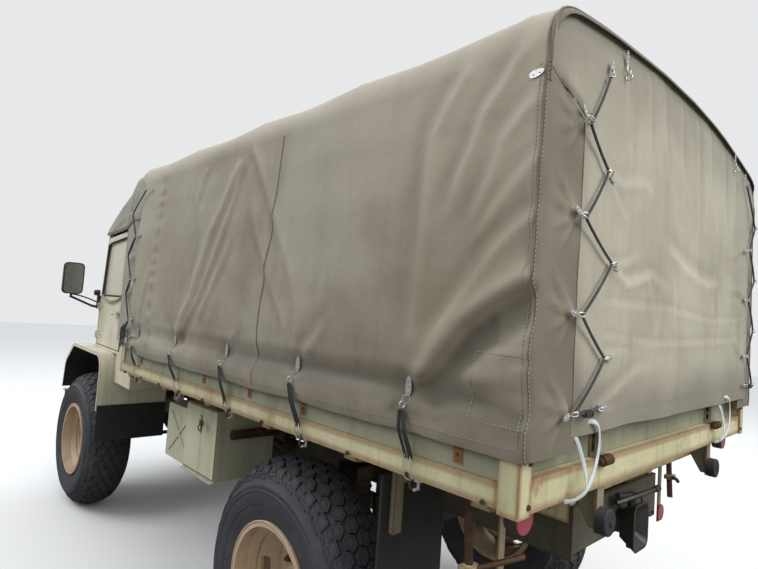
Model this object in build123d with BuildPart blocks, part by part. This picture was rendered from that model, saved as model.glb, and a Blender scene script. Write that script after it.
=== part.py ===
from build123d import *
import os
from math import atan2, cos, radians, sin, sqrt, tan

# Light military cargo truck with portal axles, a soft-top cab and a canvas-covered drop-side bed.
# Frame: +Z up, ground at Z = 0, the truck faces -Y, its left side is +X. All sizes in millimetres.

# Wheel positions and overall reach
WHEELBASE = 2900
FRONT_REACH = 845
REAR_REACH = 1212
TRACK = 1590
OVERALL_LENGTH = FRONT_REACH + WHEELBASE + REAR_REACH
FRONT_Y = -OVERALL_LENGTH / 2
FRONT_AXLE_Y = FRONT_Y + FRONT_REACH
REAR_AXLE_Y = FRONT_AXLE_Y + WHEELBASE
REAR_Y = REAR_AXLE_Y + REAR_REACH
SEAT_GAP = 0.3
RUNNING_GAP = 6

# Tyre and rim
TYRE_RADIUS = 515
TYRE_WIDTH = 326
TREAD_WIDTH = 242
SHOULDER_DROP = 36
LUG_DROP = 78
BEAD_RADIUS = 257
RIM_WIDTH = 302
RIM_FLANGE_RADIUS = 272
RIM_WELL_RADIUS = 232
RIM_WALL = 9
DISC_SETBACK = 20
DISC_WALL = 9
HUB_RADIUS = 68
HUB_REACH = 42
HAND_SLOTS = 6
HAND_SLOT_LENGTH = 82
HAND_SLOT_WIDTH = 24
DRUM_RADIUS = 150
DRUM_SETBACK = 78
SPINDLE_RADIUS = 35

# Portal axles: the axle tube lies above the wheel centre
PORTAL_RISE = 105
AXLE_Z = TYRE_RADIUS + PORTAL_RISE
AXLE_TUBE_RADIUS = 52
DIFF_RADIUS = 150
DIFF_OFFSET = 60
PORTAL_RADIUS = 92
PORTAL_WALL_X = TRACK / 2 - DRUM_SETBACK - RUNNING_GAP
PORTAL_DEPTH = 56
KINGPIN_X = 600
KNUCKLE_BALL_RADIUS = 75
KNUCKLE_SHELL_RADIUS = 92
STEER_LOCK_DEG = 28
STEER_ARM_BACK = 200
STEER_ARM_WIDTH = 40
TIE_ROD_Z = 540
TIE_ROD_RADIUS = 15
TORQUE_TUBE_RADIUS = 44

# Ladder frame
RAIL_OUTER_X = 392
RAIL_WIDTH = 50
RAIL_HEIGHT = 120
RAIL_WALL = 7
RAIL_FRONT_Z = 760
RAIL_MID_Z = 645
RAIL_REAR_Z = 870
REAR_MEMBER_HEIGHT = 182

# Springs and dampers
SPRING_X = 476
SPRING_RADIUS = 58
SPRING_WIRE = 7.5
SPRING_SEAT_Z = AXLE_Z + AXLE_TUBE_RADIUS + 8

# Bed
BED_FRONT = 1278
BED_HALF_WIDTH = 1050
BED_LENGTH = 2802
BED_FRONT_Y = FRONT_AXLE_Y + BED_FRONT
BED_REAR_Y = BED_FRONT_Y + BED_LENGTH
BED_RAIL_Z = 1209
BED_RAIL_HEIGHT = 64
BED_RAIL_DEPTH = 46
REAR_RAIL_Z = 1203
REAR_RAIL_TOP_Z = 1287
TAILGATE_INSET = 30
BED_SHEET = 4
FLOOR_THICKNESS = 26
FLOOR_TOP_Z = BED_RAIL_Z + BED_RAIL_HEIGHT - 4
BOARD_HEIGHT = 470
BOARD_THICKNESS = 28
HINGE_STRAP_RISE = 84
BOARD_BASE_Z = BED_RAIL_Z + BED_RAIL_HEIGHT
BOARD_OUTER_X = BED_HALF_WIDTH - 6
POST_WIDTH = 58
CORNER_PROUD = 6
CORNER_TOP_Z = 1362
CROSS_BEAM_HEIGHT = 80
CROSS_BEAM_WIDTH = 60

# Canvas over the bed
HEM_Z = 1337
REAR_HEM_Z = 1383
CANVAS_FOOT_X = 1076
CANVAS_EAVE_X = 1052
CANVAS_EAVE_Z = 2372
CANVAS_SHOULDER = 128
CANVAS_CROWN_Z = 2580
CANVAS_SHOULDER_Z = 2505
CANVAS_THICKNESS = 12
CANVAS_FRONT_Y = BED_FRONT_Y - 14
CANVAS_REAR_Y = REAR_Y
BOW_RADIUS = 15
BOW_COUNT = 5

# Cab
CAB_FRONT = 20
CAB_REAR = 1112
CAB_FRONT_HALF = 846
CAB_REAR_HALF = 926
CAB_WALL = 18
CAB_FLOOR_Z = 1060
SILL_Z = 1276
WAIST_Z = 1640
REAR_WALL_Z = 1740
ARCH_INNER_X = 590
ARCH_BACK = 706
WINDSCREEN_TOP_Z = 2186
WINDSCREEN_RAKE = 70
PILLAR = 46
DOOR_FRONT = 52
DOOR_REAR = 762
DOOR_THICKNESS = 34
DOOR_TOP_Z = 2150
DOOR_FRAME = 40
DOOR_GAP = 5.5
HINGE_ZS = (1352, 1585)
HINGE_RADIUS = 9
HINGE_HALF = 26
HINGE_OUT = 10
HINGE_BACK = 49
GLASS_THICKNESS = 6

# Front sheet metal
FENDER_SHEET = 4
FENDER_TOP_Z = 1255
FENDER_FRONT = -560
FENDER_FRONT_Z = 850
FENDER_REAR = 690
FENDER_REAR_Z = 850
FENDER_OUTER_X = 952
FENDER_TAPER_DEG = 3.3
FENDER_INNER_X = 505
FENDER_LIP = 24
FLAP_BOTTOM_Z = 640
RUBBER_THICKNESS = 10
GRILLE_FRONT = -664
GRILLE_PANEL_DEPTH = 26
GRILLE_HALF = 640
GRILLE_BOTTOM_Z = 905
GRILLE_TOP_Z = 1440
BONNET_FRONT_HALF = 385
BONNET_REAR_HALF = 500
BONNET_FRONT_Z = 1500
BONNET_REAR_Z = 1602
BONNET_SHEET = 8
BONNET_HINGE_BACK = 10
BONNET_HINGE_Z = 1612
BONNET_HINGE_X = 340
BONNET_HINGE_HALF = 40
BONNET_HINGE_RADIUS = 8
BUMPER_HALF = 850
BUMPER_Z = 640
BUMPER_HEIGHT = 150
BUMPER_DEPTH = 70
BUMPER_SHEET = 8
TOW_EYE_X = 300
TOW_EYE_RADIUS = 14
TOW_JAW_GAP = 42
TOW_CHEEK = 14
TOW_JAW_RISE = 2 * TOW_CHEEK + TOW_JAW_GAP - 2
TOW_JAW_HALF = 32
TOW_EYE_BACK = 30


def along(distance):
    """Y of a point that lies this far behind the front axle."""
    return FRONT_AXLE_Y + distance


def keep(piece, name):
    """Label a finished piece and write it as one STEP file."""
    piece.part.label = name
    export_step(piece.part, f"parts/{name}.step")


def cab_half(distance):
    """Half width of the tapered cab at a distance behind the front axle."""
    share = (distance - CAB_FRONT) / (CAB_REAR - CAB_FRONT)
    return CAB_FRONT_HALF + share * (CAB_REAR_HALF - CAB_FRONT_HALF)


def bonnet_half(distance):
    """Half width of the tapered bonnet at a distance behind the front axle."""
    share = (distance - GRILLE_FRONT) / (CAB_FRONT - GRILLE_FRONT)
    return BONNET_FRONT_HALF + share * (BONNET_REAR_HALF - BONNET_FRONT_HALF)


def block(x0, x1, y0, y1, z0, z1, mode=Mode.ADD):
    """A box between two corners, made in the current part."""
    with Locations(((x0 + x1) / 2, (y0 + y1) / 2, (z0 + z1) / 2)):
        Box(x1 - x0, y1 - y0, z1 - z0, mode=mode)


def rod(start, end, radius, mode=Mode.ADD):
    """A round bar from one point to another, made in the current part."""
    direction = Vector(*end) - Vector(*start)
    with BuildSketch(Plane(origin=start, z_dir=direction)) as section:
        Circle(radius)
    extrude(section.sketch, amount=direction.length, mode=mode)


os.makedirs("parts", exist_ok=True)

# Wheels: each tyre and rim is a revolve about the wheel's own axis
WHEELS = (
    # name, side (+1 left, -1 right), axle Y
    ("front_left", 1, FRONT_AXLE_Y),
    ("front_right", -1, FRONT_AXLE_Y),
    ("rear_left", 1, REAR_AXLE_Y),
    ("rear_right", -1, REAR_AXLE_Y),
)

for wheel_name, side, axle_y in WHEELS:
    # Local x runs outwards along the axle, local y is the radius
    wheel_plane = Plane(
        origin=(side * TRACK / 2, axle_y, TYRE_RADIUS), x_dir=(side, 0, 0), z_dir=(0, -side, 0)
    )
    wheel_axis = Axis((0, axle_y, TYRE_RADIUS), (1, 0, 0))
    half_tread = TREAD_WIDTH / 2
    half_rim = RIM_WIDTH / 2
    bead_x = half_rim - 12 - SEAT_GAP

    with BuildPart() as tyre:
        with BuildSketch(wheel_plane):
            with BuildLine():
                crown_middle = (half_tread / 2, TYRE_RADIUS - SHOULDER_DROP / 4)
                tread_edge = (half_tread, TYRE_RADIUS - SHOULDER_DROP)
                crown = ThreePointArc((0, TYRE_RADIUS), crown_middle, tread_edge)
                lug_side = Line(crown @ 1, (TYRE_WIDTH / 2 - 13, TYRE_RADIUS - LUG_DROP))
                belly = (TYRE_WIDTH / 2, (TYRE_RADIUS + BEAD_RADIUS) / 2 + 12)
                wall = ThreePointArc(lug_side @ 1, belly, (bead_x, RIM_FLANGE_RADIUS + 3))
                bead = Line(wall @ 1, (bead_x, BEAD_RADIUS))
                Line(bead @ 1, (0, BEAD_RADIUS))
                mirror(about=Plane.YZ)
            make_face()
        revolve(axis=wheel_axis)
    keep(tyre, f"tyre_{wheel_name}")

    # Drop-centre rim with a disc dished inwards, brake drum and hub in one turned body
    with BuildPart() as rim:
        with BuildSketch(wheel_plane):
            well = half_rim * 0.4
            shelf = half_rim * 0.63
            with BuildLine():
                Polyline(
                    (half_rim, RIM_FLANGE_RADIUS),
                    (half_rim - 12, RIM_FLANGE_RADIUS),
                    (half_rim - 12, BEAD_RADIUS - SEAT_GAP),
                    (shelf, BEAD_RADIUS - SEAT_GAP),
                    (well, RIM_WELL_RADIUS),
                    (-well, RIM_WELL_RADIUS),
                    (-shelf, BEAD_RADIUS - SEAT_GAP),
                    (-half_rim + 12, BEAD_RADIUS - SEAT_GAP),
                    (-half_rim + 12, RIM_FLANGE_RADIUS),
                    (-half_rim, RIM_FLANGE_RADIUS),
                    (-half_rim, BEAD_RADIUS - RIM_WALL),
                    (-shelf, BEAD_RADIUS - RIM_WALL),
                    (-well, RIM_WELL_RADIUS - RIM_WALL),
                    (well, RIM_WELL_RADIUS - RIM_WALL),
                    (shelf, BEAD_RADIUS - RIM_WALL),
                    (half_rim, BEAD_RADIUS - RIM_WALL),
                    close=True,
                )
            make_face()
            # The dished disc, the hub cap and the drum behind it
            with BuildLine():
                Polyline(
                    (well, RIM_WELL_RADIUS - 2),
                    (well - 2 * DISC_WALL, RIM_WELL_RADIUS - 2),
                    (-DISC_SETBACK - DISC_WALL, DRUM_RADIUS + 22),
                    (-DISC_SETBACK - DISC_WALL, SPINDLE_RADIUS + SEAT_GAP),
                    (-DISC_SETBACK + HUB_REACH - 8, SPINDLE_RADIUS + SEAT_GAP),
                    (-DISC_SETBACK + HUB_REACH - 8, 0),
                    (-DISC_SETBACK + HUB_REACH, 0),
                    (-DISC_SETBACK + HUB_REACH, HUB_RADIUS - 10),
                    (-DISC_SETBACK + HUB_REACH - 10, HUB_RADIUS),
                    (-DISC_SETBACK, HUB_RADIUS),
                    (-DISC_SETBACK, DRUM_RADIUS + 16),
                    close=True,
                )
            make_face()
            with BuildLine():
                Polyline(
                    (-DISC_SETBACK - 1, DRUM_RADIUS),
                    (-DRUM_SETBACK, DRUM_RADIUS),
                    (-DRUM_SETBACK, SPINDLE_RADIUS + SEAT_GAP),
                    (-DISC_SETBACK - 1, SPINDLE_RADIUS + SEAT_GAP),
                    close=True,
                )
            make_face()
        revolve(axis=wheel_axis)
        # Elongated hand slots through the sloping part of the disc
        slot_middle = (RIM_WELL_RADIUS + DRUM_RADIUS + 18) / 2
        with BuildSketch(Plane(wheel_plane.origin, x_dir=(0, side, 0), z_dir=(side, 0, 0))):
            with PolarLocations(slot_middle, HAND_SLOTS):
                SlotOverall(HAND_SLOT_LENGTH, HAND_SLOT_WIDTH, rotation=90)
        extrude(amount=well, both=True, mode=Mode.SUBTRACT)
    keep(rim, f"rim_{wheel_name}")

# Front steering knuckles: portal gear case, open ball shell and steering arm
for side, knuckle_name in ((1, "knuckle_left"), (-1, "knuckle_right")):
    ball_centre = (side * KINGPIN_X, FRONT_AXLE_Y, AXLE_Z)
    case_inner_x = side * (PORTAL_WALL_X - PORTAL_DEPTH)
    with BuildPart() as knuckle:
        with BuildSketch(Plane(origin=(case_inner_x, 0, 0), x_dir=(0, 1, 0), z_dir=(1, 0, 0))):
            with Locations((FRONT_AXLE_Y, TYRE_RADIUS + PORTAL_RISE / 2)):
                SlotCenterToCenter(PORTAL_RISE, 2 * PORTAL_RADIUS, rotation=90)
        extrude(amount=side * PORTAL_DEPTH)
        with BuildSketch(Plane.YZ.offset(case_inner_x)):
            with Locations((FRONT_AXLE_Y, AXLE_Z)):
                Circle(KNUCKLE_SHELL_RADIUS)
        extrude(amount=-side * (PORTAL_WALL_X - PORTAL_DEPTH - KINGPIN_X + 6))
        # Steering arm reaching straight back to the tie rod
        arm_end_y = FRONT_AXLE_Y + STEER_ARM_BACK
        arm_end_x = side * KINGPIN_X
        with BuildSketch(Plane.XY.offset(TIE_ROD_Z + TIE_ROD_RADIUS + 6)):
            with BuildLine():
                Polyline(
                    (arm_end_x - side * STEER_ARM_WIDTH / 2, arm_end_y),
                    (arm_end_x + side * STEER_ARM_WIDTH / 2, arm_end_y),
                    (side * (PORTAL_WALL_X - 12), FRONT_AXLE_Y + 60),
                    (side * (PORTAL_WALL_X - PORTAL_DEPTH + 4), FRONT_AXLE_Y + 40),
                    close=True,
                )
            make_face()
            with Locations((arm_end_x, arm_end_y)):
                Circle(22)
        extrude(amount=22)
        # Socket that the axle's ball end turns in
        socket_radius = KNUCKLE_BALL_RADIUS + SEAT_GAP
        with BuildSketch(Plane(origin=ball_centre, x_dir=(1, 0, 0), z_dir=(0, -1, 0))):
            Circle(socket_radius)
            with Locations((0, -socket_radius)):
                Rectangle(2 * socket_radius, 2 * socket_radius, mode=Mode.SUBTRACT)
        revolve(axis=Axis(ball_centre, (1, 0, 0)), mode=Mode.SUBTRACT)
        rod(
            (side * (PORTAL_WALL_X - 1), FRONT_AXLE_Y, TYRE_RADIUS),
            (side * (TRACK / 2 - DISC_SETBACK + HUB_REACH - 12), FRONT_AXLE_Y, TYRE_RADIUS),
            SPINDLE_RADIUS,
        )
    keep(knuckle, knuckle_name)

# Tie rod between the two arms, parallel to the axle
with BuildPart() as tie_rod:
    rod_end_x = KINGPIN_X
    rod_y = FRONT_AXLE_Y + STEER_ARM_BACK
    rod((-rod_end_x, rod_y, TIE_ROD_Z), (rod_end_x, rod_y, TIE_ROD_Z), TIE_ROD_RADIUS)
    for side in (1, -1):
        rod(
            (side * rod_end_x, rod_y, TIE_ROD_Z - 20),
            (side * rod_end_x, rod_y, TIE_ROD_Z + TIE_ROD_RADIUS + 6 - SEAT_GAP),
            20,
        )
keep(tie_rod, "tie_rod")


def axle_beam(axle_y, half_length, ball_radius):
    """Sketch of the axle's half outline above its own axis: tube, differential and ball ends."""
    diff_foot = sqrt(DIFF_RADIUS**2 - AXLE_TUBE_RADIUS**2)
    with BuildSketch(Plane(origin=(0, axle_y, AXLE_Z), x_dir=(1, 0, 0), z_dir=(0, -1, 0))) as beam:
        with Locations((0, AXLE_TUBE_RADIUS / 2)):
            Rectangle(2 * half_length, AXLE_TUBE_RADIUS)
        with BuildLine():
            ThreePointArc(
                (DIFF_OFFSET - diff_foot, AXLE_TUBE_RADIUS),
                (DIFF_OFFSET, DIFF_RADIUS),
                (DIFF_OFFSET + diff_foot, AXLE_TUBE_RADIUS),
            )
            Polyline(
                (DIFF_OFFSET + diff_foot, AXLE_TUBE_RADIUS),
                (DIFF_OFFSET + diff_foot, 1),
                (DIFF_OFFSET - diff_foot, 1),
                (DIFF_OFFSET - diff_foot, AXLE_TUBE_RADIUS),
            )
        make_face()
        if ball_radius:
            for end in (KINGPIN_X, -KINGPIN_X):
                with Locations((end, 0)):
                    Circle(ball_radius)
            with Locations((0, -DIFF_RADIUS)):
                Rectangle(4 * half_length, 2 * DIFF_RADIUS, mode=Mode.SUBTRACT)
    return beam.sketch


def spring_seats(axle_y):
    """Raised seats for the coil springs on top of the axle tube."""
    for side in (1, -1):
        with Locations((side * SPRING_X, axle_y, SPRING_SEAT_Z - 20)):
            Cylinder(SPRING_RADIUS + SPRING_WIRE + 4, 40)


# Front axle: tube, differential and ball ends, with the torque tube kept on the gearbox's node
GEARBOX_REAR = 1080
with BuildPart() as front_axle:
    beam = axle_beam(FRONT_AXLE_Y, KINGPIN_X - 30, KNUCKLE_BALL_RADIUS)
    revolve(beam, axis=Axis((0, FRONT_AXLE_Y, AXLE_Z), (1, 0, 0)))
    spring_seats(FRONT_AXLE_Y)
keep(front_axle, "front_axle")

# Rear axle: the same tube between two fixed portal cases with their spindles
with BuildPart() as rear_axle:
    beam = axle_beam(REAR_AXLE_Y, PORTAL_WALL_X - PORTAL_DEPTH + 4, 0)
    revolve(beam, axis=Axis((0, REAR_AXLE_Y, AXLE_Z), (1, 0, 0)))
    spring_seats(REAR_AXLE_Y)
    for side in (1, -1):
        case_inner_x = side * (PORTAL_WALL_X - PORTAL_DEPTH)
        with BuildSketch(Plane(origin=(case_inner_x, 0, 0), x_dir=(0, 1, 0), z_dir=(1, 0, 0))):
            with Locations((REAR_AXLE_Y, TYRE_RADIUS + PORTAL_RISE / 2)):
                SlotCenterToCenter(PORTAL_RISE, 2 * PORTAL_RADIUS, rotation=90)
        extrude(amount=side * PORTAL_DEPTH)
        rod(
            (side * (PORTAL_WALL_X - 1), REAR_AXLE_Y, TYRE_RADIUS),
            (side * (TRACK / 2 - DISC_SETBACK + HUB_REACH - 12), REAR_AXLE_Y, TYRE_RADIUS),
            SPINDLE_RADIUS,
        )
keep(rear_axle, "rear_axle")

# Gearbox and the torque tubes that run from it to both differentials
GEARBOX_FRONT = 330
GEARBOX_HALF = 170
GEARBOX_Z0 = 640
GEARBOX_Z1 = 960
ENGINE_FRONT = -560
ENGINE_REAR = -20
ENGINE_HALF = 235
ENGINE_Z0 = 800
ENGINE_Z1 = 1360
MOUNT_BACK = -310
with BuildPart() as drive_train:
    block(-GEARBOX_HALF, GEARBOX_HALF, along(GEARBOX_FRONT), along(GEARBOX_REAR), GEARBOX_Z0, GEARBOX_Z1)
    fillet(drive_train.edges().filter_by(Axis.Y), 60)
    block(-GEARBOX_HALF * 0.7, GEARBOX_HALF * 0.7, along(ENGINE_REAR), along(GEARBOX_FRONT + 1), 820, 950)
    block(-ENGINE_HALF, ENGINE_HALF, along(ENGINE_FRONT), along(ENGINE_REAR), ENGINE_Z0, ENGINE_Z1)
    for end_back, tube_rise, axle_back in ((GEARBOX_FRONT + 2, 60, 0), (GEARBOX_REAR - 2, 34, WHEELBASE)):
        tube_start = Vector(DIFF_OFFSET, along(end_back), AXLE_Z + tube_rise)
        to_axle = Vector(DIFF_OFFSET, along(axle_back), AXLE_Z) - tube_start
        tube_length = to_axle.length - DIFF_RADIUS - SEAT_GAP
        rod(tuple(tube_start), tuple(tube_start + to_axle.normalized() * tube_length), TORQUE_TUBE_RADIUS)
    # Mounting bars that rest on the frame rails
    for bar_back, rail_z in ((MOUNT_BACK, RAIL_FRONT_Z), (GEARBOX_REAR - 40, RAIL_MID_Z)):
        z0 = rail_z + RAIL_HEIGHT + SEAT_GAP
        block(-RAIL_OUTER_X + 4, RAIL_OUTER_X - 4, along(bar_back - 20), along(bar_back + 20), z0, z0 + 26)
keep(drive_train, "engine_and_gearbox")

# Ladder frame: each rail drops between the axles and rises over the rear one
RAIL_STATIONS = (
    # distance behind the front axle, underside Z
    (-770, RAIL_FRONT_Z),
    (660, RAIL_FRONT_Z),
    (900, RAIL_MID_Z),
    (2080, RAIL_MID_Z),
    (2420, RAIL_REAR_Z),
    (3905, RAIL_REAR_Z),
)
CROSS_TUBE_RADIUS = 26
CROSS_RISE_MID = RAIL_HEIGHT - RAIL_WALL - CROSS_TUBE_RADIUS - 2
CROSS_TUBES = (
    # distance behind the front axle, height above the rail's underside
    (-700, 60, RAIL_FRONT_Z),
    (1250, CROSS_RISE_MID, RAIL_MID_Z),
    (2000, CROSS_RISE_MID, RAIL_MID_Z),
    (2560, 60, RAIL_REAR_Z),
    (3300, 60, RAIL_REAR_Z),
)
with BuildPart() as frame:
    for side in (1, -1):
        with BuildSketch(Plane(origin=(side * RAIL_OUTER_X, 0, 0), x_dir=(0, 1, 0), z_dir=(1, 0, 0))):
            with BuildLine():
                bottom = [(along(y), z) for y, z in RAIL_STATIONS]
                top = [(along(y), z + RAIL_HEIGHT) for y, z in reversed(RAIL_STATIONS)]
                Polyline(*bottom, *top, close=True)
            make_face()
        extrude(amount=-side * RAIL_WIDTH)
        # The channel is open towards the middle of the truck
        with BuildSketch(
            Plane(origin=(side * (RAIL_OUTER_X - RAIL_WALL), 0, 0), x_dir=(0, 1, 0), z_dir=(1, 0, 0))
        ):
            with BuildLine():
                bottom = [(along(y), z + RAIL_WALL) for y, z in RAIL_STATIONS]
                top = [(along(y), z + RAIL_HEIGHT - RAIL_WALL) for y, z in reversed(RAIL_STATIONS)]
                Polyline(*bottom, *top, close=True)
            make_face()
        extrude(amount=-side * RAIL_WIDTH, mode=Mode.SUBTRACT)
    for distance, rise, underside in CROSS_TUBES:
        rod(
            (-RAIL_OUTER_X + 2, along(distance), underside + rise),
            (RAIL_OUTER_X - 2, along(distance), underside + rise),
            CROSS_TUBE_RADIUS,
        )
    block(
        -RAIL_OUTER_X + 1, RAIL_OUTER_X - 1, along(3891), along(3905),
        RAIL_REAR_Z + 20, RAIL_REAR_Z + REAR_MEMBER_HEIGHT,
    )
    # Spring towers reach out over each coil spring
    for side in (1, -1):
        for distance, tower_z in ((0, RAIL_FRONT_Z + 96), (WHEELBASE, RAIL_REAR_Z + 40)):
            x0, x1 = sorted((side * (RAIL_OUTER_X - 4), side * (SPRING_X + SPRING_RADIUS + 14)))
            block(x0, x1, along(distance - 70), along(distance + 70), tower_z, tower_z + 14)
            block(x0, x1, along(distance - 70), along(distance - 60), tower_z, tower_z + 60)
            block(x0, x1, along(distance + 60), along(distance + 70), tower_z, tower_z + 60)
keep(frame, "frame")

# Coil springs, as coils stacked round a thin core
TOWERS = (
    (FRONT_AXLE_Y, RAIL_FRONT_Z + 96),
    (REAR_AXLE_Y, RAIL_REAR_Z + 40),
)
SPRING_PITCH = 34
with BuildPart() as springs:
    for axle_y, tower_z in TOWERS:
        for side in (1, -1):
            z0 = SPRING_SEAT_Z + SEAT_GAP
            z1 = tower_z - SEAT_GAP
            coils = int((z1 - z0 - 2 * SPRING_WIRE) // SPRING_PITCH)
            spring_plane = Plane(origin=(side * SPRING_X, axle_y, 0), x_dir=(1, 0, 0), z_dir=(0, -1, 0))
            with BuildSketch(spring_plane):
                with Locations((SPRING_RADIUS, (z0 + z1) / 2)):
                    Rectangle(5, z1 - z0)
                for turn in range(coils + 1):
                    height = z0 + SPRING_WIRE + turn * (z1 - z0 - 2 * SPRING_WIRE) / coils
                    with Locations((SPRING_RADIUS, height)):
                        RegularPolygon(SPRING_WIRE, 6, major_radius=False)
            revolve(axis=Axis((side * SPRING_X, axle_y, 0), (0, 0, 1)))
keep(springs, "coil_springs")

# Telescopic dampers beside the springs, from axle to frame
DAMPER_RADIUS = 24
DAMPER_X = 440
DAMPER_BACK = 105
with BuildPart() as dampers:
    for axle_y, tower_z, way in (
        (FRONT_AXLE_Y, RAIL_FRONT_Z + 96, -1),
        (REAR_AXLE_Y, RAIL_REAR_Z + 40, 1),
    ):
        for side in (1, -1):
            y = axle_y + way * (DAMPER_BACK)
            rod((side * DAMPER_X, y, AXLE_Z - 30), (side * DAMPER_X, y, tower_z - 60), DAMPER_RADIUS)
            rod((side * DAMPER_X, y, tower_z - 61), (side * DAMPER_X, y, tower_z + 30), DAMPER_RADIUS * 0.6)
            rod(
                (side * DAMPER_X, y, AXLE_Z),
                (side * DAMPER_X, axle_y + way * (AXLE_TUBE_RADIUS + SEAT_GAP), AXLE_Z),
                14,
            )
            rod(
                (side * DAMPER_X, y, tower_z + 22),
                (side * (RAIL_OUTER_X + SEAT_GAP), y, tower_z + 22),
                10,
            )
keep(dampers, "dampers")

# Front bumper: a pressed channel with two towing jaws
with BuildPart() as front_bumper:
    y0 = FRONT_Y
    jaw_z = BUMPER_Z + BUMPER_HEIGHT
    block(-BUMPER_HALF, BUMPER_HALF, y0, y0 + BUMPER_DEPTH, BUMPER_Z, BUMPER_Z + BUMPER_HEIGHT)
    fillet(front_bumper.edges().filter_by(Axis.Z).group_by(Axis.Y)[0], 55)
    block(
        -BUMPER_HALF - 1,
        BUMPER_HALF + 1,
        y0 + BUMPER_SHEET,
        y0 + BUMPER_DEPTH + 1,
        BUMPER_Z + BUMPER_SHEET,
        BUMPER_Z + BUMPER_HEIGHT - BUMPER_SHEET,
        mode=Mode.SUBTRACT,
    )
    for side in (1, -1):
        block(
            side * (RAIL_OUTER_X - RAIL_WIDTH / 2) - 24,
            side * (RAIL_OUTER_X - RAIL_WIDTH / 2) + 24,
            y0 + BUMPER_SHEET - 1,
            along(-770) - SEAT_GAP,
            BUMPER_Z + 40,
            BUMPER_Z + BUMPER_HEIGHT + 60,
        )
        # Towing jaw: two plates on the bumper's top, bored for an upright pin
        jaw_x = side * TOW_EYE_X
        jaw_back_y = y0 + BUMPER_DEPTH - 8
        x0 = jaw_x - TOW_JAW_HALF
        x1 = jaw_x + TOW_JAW_HALF
        for plate_z in (jaw_z - 2, jaw_z - 2 + TOW_CHEEK + TOW_JAW_GAP):
            block(x0, x1, y0 + 4, jaw_back_y, plate_z, plate_z + TOW_CHEEK)
        block(x0, x1, jaw_back_y - 10, jaw_back_y, jaw_z - 2, jaw_z + TOW_JAW_RISE)
        with BuildSketch(Plane.XY.offset(jaw_z - BUMPER_SHEET - 1)) as bore:
            with Locations((jaw_x, y0 + TOW_EYE_BACK)):
                Circle(TOW_EYE_RADIUS)
        extrude(bore.sketch, amount=TOW_JAW_RISE + BUMPER_SHEET + 2, mode=Mode.SUBTRACT)
keep(front_bumper, "front_bumper")

# Front fenders: bent sheet arches whose outer edge tapers inwards towards the front
FENDER_BEND = 130


def fender_curve(sheet):
    """Side outline of the arch, moved inwards by a thickness."""
    return FilletPolyline(
        (along(FENDER_FRONT + sheet), FENDER_FRONT_Z),
        (along(FENDER_FRONT + 40 + sheet), FENDER_TOP_Z - 170 - sheet / 2),
        (along(FENDER_FRONT + 310 + sheet / 2), FENDER_TOP_Z - sheet),
        (along(FENDER_REAR - sheet), FENDER_TOP_Z - sheet),
        (along(FENDER_REAR - sheet), FENDER_REAR_Z),
        radius=FENDER_BEND - sheet,
    )


taper = radians(FENDER_TAPER_DEG)
for side, fender_name in ((1, "fender_left"), (-1, "fender_right")):
    outer_plane = Plane(
        origin=(side * FENDER_OUTER_X, FRONT_AXLE_Y, 0),
        x_dir=(sin(taper) * side, cos(taper), 0),
        z_dir=(side * cos(taper), -sin(taper), 0),
    )
    inner_plane = Plane(origin=(side * RAIL_OUTER_X, 0, 0), x_dir=(0, 1, 0), z_dir=(1, 0, 0))
    # Air under the sheet, up to the rolled outer lip
    with BuildPart() as arch_void:
        with BuildSketch(inner_plane.offset(-side * 40)):
            with BuildLine():
                under = fender_curve(FENDER_SHEET)
                Line(under @ 1, under @ 0)
            make_face()
        extrude(amount=side * (FENDER_OUTER_X - RAIL_OUTER_X + 140))
        split(bisect_by=outer_plane.offset(-FENDER_SHEET), keep=Keep.BOTTOM)
    with BuildPart() as fender:
        with BuildSketch(inner_plane):
            with BuildLine():
                over = fender_curve(0)
                lip = fender_curve(FENDER_LIP)
                Line(over @ 1, lip @ 1)
                Line(over @ 0, lip @ 0)
            make_face()
        extrude(amount=side * (FENDER_OUTER_X - RAIL_OUTER_X + 100))
        split(bisect_by=outer_plane, keep=Keep.BOTTOM)
        add(arch_void.part, mode=Mode.SUBTRACT)
        # The inner edge follows the bonnet sides, then the cab's footwell
        with BuildSketch(Plane.XY.offset(FENDER_FRONT_Z - 50)):
            with BuildLine():
                Polyline(
                    (0, along(GRILLE_FRONT)),
                    (side * (bonnet_half(GRILLE_FRONT) - 4), along(GRILLE_FRONT)),
                    (side * (bonnet_half(CAB_FRONT) - 4), along(CAB_FRONT)),
                    (side * FENDER_INNER_X, along(CAB_FRONT)),
                    (side * FENDER_INNER_X, along(FENDER_REAR + 1)),
                    (0, along(FENDER_REAR + 1)),
                    close=True,
                )
            make_face()
        extrude(amount=FENDER_TOP_Z, mode=Mode.SUBTRACT)
        # Notch for the footwell
        x0, x1 = sorted((0, side * (ARCH_INNER_X + SEAT_GAP)))
        block(
            x0, x1, along(CAB_FRONT - SEAT_GAP), along(FENDER_REAR + 1), CAB_FLOOR_Z - SEAT_GAP,
            FENDER_TOP_Z + 1, mode=Mode.SUBTRACT,
        )
    keep(fender, fender_name)

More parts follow.
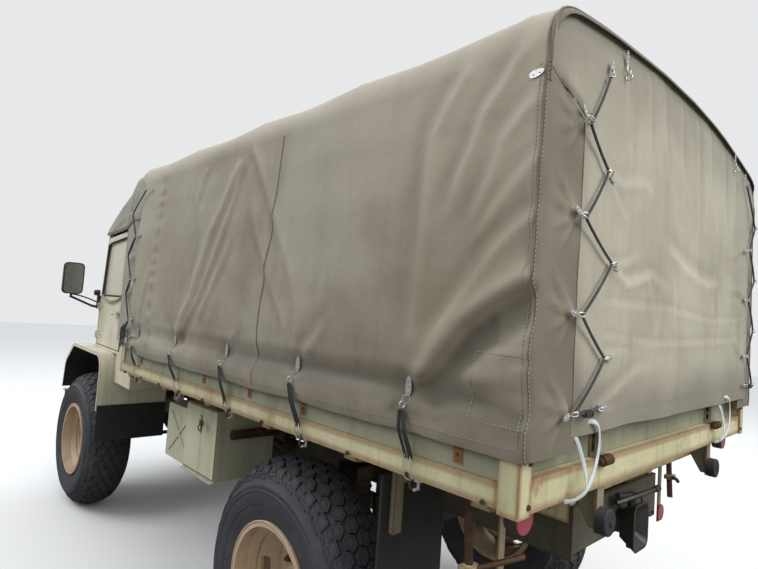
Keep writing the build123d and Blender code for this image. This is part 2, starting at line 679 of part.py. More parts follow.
# Rubber mud flaps behind the front wheels, and behind the rear wheels under the bed
REAR_FLAP_BACK = 640
REAR_FLAP_BOTTOM_Z = 700
REAR_FLAP_INNER_X = 640
REAR_FLAP_OUTER_X = 960
with BuildPart() as mud_flaps:
    for side in (1, -1):
        x_outer = FENDER_OUTER_X + tan(taper) * FENDER_REAR - 4
        x0, x1 = sorted((side * FENDER_INNER_X, side * x_outer))
        y0 = along(FENDER_REAR + SEAT_GAP)
        block(x0, x1, y0, y0 + RUBBER_THICKNESS, FLAP_BOTTOM_Z, FENDER_REAR_Z + 42)
        x0, x1 = sorted((side * REAR_FLAP_INNER_X, side * REAR_FLAP_OUTER_X))
        y0 = REAR_AXLE_Y + REAR_FLAP_BACK - RUBBER_THICKNESS - SEAT_GAP
        block(x0, x1, y0, y0 + RUBBER_THICKNESS, REAR_FLAP_BOTTOM_Z, BED_RAIL_Z - 60)
keep(mud_flaps, "mud_flaps")

# Front panel with the grille opening, its bars, and the headlamp seats
LAMP_X = 520
LAMP_Z = 1105
LAMP_RADIUS = 92
GRILLE_OPENING_HALF = 300
GRILLE_OPENING_Z0 = 1010
GRILLE_OPENING_Z1 = 1400
GRILLE_BARS = 8
GRILLE_BAR_HEIGHT = 12
with BuildPart() as grille:
    with BuildSketch(Plane(origin=(0, along(GRILLE_FRONT), 0), x_dir=(1, 0, 0), z_dir=(0, -1, 0))):
        with BuildLine():
            FilletPolyline(
                (-GRILLE_HALF, GRILLE_BOTTOM_Z),
                (GRILLE_HALF, GRILLE_BOTTOM_Z),
                (GRILLE_HALF, FENDER_TOP_Z - 40),
                (BONNET_FRONT_HALF + 14, FENDER_TOP_Z + 30),
                (BONNET_FRONT_HALF, GRILLE_TOP_Z),
                (-BONNET_FRONT_HALF, GRILLE_TOP_Z),
                (-BONNET_FRONT_HALF - 14, FENDER_TOP_Z + 30),
                (-GRILLE_HALF, FENDER_TOP_Z - 40),
                radius=46,
                close=True,
            )
        make_face()
        with Locations((0, (GRILLE_OPENING_Z0 + GRILLE_OPENING_Z1) / 2)):
            RectangleRounded(
                2 * GRILLE_OPENING_HALF, GRILLE_OPENING_Z1 - GRILLE_OPENING_Z0, 90, mode=Mode.SUBTRACT
            )
        with Locations((LAMP_X, LAMP_Z), (-LAMP_X, LAMP_Z)):
            Circle(LAMP_RADIUS - 12, mode=Mode.SUBTRACT)
    extrude(amount=-GRILLE_PANEL_DEPTH)
    bar_pitch = (GRILLE_OPENING_Z1 - GRILLE_OPENING_Z0) / (GRILLE_BARS + 1)
    for bar in range(GRILLE_BARS):
        z = GRILLE_OPENING_Z0 + (bar + 1) * bar_pitch
        edge = GRILLE_OPENING_HALF + 4 if 0 < bar < GRILLE_BARS - 1 else GRILLE_OPENING_HALF - 8
        block(
            -edge, edge, along(GRILLE_FRONT + 5), along(GRILLE_FRONT + 17),
            z - GRILLE_BAR_HEIGHT / 2, z + GRILLE_BAR_HEIGHT / 2,
        )
keep(grille, "grille_panel")

with BuildPart() as headlamps:
    for side in (1, -1):
        lamp_plane = Plane(
            origin=(side * LAMP_X, along(GRILLE_FRONT), LAMP_Z), x_dir=(1, 0, 0), z_dir=(0, -1, 0)
        )
        with BuildSketch(lamp_plane.offset(SEAT_GAP)):
            Circle(LAMP_RADIUS)
        extrude(amount=26)
        with BuildSketch(lamp_plane.offset(SEAT_GAP + 1)):
            Circle(LAMP_RADIUS - 13)
        extrude(amount=-70)
        with BuildSketch(lamp_plane.offset(26 + SEAT_GAP)):
            Circle(LAMP_RADIUS - 12)
        extrude(amount=-10, mode=Mode.SUBTRACT)
keep(headlamps, "headlamps")

with BuildPart() as lamp_glass:
    for side in (1, -1):
        lamp_plane = Plane(
            origin=(side * LAMP_X, along(GRILLE_FRONT), LAMP_Z), x_dir=(1, 0, 0), z_dir=(0, -1, 0)
        )
        with BuildSketch(lamp_plane.offset(17)):
            Circle(LAMP_RADIUS - 12 - SEAT_GAP)
        extrude(amount=10, taper=20)
keep(lamp_glass, "headlamp_glass")

# Side lights on top of both fenders
SIDE_LIGHT_X = 700
SIDE_LIGHT_BACK = -205
with BuildPart() as side_lights:
    for side in (1, -1):
        with Locations((side * SIDE_LIGHT_X, along(SIDE_LIGHT_BACK), FENDER_TOP_Z + SEAT_GAP + 30)):
            Box(90, 110, 60)
    fillet(side_lights.edges().filter_by(Axis.Z), 24)
    chamfer(side_lights.faces().group_by(Axis.Z)[-1].edges(), 10)
keep(side_lights, "side_lights")

# Fixed bonnet sides between the front panel and the firewall
BONNET_EDGE_Z = GRILLE_TOP_Z + RUNNING_GAP
BONNET_REAR = CAB_FRONT - RUNNING_GAP
with BuildPart() as bonnet_sides:
    side_front = GRILLE_FRONT + GRILLE_PANEL_DEPTH + SEAT_GAP
    side_rear = CAB_FRONT - SEAT_GAP
    for side in (1, -1):
        with BuildSketch(Plane.XY.offset(FENDER_TOP_Z + SEAT_GAP)):
            with BuildLine():
                Polyline(
                    (side * BONNET_FRONT_HALF, along(side_front)),
                    (side * BONNET_REAR_HALF, along(side_rear)),
                    (side * (BONNET_REAR_HALF - BONNET_SHEET), along(side_rear)),
                    (side * (BONNET_FRONT_HALF - BONNET_SHEET), along(side_front)),
                    close=True,
                )
            make_face()
        extrude(amount=GRILLE_TOP_Z - FENDER_TOP_Z - SEAT_GAP)
keep(bonnet_sides, "bonnet_sides")

# Bonnet lid: a crowned shell open below, hinged along its rear top edge
with BuildPart() as bonnet:
    front_y = along(GRILLE_FRONT)
    rear_y = along(BONNET_REAR)
    for inset, cut in ((0, Mode.ADD), (BONNET_SHEET, Mode.SUBTRACT)):
        sections = []
        for y, half, top in (
            (front_y + inset, BONNET_FRONT_HALF, BONNET_FRONT_Z),
            (rear_y - inset, BONNET_REAR_HALF, BONNET_REAR_Z),
        ):
            with BuildSketch(Plane(origin=(0, y, 0), x_dir=(1, 0, 0), z_dir=(0, -1, 0))) as section:
                base = BONNET_EDGE_Z - (1 if inset else 0)
                with BuildLine():
                    Polyline(
                        (-half + inset, base),
                        (half - inset, base),
                        (half - inset, top - 44 - inset),
                        (half - 40 - inset, top - 12 - inset),
                        (0, top - inset),
                        (-half + 40 + inset, top - 12 - inset),
                        (-half + inset, top - 44 - inset),
                        close=True,
                    )
                make_face()
            sections.append(section.sketch)
        loft(sections, ruled=True, mode=cut)
    # Hinge barrels on the rear edge
    for side in (1, -1):
        x0 = side * (BONNET_HINGE_X + SEAT_GAP)
        x1 = side * (BONNET_HINGE_X + BONNET_HINGE_HALF)
        hinge_y = along(BONNET_HINGE_BACK)
        rod((x0, hinge_y, BONNET_HINGE_Z), (x1, hinge_y, BONNET_HINGE_Z), BONNET_HINGE_RADIUS)
        block(*sorted((x0, x1)), along(2), rear_y, BONNET_REAR_Z - 24, BONNET_HINGE_Z)
keep(bonnet, "bonnet")

# Cab tub: floor, firewall, sills, wheel-arch steps, rear wall and the panels behind the doors


def cab_plan(inset):
    """Corner points of the cab's plan outline, moved inwards by an inset."""
    front = along(CAB_FRONT + inset)
    rear = along(CAB_REAR - inset)
    front_half = cab_half(CAB_FRONT + inset) - inset
    rear_half = cab_half(CAB_REAR - inset) - inset
    return [(-front_half, front), (front_half, front), (rear_half, rear), (-rear_half, rear)]


with BuildPart() as cab_void:
    with BuildSketch(Plane.XY.offset(CAB_FLOOR_Z + CAB_WALL)):
        with BuildLine():
            Polyline(*cab_plan(CAB_WALL), close=True)
        make_face()
    extrude(amount=REAR_WALL_Z)
    for side in (1, -1):
        x0, x1 = sorted((side * (ARCH_INNER_X - CAB_WALL), side * 1100))
        block(
            x0, x1, along(CAB_FRONT - 50), along(ARCH_BACK + CAB_WALL), CAB_FLOOR_Z,
            FENDER_TOP_Z + SEAT_GAP + CAB_WALL, mode=Mode.SUBTRACT,
        )

with BuildPart() as cab_tub:
    with BuildSketch(Plane.XY.offset(CAB_FLOOR_Z)):
        with BuildLine():
            Polyline(*cab_plan(0), close=True)
        make_face()
    extrude(amount=REAR_WALL_Z - CAB_FLOOR_Z)
    add(cab_void.part, mode=Mode.SUBTRACT)
    for side in (1, -1):
        x0, x1 = sorted((side * ARCH_INNER_X, side * 1100))
        # Room for the wheel arch below the step
        block(
            x0, x1, along(CAB_FRONT - 50), along(ARCH_BACK), CAB_FLOOR_Z - 1,
            FENDER_TOP_Z + SEAT_GAP, mode=Mode.SUBTRACT,
        )
        # Door opening
        x0, x1 = sorted((side * (CAB_FRONT_HALF - 120), side * 1100))
        block(
            x0, x1, along(DOOR_FRONT - DOOR_GAP), along(DOOR_REAR + DOOR_GAP), SILL_Z,
            REAR_WALL_Z + 1, mode=Mode.SUBTRACT,
        )
    # The firewall ends below the windscreen
    block(
        -1100, 1100, along(CAB_FRONT - 50), along(DOOR_FRONT - DOOR_GAP),
        WAIST_Z, REAR_WALL_Z + 1, mode=Mode.SUBTRACT,
    )
    # Tunnel over the gearbox
    block(-260, 260, along(CAB_FRONT + 2), along(560), CAB_FLOOR_Z + 2, CAB_FLOOR_Z + 210)
    # Bonnet hinge barrels on the firewall, door hinge barrels on the front pillars
    for side in (1, -1):
        x0 = side * (BONNET_HINGE_X - BONNET_HINGE_HALF)
        x1 = side * BONNET_HINGE_X
        hinge_y = along(BONNET_HINGE_BACK)
        rod((x0, hinge_y, BONNET_HINGE_Z), (x1, hinge_y, BONNET_HINGE_Z), BONNET_HINGE_RADIUS)
        block(*sorted((x0, x1)), hinge_y, along(CAB_FRONT + 2), BONNET_HINGE_Z, BONNET_HINGE_Z + 7)
        hinge_x = side * (cab_half(DOOR_FRONT) + HINGE_OUT)
        for hinge_z in HINGE_ZS:
            z0 = hinge_z - HINGE_HALF
            z1 = hinge_z - SEAT_GAP
            rod((hinge_x, along(HINGE_BACK), z0), (hinge_x, along(HINGE_BACK), z1), HINGE_RADIUS)
            leaf_x = side * (CAB_FRONT_HALF + 4)
            block(*sorted((leaf_x, hinge_x)), along(CAB_FRONT + 3), along(HINGE_BACK), z0, z1)
            foot_x = side * (CAB_FRONT_HALF - 6)
            block(*sorted((foot_x, leaf_x + side)), along(CAB_FRONT + 3), along(DOOR_FRONT - 8), z0, z1)
    # Feet on the frame
    for side in (1, -1):
        for distance in (120, 620):
            x0, x1 = sorted((side * (RAIL_OUTER_X - RAIL_WIDTH + 2), side * RAIL_OUTER_X))
            z0 = RAIL_FRONT_Z + RAIL_HEIGHT + SEAT_GAP
            block(x0, x1, along(distance - 40), along(distance + 40), z0, CAB_FLOOR_Z + 1)
keep(cab_tub, "cab_tub")

# Windscreen frame with two panes and its pillars, raked backwards
SCREEN_BASE_Z = WAIST_Z + SEAT_GAP
screen_rise = WINDSCREEN_TOP_Z - SCREEN_BASE_Z
screen_angle = atan2(WINDSCREEN_RAKE, screen_rise)
screen_plane = Plane(
    origin=(0, along(CAB_FRONT + 2), SCREEN_BASE_Z),
    x_dir=(1, 0, 0),
    z_dir=(0, -cos(screen_angle), sin(screen_angle)),
)
screen_height = sqrt(screen_rise**2 + WINDSCREEN_RAKE**2)
screen_half = CAB_FRONT_HALF - 4
with BuildPart() as windscreen_frame:
    with BuildSketch(screen_plane):
        with Locations((0, screen_height / 2)):
            Rectangle(2 * screen_half, screen_height)
        for side in (1, -1):
            with Locations((side * (screen_half / 2 + 0), screen_height / 2 + 4)):
                pane = (screen_half - 1.5 * PILLAR, screen_height - 2 * PILLAR)
                RectangleRounded(*pane, 40, mode=Mode.SUBTRACT)
    extrude(amount=-30)
    split(bisect_by=Plane.XY.offset(SCREEN_BASE_Z), keep=Keep.TOP)
keep(windscreen_frame, "windscreen_frame")

with BuildPart() as windscreen_glass:
    for side in (1, -1):
        with BuildSketch(screen_plane.offset(-12)):
            with Locations((side * (screen_half / 2 + 0), screen_height / 2 + 4)):
                RectangleRounded(
                    screen_half - 1.5 * PILLAR - 2 * SEAT_GAP,
                    screen_height - 2 * PILLAR - 2 * SEAT_GAP,
                    40 - SEAT_GAP,
                )
        extrude(amount=-GLASS_THICKNESS)
keep(windscreen_glass, "windscreen_glass")

# Doors: steel lower panel and window frame in one skin, set in the tapered cab side
door_angle = atan2(CAB_REAR_HALF - CAB_FRONT_HALF, CAB_REAR - CAB_FRONT)
WINDOW_BOTTOM_Z = 1668
for side, door_side in ((1, "left"), (-1, "right")):
    door_plane = Plane(
        origin=(side * cab_half(0), FRONT_AXLE_Y, 0),
        x_dir=(side * sin(door_angle), cos(door_angle), 0),
        z_dir=(cos(door_angle), -side * sin(door_angle), 0),
    )
    door_z0 = SILL_Z + DOOR_GAP
    front_top = DOOR_FRONT + WINDSCREEN_RAKE + 12
    with BuildPart() as door:
        with BuildSketch(door_plane):
            with BuildLine():
                Polyline(
                    (DOOR_FRONT, door_z0),
                    (DOOR_REAR, door_z0),
                    (DOOR_REAR, DOOR_TOP_Z),
                    (front_top, DOOR_TOP_Z - 18),
                    (DOOR_FRONT + 6, WAIST_Z),
                    close=True,
                )
            make_face()
            with BuildLine():
                FilletPolyline(
                    (DOOR_FRONT + DOOR_FRAME + 12, WINDOW_BOTTOM_Z),
                    (DOOR_REAR - DOOR_FRAME, WINDOW_BOTTOM_Z),
                    (DOOR_REAR - DOOR_FRAME, DOOR_TOP_Z - DOOR_FRAME),
                    (front_top + DOOR_FRAME - 6, DOOR_TOP_Z - DOOR_FRAME - 18),
                    radius=36,
                    close=True,
                )
            make_face(mode=Mode.SUBTRACT)
        extrude(amount=-side * DOOR_THICKNESS)
        # Handle near the rear edge
        with BuildSketch(door_plane.offset(side * -2)):
            with Locations((DOOR_REAR - 95, WAIST_Z - 92)):
                SlotOverall(110, 24)
        extrude(amount=side * 34)
        with BuildSketch(door_plane.offset(side * -1)):
            with Locations((DOOR_REAR - 85, WAIST_Z - 92)):
                Rectangle(50, 30)
        extrude(amount=side * 18, mode=Mode.SUBTRACT)
        # Hinge leaves and barrels
        hinge_x = side * (cab_half(DOOR_FRONT) + HINGE_OUT)
        for hinge_z in HINGE_ZS:
            z1 = hinge_z + HINGE_HALF
            rod((hinge_x, along(HINGE_BACK), hinge_z), (hinge_x, along(HINGE_BACK), z1), HINGE_RADIUS)
            leaf_x = side * (cab_half(DOOR_FRONT) - 3)
            block(*sorted((leaf_x, hinge_x)), along(DOOR_FRONT), along(DOOR_FRONT + 58), hinge_z, z1)
            x0, x1 = sorted((leaf_x + side * 6, hinge_x))
            block(x0, x1, along(HINGE_BACK), along(DOOR_FRONT + 1), hinge_z, z1)
    keep(door, f"door_{door_side}")
    with BuildPart() as door_glass:
        with BuildSketch(door_plane.offset(-side * 14)):
            with BuildLine():
                FilletPolyline(
                    (DOOR_FRONT + DOOR_FRAME + 12 + SEAT_GAP, WINDOW_BOTTOM_Z + SEAT_GAP),
                    (DOOR_REAR - DOOR_FRAME - SEAT_GAP, WINDOW_BOTTOM_Z + SEAT_GAP),
                    (DOOR_REAR - DOOR_FRAME - SEAT_GAP, DOOR_TOP_Z - DOOR_FRAME - SEAT_GAP),
                    (front_top + DOOR_FRAME - 6 + SEAT_GAP, DOOR_TOP_Z - DOOR_FRAME - 18 - SEAT_GAP),
                    radius=36,
                    close=True,
                )
            make_face()
        extrude(amount=-side * GLASS_THICKNESS)
    keep(door_glass, f"door_glass_{door_side}")

# Mirrors on bent tube arms ahead of the doors
MIRROR_BACK = -30
MIRROR_OUT = 204
MIRROR_Z = 1792
MIRROR_WIDTH = 148
MIRROR_HEIGHT = 252
with BuildPart() as mirrors:
    for side in (1, -1):
        base_x = side * (cab_half(CAB_FRONT) - 20)
        head_x = side * (CAB_FRONT_HALF + MIRROR_OUT)
        foot = (base_x, along(CAB_FRONT - SEAT_GAP - 9.5), WAIST_Z - 70)
        block(
            base_x - 20, base_x + 20, along(CAB_FRONT - SEAT_GAP - 10), along(CAB_FRONT - SEAT_GAP),
            WAIST_Z - 110, WAIST_Z - 30,
        )
        elbow = (base_x + side * 60, along(CAB_FRONT - 70), WAIST_Z - 60)
        knee = (head_x, along(MIRROR_BACK), WAIST_Z + 5)
        rod(foot, elbow, 11)
        rod(elbow, knee, 9)
        rod(knee, (head_x, along(MIRROR_BACK), MIRROR_Z + 60), 9)
        with Locations(elbow, knee):
            Sphere(11)
        head_middle = (head_x, along(MIRROR_BACK + 4), MIRROR_Z)
        head_plane = Plane(origin=head_middle, x_dir=(1, 0, 0), z_dir=(0, 1, 0))
        with BuildSketch(head_plane):
            RectangleRounded(MIRROR_WIDTH, MIRROR_HEIGHT, 34)
        extrude(amount=26)
keep(mirrors, "mirrors")

# Dashboard, steering column and wheel
with BuildPart() as dashboard:
    dash_y = CAB_FRONT + CAB_WALL + SEAT_GAP
    block(
        -CAB_FRONT_HALF + 70, CAB_FRONT_HALF - 70, along(dash_y), along(dash_y + 120),
        WAIST_Z - 160, WAIST_Z - 8,
    )
    fillet(dashboard.edges().filter_by(Axis.X).group_by(Axis.Y)[-1], 40)
keep(dashboard, "dashboard")

COLUMN_X = 360
WHEEL_CENTRE = (COLUMN_X, along(430), 1640)
COLUMN_FOOT = (COLUMN_X, along(190), 1290)
column_axis = Vector(*WHEEL_CENTRE) - Vector(*COLUMN_FOOT)
wheel_centre = Vector(*WHEEL_CENTRE)
column_top = wheel_centre - column_axis.normalized() * (22 + SEAT_GAP)
with BuildPart() as column:
    rod((COLUMN_X, along(86), CAB_FLOOR_Z + CAB_WALL + 60), tuple(column_top), 24)
    block(
        COLUMN_X - 40, COLUMN_X + 40, along(CAB_FRONT + CAB_WALL + SEAT_GAP), along(130),
        CAB_FLOOR_Z + CAB_WALL + SEAT_GAP, CAB_FLOOR_Z + CAB_WALL + 90,
    )
keep(column, "steering_column")

STEERING_WHEEL_RADIUS = 215
with BuildPart() as steering_wheel:
    wheel_face = Plane(origin=WHEEL_CENTRE, z_dir=column_axis)
    with Locations(wheel_face):
        Torus(STEERING_WHEEL_RADIUS, 14)
        Cylinder(46, 44)
        with PolarLocations(0, 3, start_angle=90):
            with Locations((STEERING_WHEEL_RADIUS / 2, 0, 0)):
                Box(STEERING_WHEEL_RADIUS - 6, 26, 10)
keep(steering_wheel, "steering_wheel")

# Seats: steel boxes with soft pads
SEAT_X = 380
SEAT_WIDTH = 440
SEAT_DEPTH = 430
SEAT_FRONT = 600
SEAT_BASE_Z = 1330
SEAT_PAD = 90
with BuildPart() as seat_frames:
    for side in (1, -1):
        x = side * SEAT_X
        z0 = CAB_FLOOR_Z + CAB_WALL + SEAT_GAP
        block(
            x - SEAT_WIDTH / 2 + 20, x + SEAT_WIDTH / 2 - 20, along(SEAT_FRONT + 130),
            along(SEAT_FRONT + SEAT_DEPTH - 10), z0, SEAT_BASE_Z,
        )
        block(
            x - SEAT_WIDTH / 2 + 20, x + SEAT_WIDTH / 2 - 20, along(SEAT_FRONT + SEAT_DEPTH - 24),
            along(SEAT_FRONT + SEAT_DEPTH - 10), SEAT_BASE_Z - 2, SEAT_BASE_Z + 460,
        )
keep(seat_frames, "seat_frames")

with BuildPart() as seat_pads:
    for side in (1, -1):
        x = side * SEAT_X
        z0 = SEAT_BASE_Z + SEAT_GAP
        block(
            x - SEAT_WIDTH / 2, x + SEAT_WIDTH / 2,
            along(SEAT_FRONT), along(SEAT_FRONT + SEAT_DEPTH - 26), z0, z0 + SEAT_PAD,
        )
        y1 = SEAT_FRONT + SEAT_DEPTH - 24 - SEAT_GAP
        block(
            x - SEAT_WIDTH / 2 + 5, x + SEAT_WIDTH / 2 - 5,
            along(y1 - 75), along(y1), z0 + SEAT_PAD + 3, z0 + 480,
        )
keep(seat_pads, "seat_pads")

# Soft top of the cab: a hollow canvas shell that climbs from the windscreen to the bed's canvas
ROOF_SECTIONS = (
    # distance behind the front axle, half width, eave Z, crown Z
    (CAB_FRONT + WINDSCREEN_RAKE + 2, CAB_FRONT_HALF - 6, WINDSCREEN_TOP_Z - 30, WINDSCREEN_TOP_Z + 24),
    (520, CAB_FRONT_HALF + 30, 2330, 2440),
    (900, CAB_REAR_HALF - 10, 2420, 2530),
    (BED_FRONT - 14 - SEAT_GAP, CAB_REAR_HALF + 40, 2450, 2580),
)
TOP_THICKNESS = 10
with BuildPart() as soft_top:
    for inset, cut in ((0, Mode.ADD), (TOP_THICKNESS, Mode.SUBTRACT)):
        sections = []
        for index, (distance, half, eave, crown) in enumerate(ROOF_SECTIONS):
            y = along(distance)
            if inset:
                y += (inset, 0, 0, 1)[index]
            with BuildSketch(Plane(origin=(0, y, 0), x_dir=(1, 0, 0), z_dir=(0, -1, 0))) as section:
                with BuildLine():
                    Polyline(
                        (-half + inset, DOOR_TOP_Z + DOOR_GAP - inset),
                        (-half + inset, eave - inset),
                        (-half + 110, crown - 26 - inset),
                        (0, crown - inset),
                        (half - 110, crown - 26 - inset),
                        (half - inset, eave - inset),
                        (half - inset, DOOR_TOP_Z + DOOR_GAP - inset),
                        close=True,
                    )
                make_face()
            sections.append(section.sketch)
        loft(sections, ruled=True, mode=cut)
    # Seat on the windscreen's top rail
    block(
        -1100, 1100, along(CAB_FRONT), along(CAB_FRONT + WINDSCREEN_RAKE + 40), DOOR_TOP_Z,
        WINDSCREEN_TOP_Z + SEAT_GAP, mode=Mode.SUBTRACT,
    )
    # Skirts behind the doors, down to the rear corner panels
    for side in (1, -1):
        x_in = cab_half(CAB_REAR)
        x0, x1 = sorted((side * (x_in + SEAT_GAP), side * (x_in + 14)))
        block(
            x0, x1, along(DOOR_REAR + 50), along(BED_FRONT - 14 - SEAT_GAP), BOARD_BASE_Z + 130,
            DOOR_TOP_Z + DOOR_GAP + 60,
        )
keep(soft_top, "cab_soft_top")

# Bed: cross beams, plank floor, pressed rail all round, corner posts
CROSS_BEAMS = 6
BEAM_INSET = 90
beam_pitch = (BED_LENGTH - 2 * BEAM_INSET - CROSS_BEAM_WIDTH) / (CROSS_BEAMS - 1)
SPACER_TOP_Z = BED_RAIL_Z - CROSS_BEAM_HEIGHT
BEAM_TAPER_X = 560
BEAM_END_X = BED_HALF_WIDTH - BED_RAIL_DEPTH / 2
BEAM_END_DEPTH = 22


def beam_underside(x):
    """Height of a cross beam's underside at a distance from the middle."""
    share = max(0, (abs(x) - BEAM_TAPER_X) / (BEAM_END_X - BEAM_TAPER_X))
    return SPACER_TOP_Z + share * (CROSS_BEAM_HEIGHT - BEAM_END_DEPTH)


with BuildPart() as bed_frame:
    half = BED_HALF_WIDTH
    # Pressed rail: a channel with its open side inwards
    for x0, x1, y0, y1 in (
        (half - BED_RAIL_DEPTH, half, BED_FRONT_Y, BED_REAR_Y),
        (-half, -half + BED_RAIL_DEPTH, BED_FRONT_Y, BED_REAR_Y),
        (-half, half, BED_FRONT_Y, BED_FRONT_Y + BED_RAIL_DEPTH),
    ):
        block(x0, x1, y0, y1, BED_RAIL_Z, BED_RAIL_Z + BED_RAIL_HEIGHT)
    block(
        -half + BED_SHEET, half - BED_SHEET, BED_FRONT_Y + BED_SHEET, BED_REAR_Y - BED_SHEET,
        BED_RAIL_Z + BED_SHEET, BED_RAIL_Z + BED_RAIL_HEIGHT - BED_SHEET, mode=Mode.SUBTRACT,
    )
    # The rear rail is taller, and its top is a ledge in front of the tailgate
    block(-half, half, BED_REAR_Y - BED_RAIL_DEPTH, BED_REAR_Y, REAR_RAIL_Z, REAR_RAIL_TOP_Z)
    block(
        -half + BED_SHEET, half - BED_SHEET, BED_REAR_Y - BED_RAIL_DEPTH - 1, BED_REAR_Y - BED_SHEET,
        REAR_RAIL_Z + BED_SHEET, REAR_RAIL_TOP_Z - BED_SHEET, mode=Mode.SUBTRACT,
    )
    for beam in range(CROSS_BEAMS):
        y = BED_FRONT_Y + BEAM_INSET + CROSS_BEAM_WIDTH / 2 + beam * beam_pitch
        # Each beam tapers upwards to its ends under the side rails
        with BuildSketch(Plane(origin=(0, y + CROSS_BEAM_WIDTH / 2, 0), x_dir=(1, 0, 0), z_dir=(0, -1, 0))):
            with BuildLine():
                Polyline(
                    (-BEAM_END_X, BED_RAIL_Z + 2),
                    (BEAM_END_X, BED_RAIL_Z + 2),
                    (BEAM_END_X, beam_underside(BEAM_END_X)),
                    (BEAM_TAPER_X, SPACER_TOP_Z),
                    (-BEAM_TAPER_X, SPACER_TOP_Z),
                    (-BEAM_END_X, beam_underside(BEAM_END_X)),
                    close=True,
                )
            make_face()
        extrude(amount=CROSS_BEAM_WIDTH)
    # Long bearers between the cross beams and the frame
    for side in (1, -1):
        x = side * (RAIL_OUTER_X - RAIL_WIDTH / 2)
        with BuildSketch(Plane(origin=(x, 0, 0), x_dir=(0, 1, 0), z_dir=(1, 0, 0))):
            with BuildLine():
                Polyline(
                    (BED_FRONT_Y + 20, SPACER_TOP_Z + 2),
                    (BED_FRONT_Y + 20, SPACER_TOP_Z - 70),
                    (along(2180), SPACER_TOP_Z - 70),
                    (along(2500), RAIL_REAR_Z + RAIL_HEIGHT + SEAT_GAP),
                    (along(3890), RAIL_REAR_Z + RAIL_HEIGHT + SEAT_GAP),
                    (along(3890), SPACER_TOP_Z + 2),
                    close=True,
                )
            make_face()
        extrude(amount=22, both=True)
        # Two front feet down to the dropped frame
        for distance in (1400, 1900):
            block(
                x - 22, x + 22, along(distance - 40), along(distance + 40),
                RAIL_MID_Z + RAIL_HEIGHT + SEAT_GAP, SPACER_TOP_Z - 68,
            )
    # Corner posts that hold the boards
    for side in (1, -1):
        for y0 in (BED_FRONT_Y, BED_REAR_Y - POST_WIDTH):
            x0, x1 = sorted((side * (half - POST_WIDTH), side * half))
            block(x0, x1, y0, y0 + POST_WIDTH, BED_RAIL_Z + BED_RAIL_HEIGHT - 2, BOARD_BASE_Z + BOARD_HEIGHT)
        # Angle plate over the rear corner, proud of both rails
        x0, x1 = sorted((side * (half - POST_WIDTH + 10), side * (half + CORNER_PROUD)))
        block(
            x0, x1, BED_REAR_Y - POST_WIDTH + 4, BED_REAR_Y + CORNER_PROUD, REAR_RAIL_Z - 3, CORNER_TOP_Z,
        )
keep(bed_frame, "bed_frame")

with BuildPart() as bed_floor:
    half = BED_HALF_WIDTH - BED_RAIL_DEPTH - SEAT_GAP
    block(
        -half, half, BED_FRONT_Y + BED_RAIL_DEPTH + SEAT_GAP, BED_REAR_Y - BED_RAIL_DEPTH - SEAT_GAP,
        BED_RAIL_Z + 2 + SEAT_GAP, FLOOR_TOP_Z,
    )
    # Corners notched round the posts
    notch_x = BED_HALF_WIDTH - POST_WIDTH - SEAT_GAP
    for x0, x1 in ((notch_x, half + 1), (-half - 1, -notch_x)):
        for y0, y1 in (
            (BED_FRONT_Y, BED_FRONT_Y + POST_WIDTH + SEAT_GAP),
            (BED_REAR_Y - POST_WIDTH - SEAT_GAP, BED_REAR_Y),
        ):
            block(x0, x1, y0, y1, BED_RAIL_Z, FLOOR_TOP_Z + 1, mode=Mode.SUBTRACT)
keep(bed_floor, "bed_floor")

# Boards standing on the rail between the corner posts
board_z0 = BOARD_BASE_Z + SEAT_GAP
board_z1 = BOARD_BASE_Z + BOARD_HEIGHT
with BuildPart() as side_boards:
    for side in (1, -1):
        x0, x1 = sorted((side * (BOARD_OUTER_X - BOARD_THICKNESS), side * BOARD_OUTER_X))
        block(
            x0, x1, BED_FRONT_Y + POST_WIDTH + SEAT_GAP, BED_REAR_Y - POST_WIDTH - SEAT_GAP,
            board_z0, board_z1,
        )
    half = BED_HALF_WIDTH - POST_WIDTH - SEAT_GAP
    block(-half, half, BED_FRONT_Y + 6, BED_FRONT_Y + 6 + BOARD_THICKNESS, board_z0, board_z1)
keep(side_boards, "side_boards")

tail_face_y = BED_REAR_Y - TAILGATE_INSET
tail_z0 = REAR_RAIL_TOP_Z + SEAT_GAP
with BuildPart() as tailgate:
    half = BED_HALF_WIDTH - POST_WIDTH - SEAT_GAP
    block(-half, half, tail_face_y - BOARD_THICKNESS, tail_face_y, tail_z0, board_z1)
    # Two hinge straps that stand on the ledge, with knuckles in front of the rail
    for x in (600, -545):
        block(x - 20, x + 20, tail_face_y - 1, BED_REAR_Y - 2, tail_z0, tail_z0 + 20)
        block(x - 20, x + 20, BED_REAR_Y - 12, BED_REAR_Y - 2, tail_z0, tail_z0 + HINGE_STRAP_RISE)
        strap_z1 = tail_z0 + HINGE_STRAP_RISE
        block(x - 20, x + 20, tail_face_y - 1, BED_REAR_Y - 2, strap_z1 - 12, strap_z1)
        block(x - 20, x + 20, BED_REAR_Y - 3, BED_REAR_Y + 8, tail_z0 + 2, tail_z0 + 14)
        rod((x - 26, BED_REAR_Y + 12.5, tail_z0 - 2), (x + 26, BED_REAR_Y + 12.5, tail_z0 - 2), 12)
keep(tailgate, "tailgate")

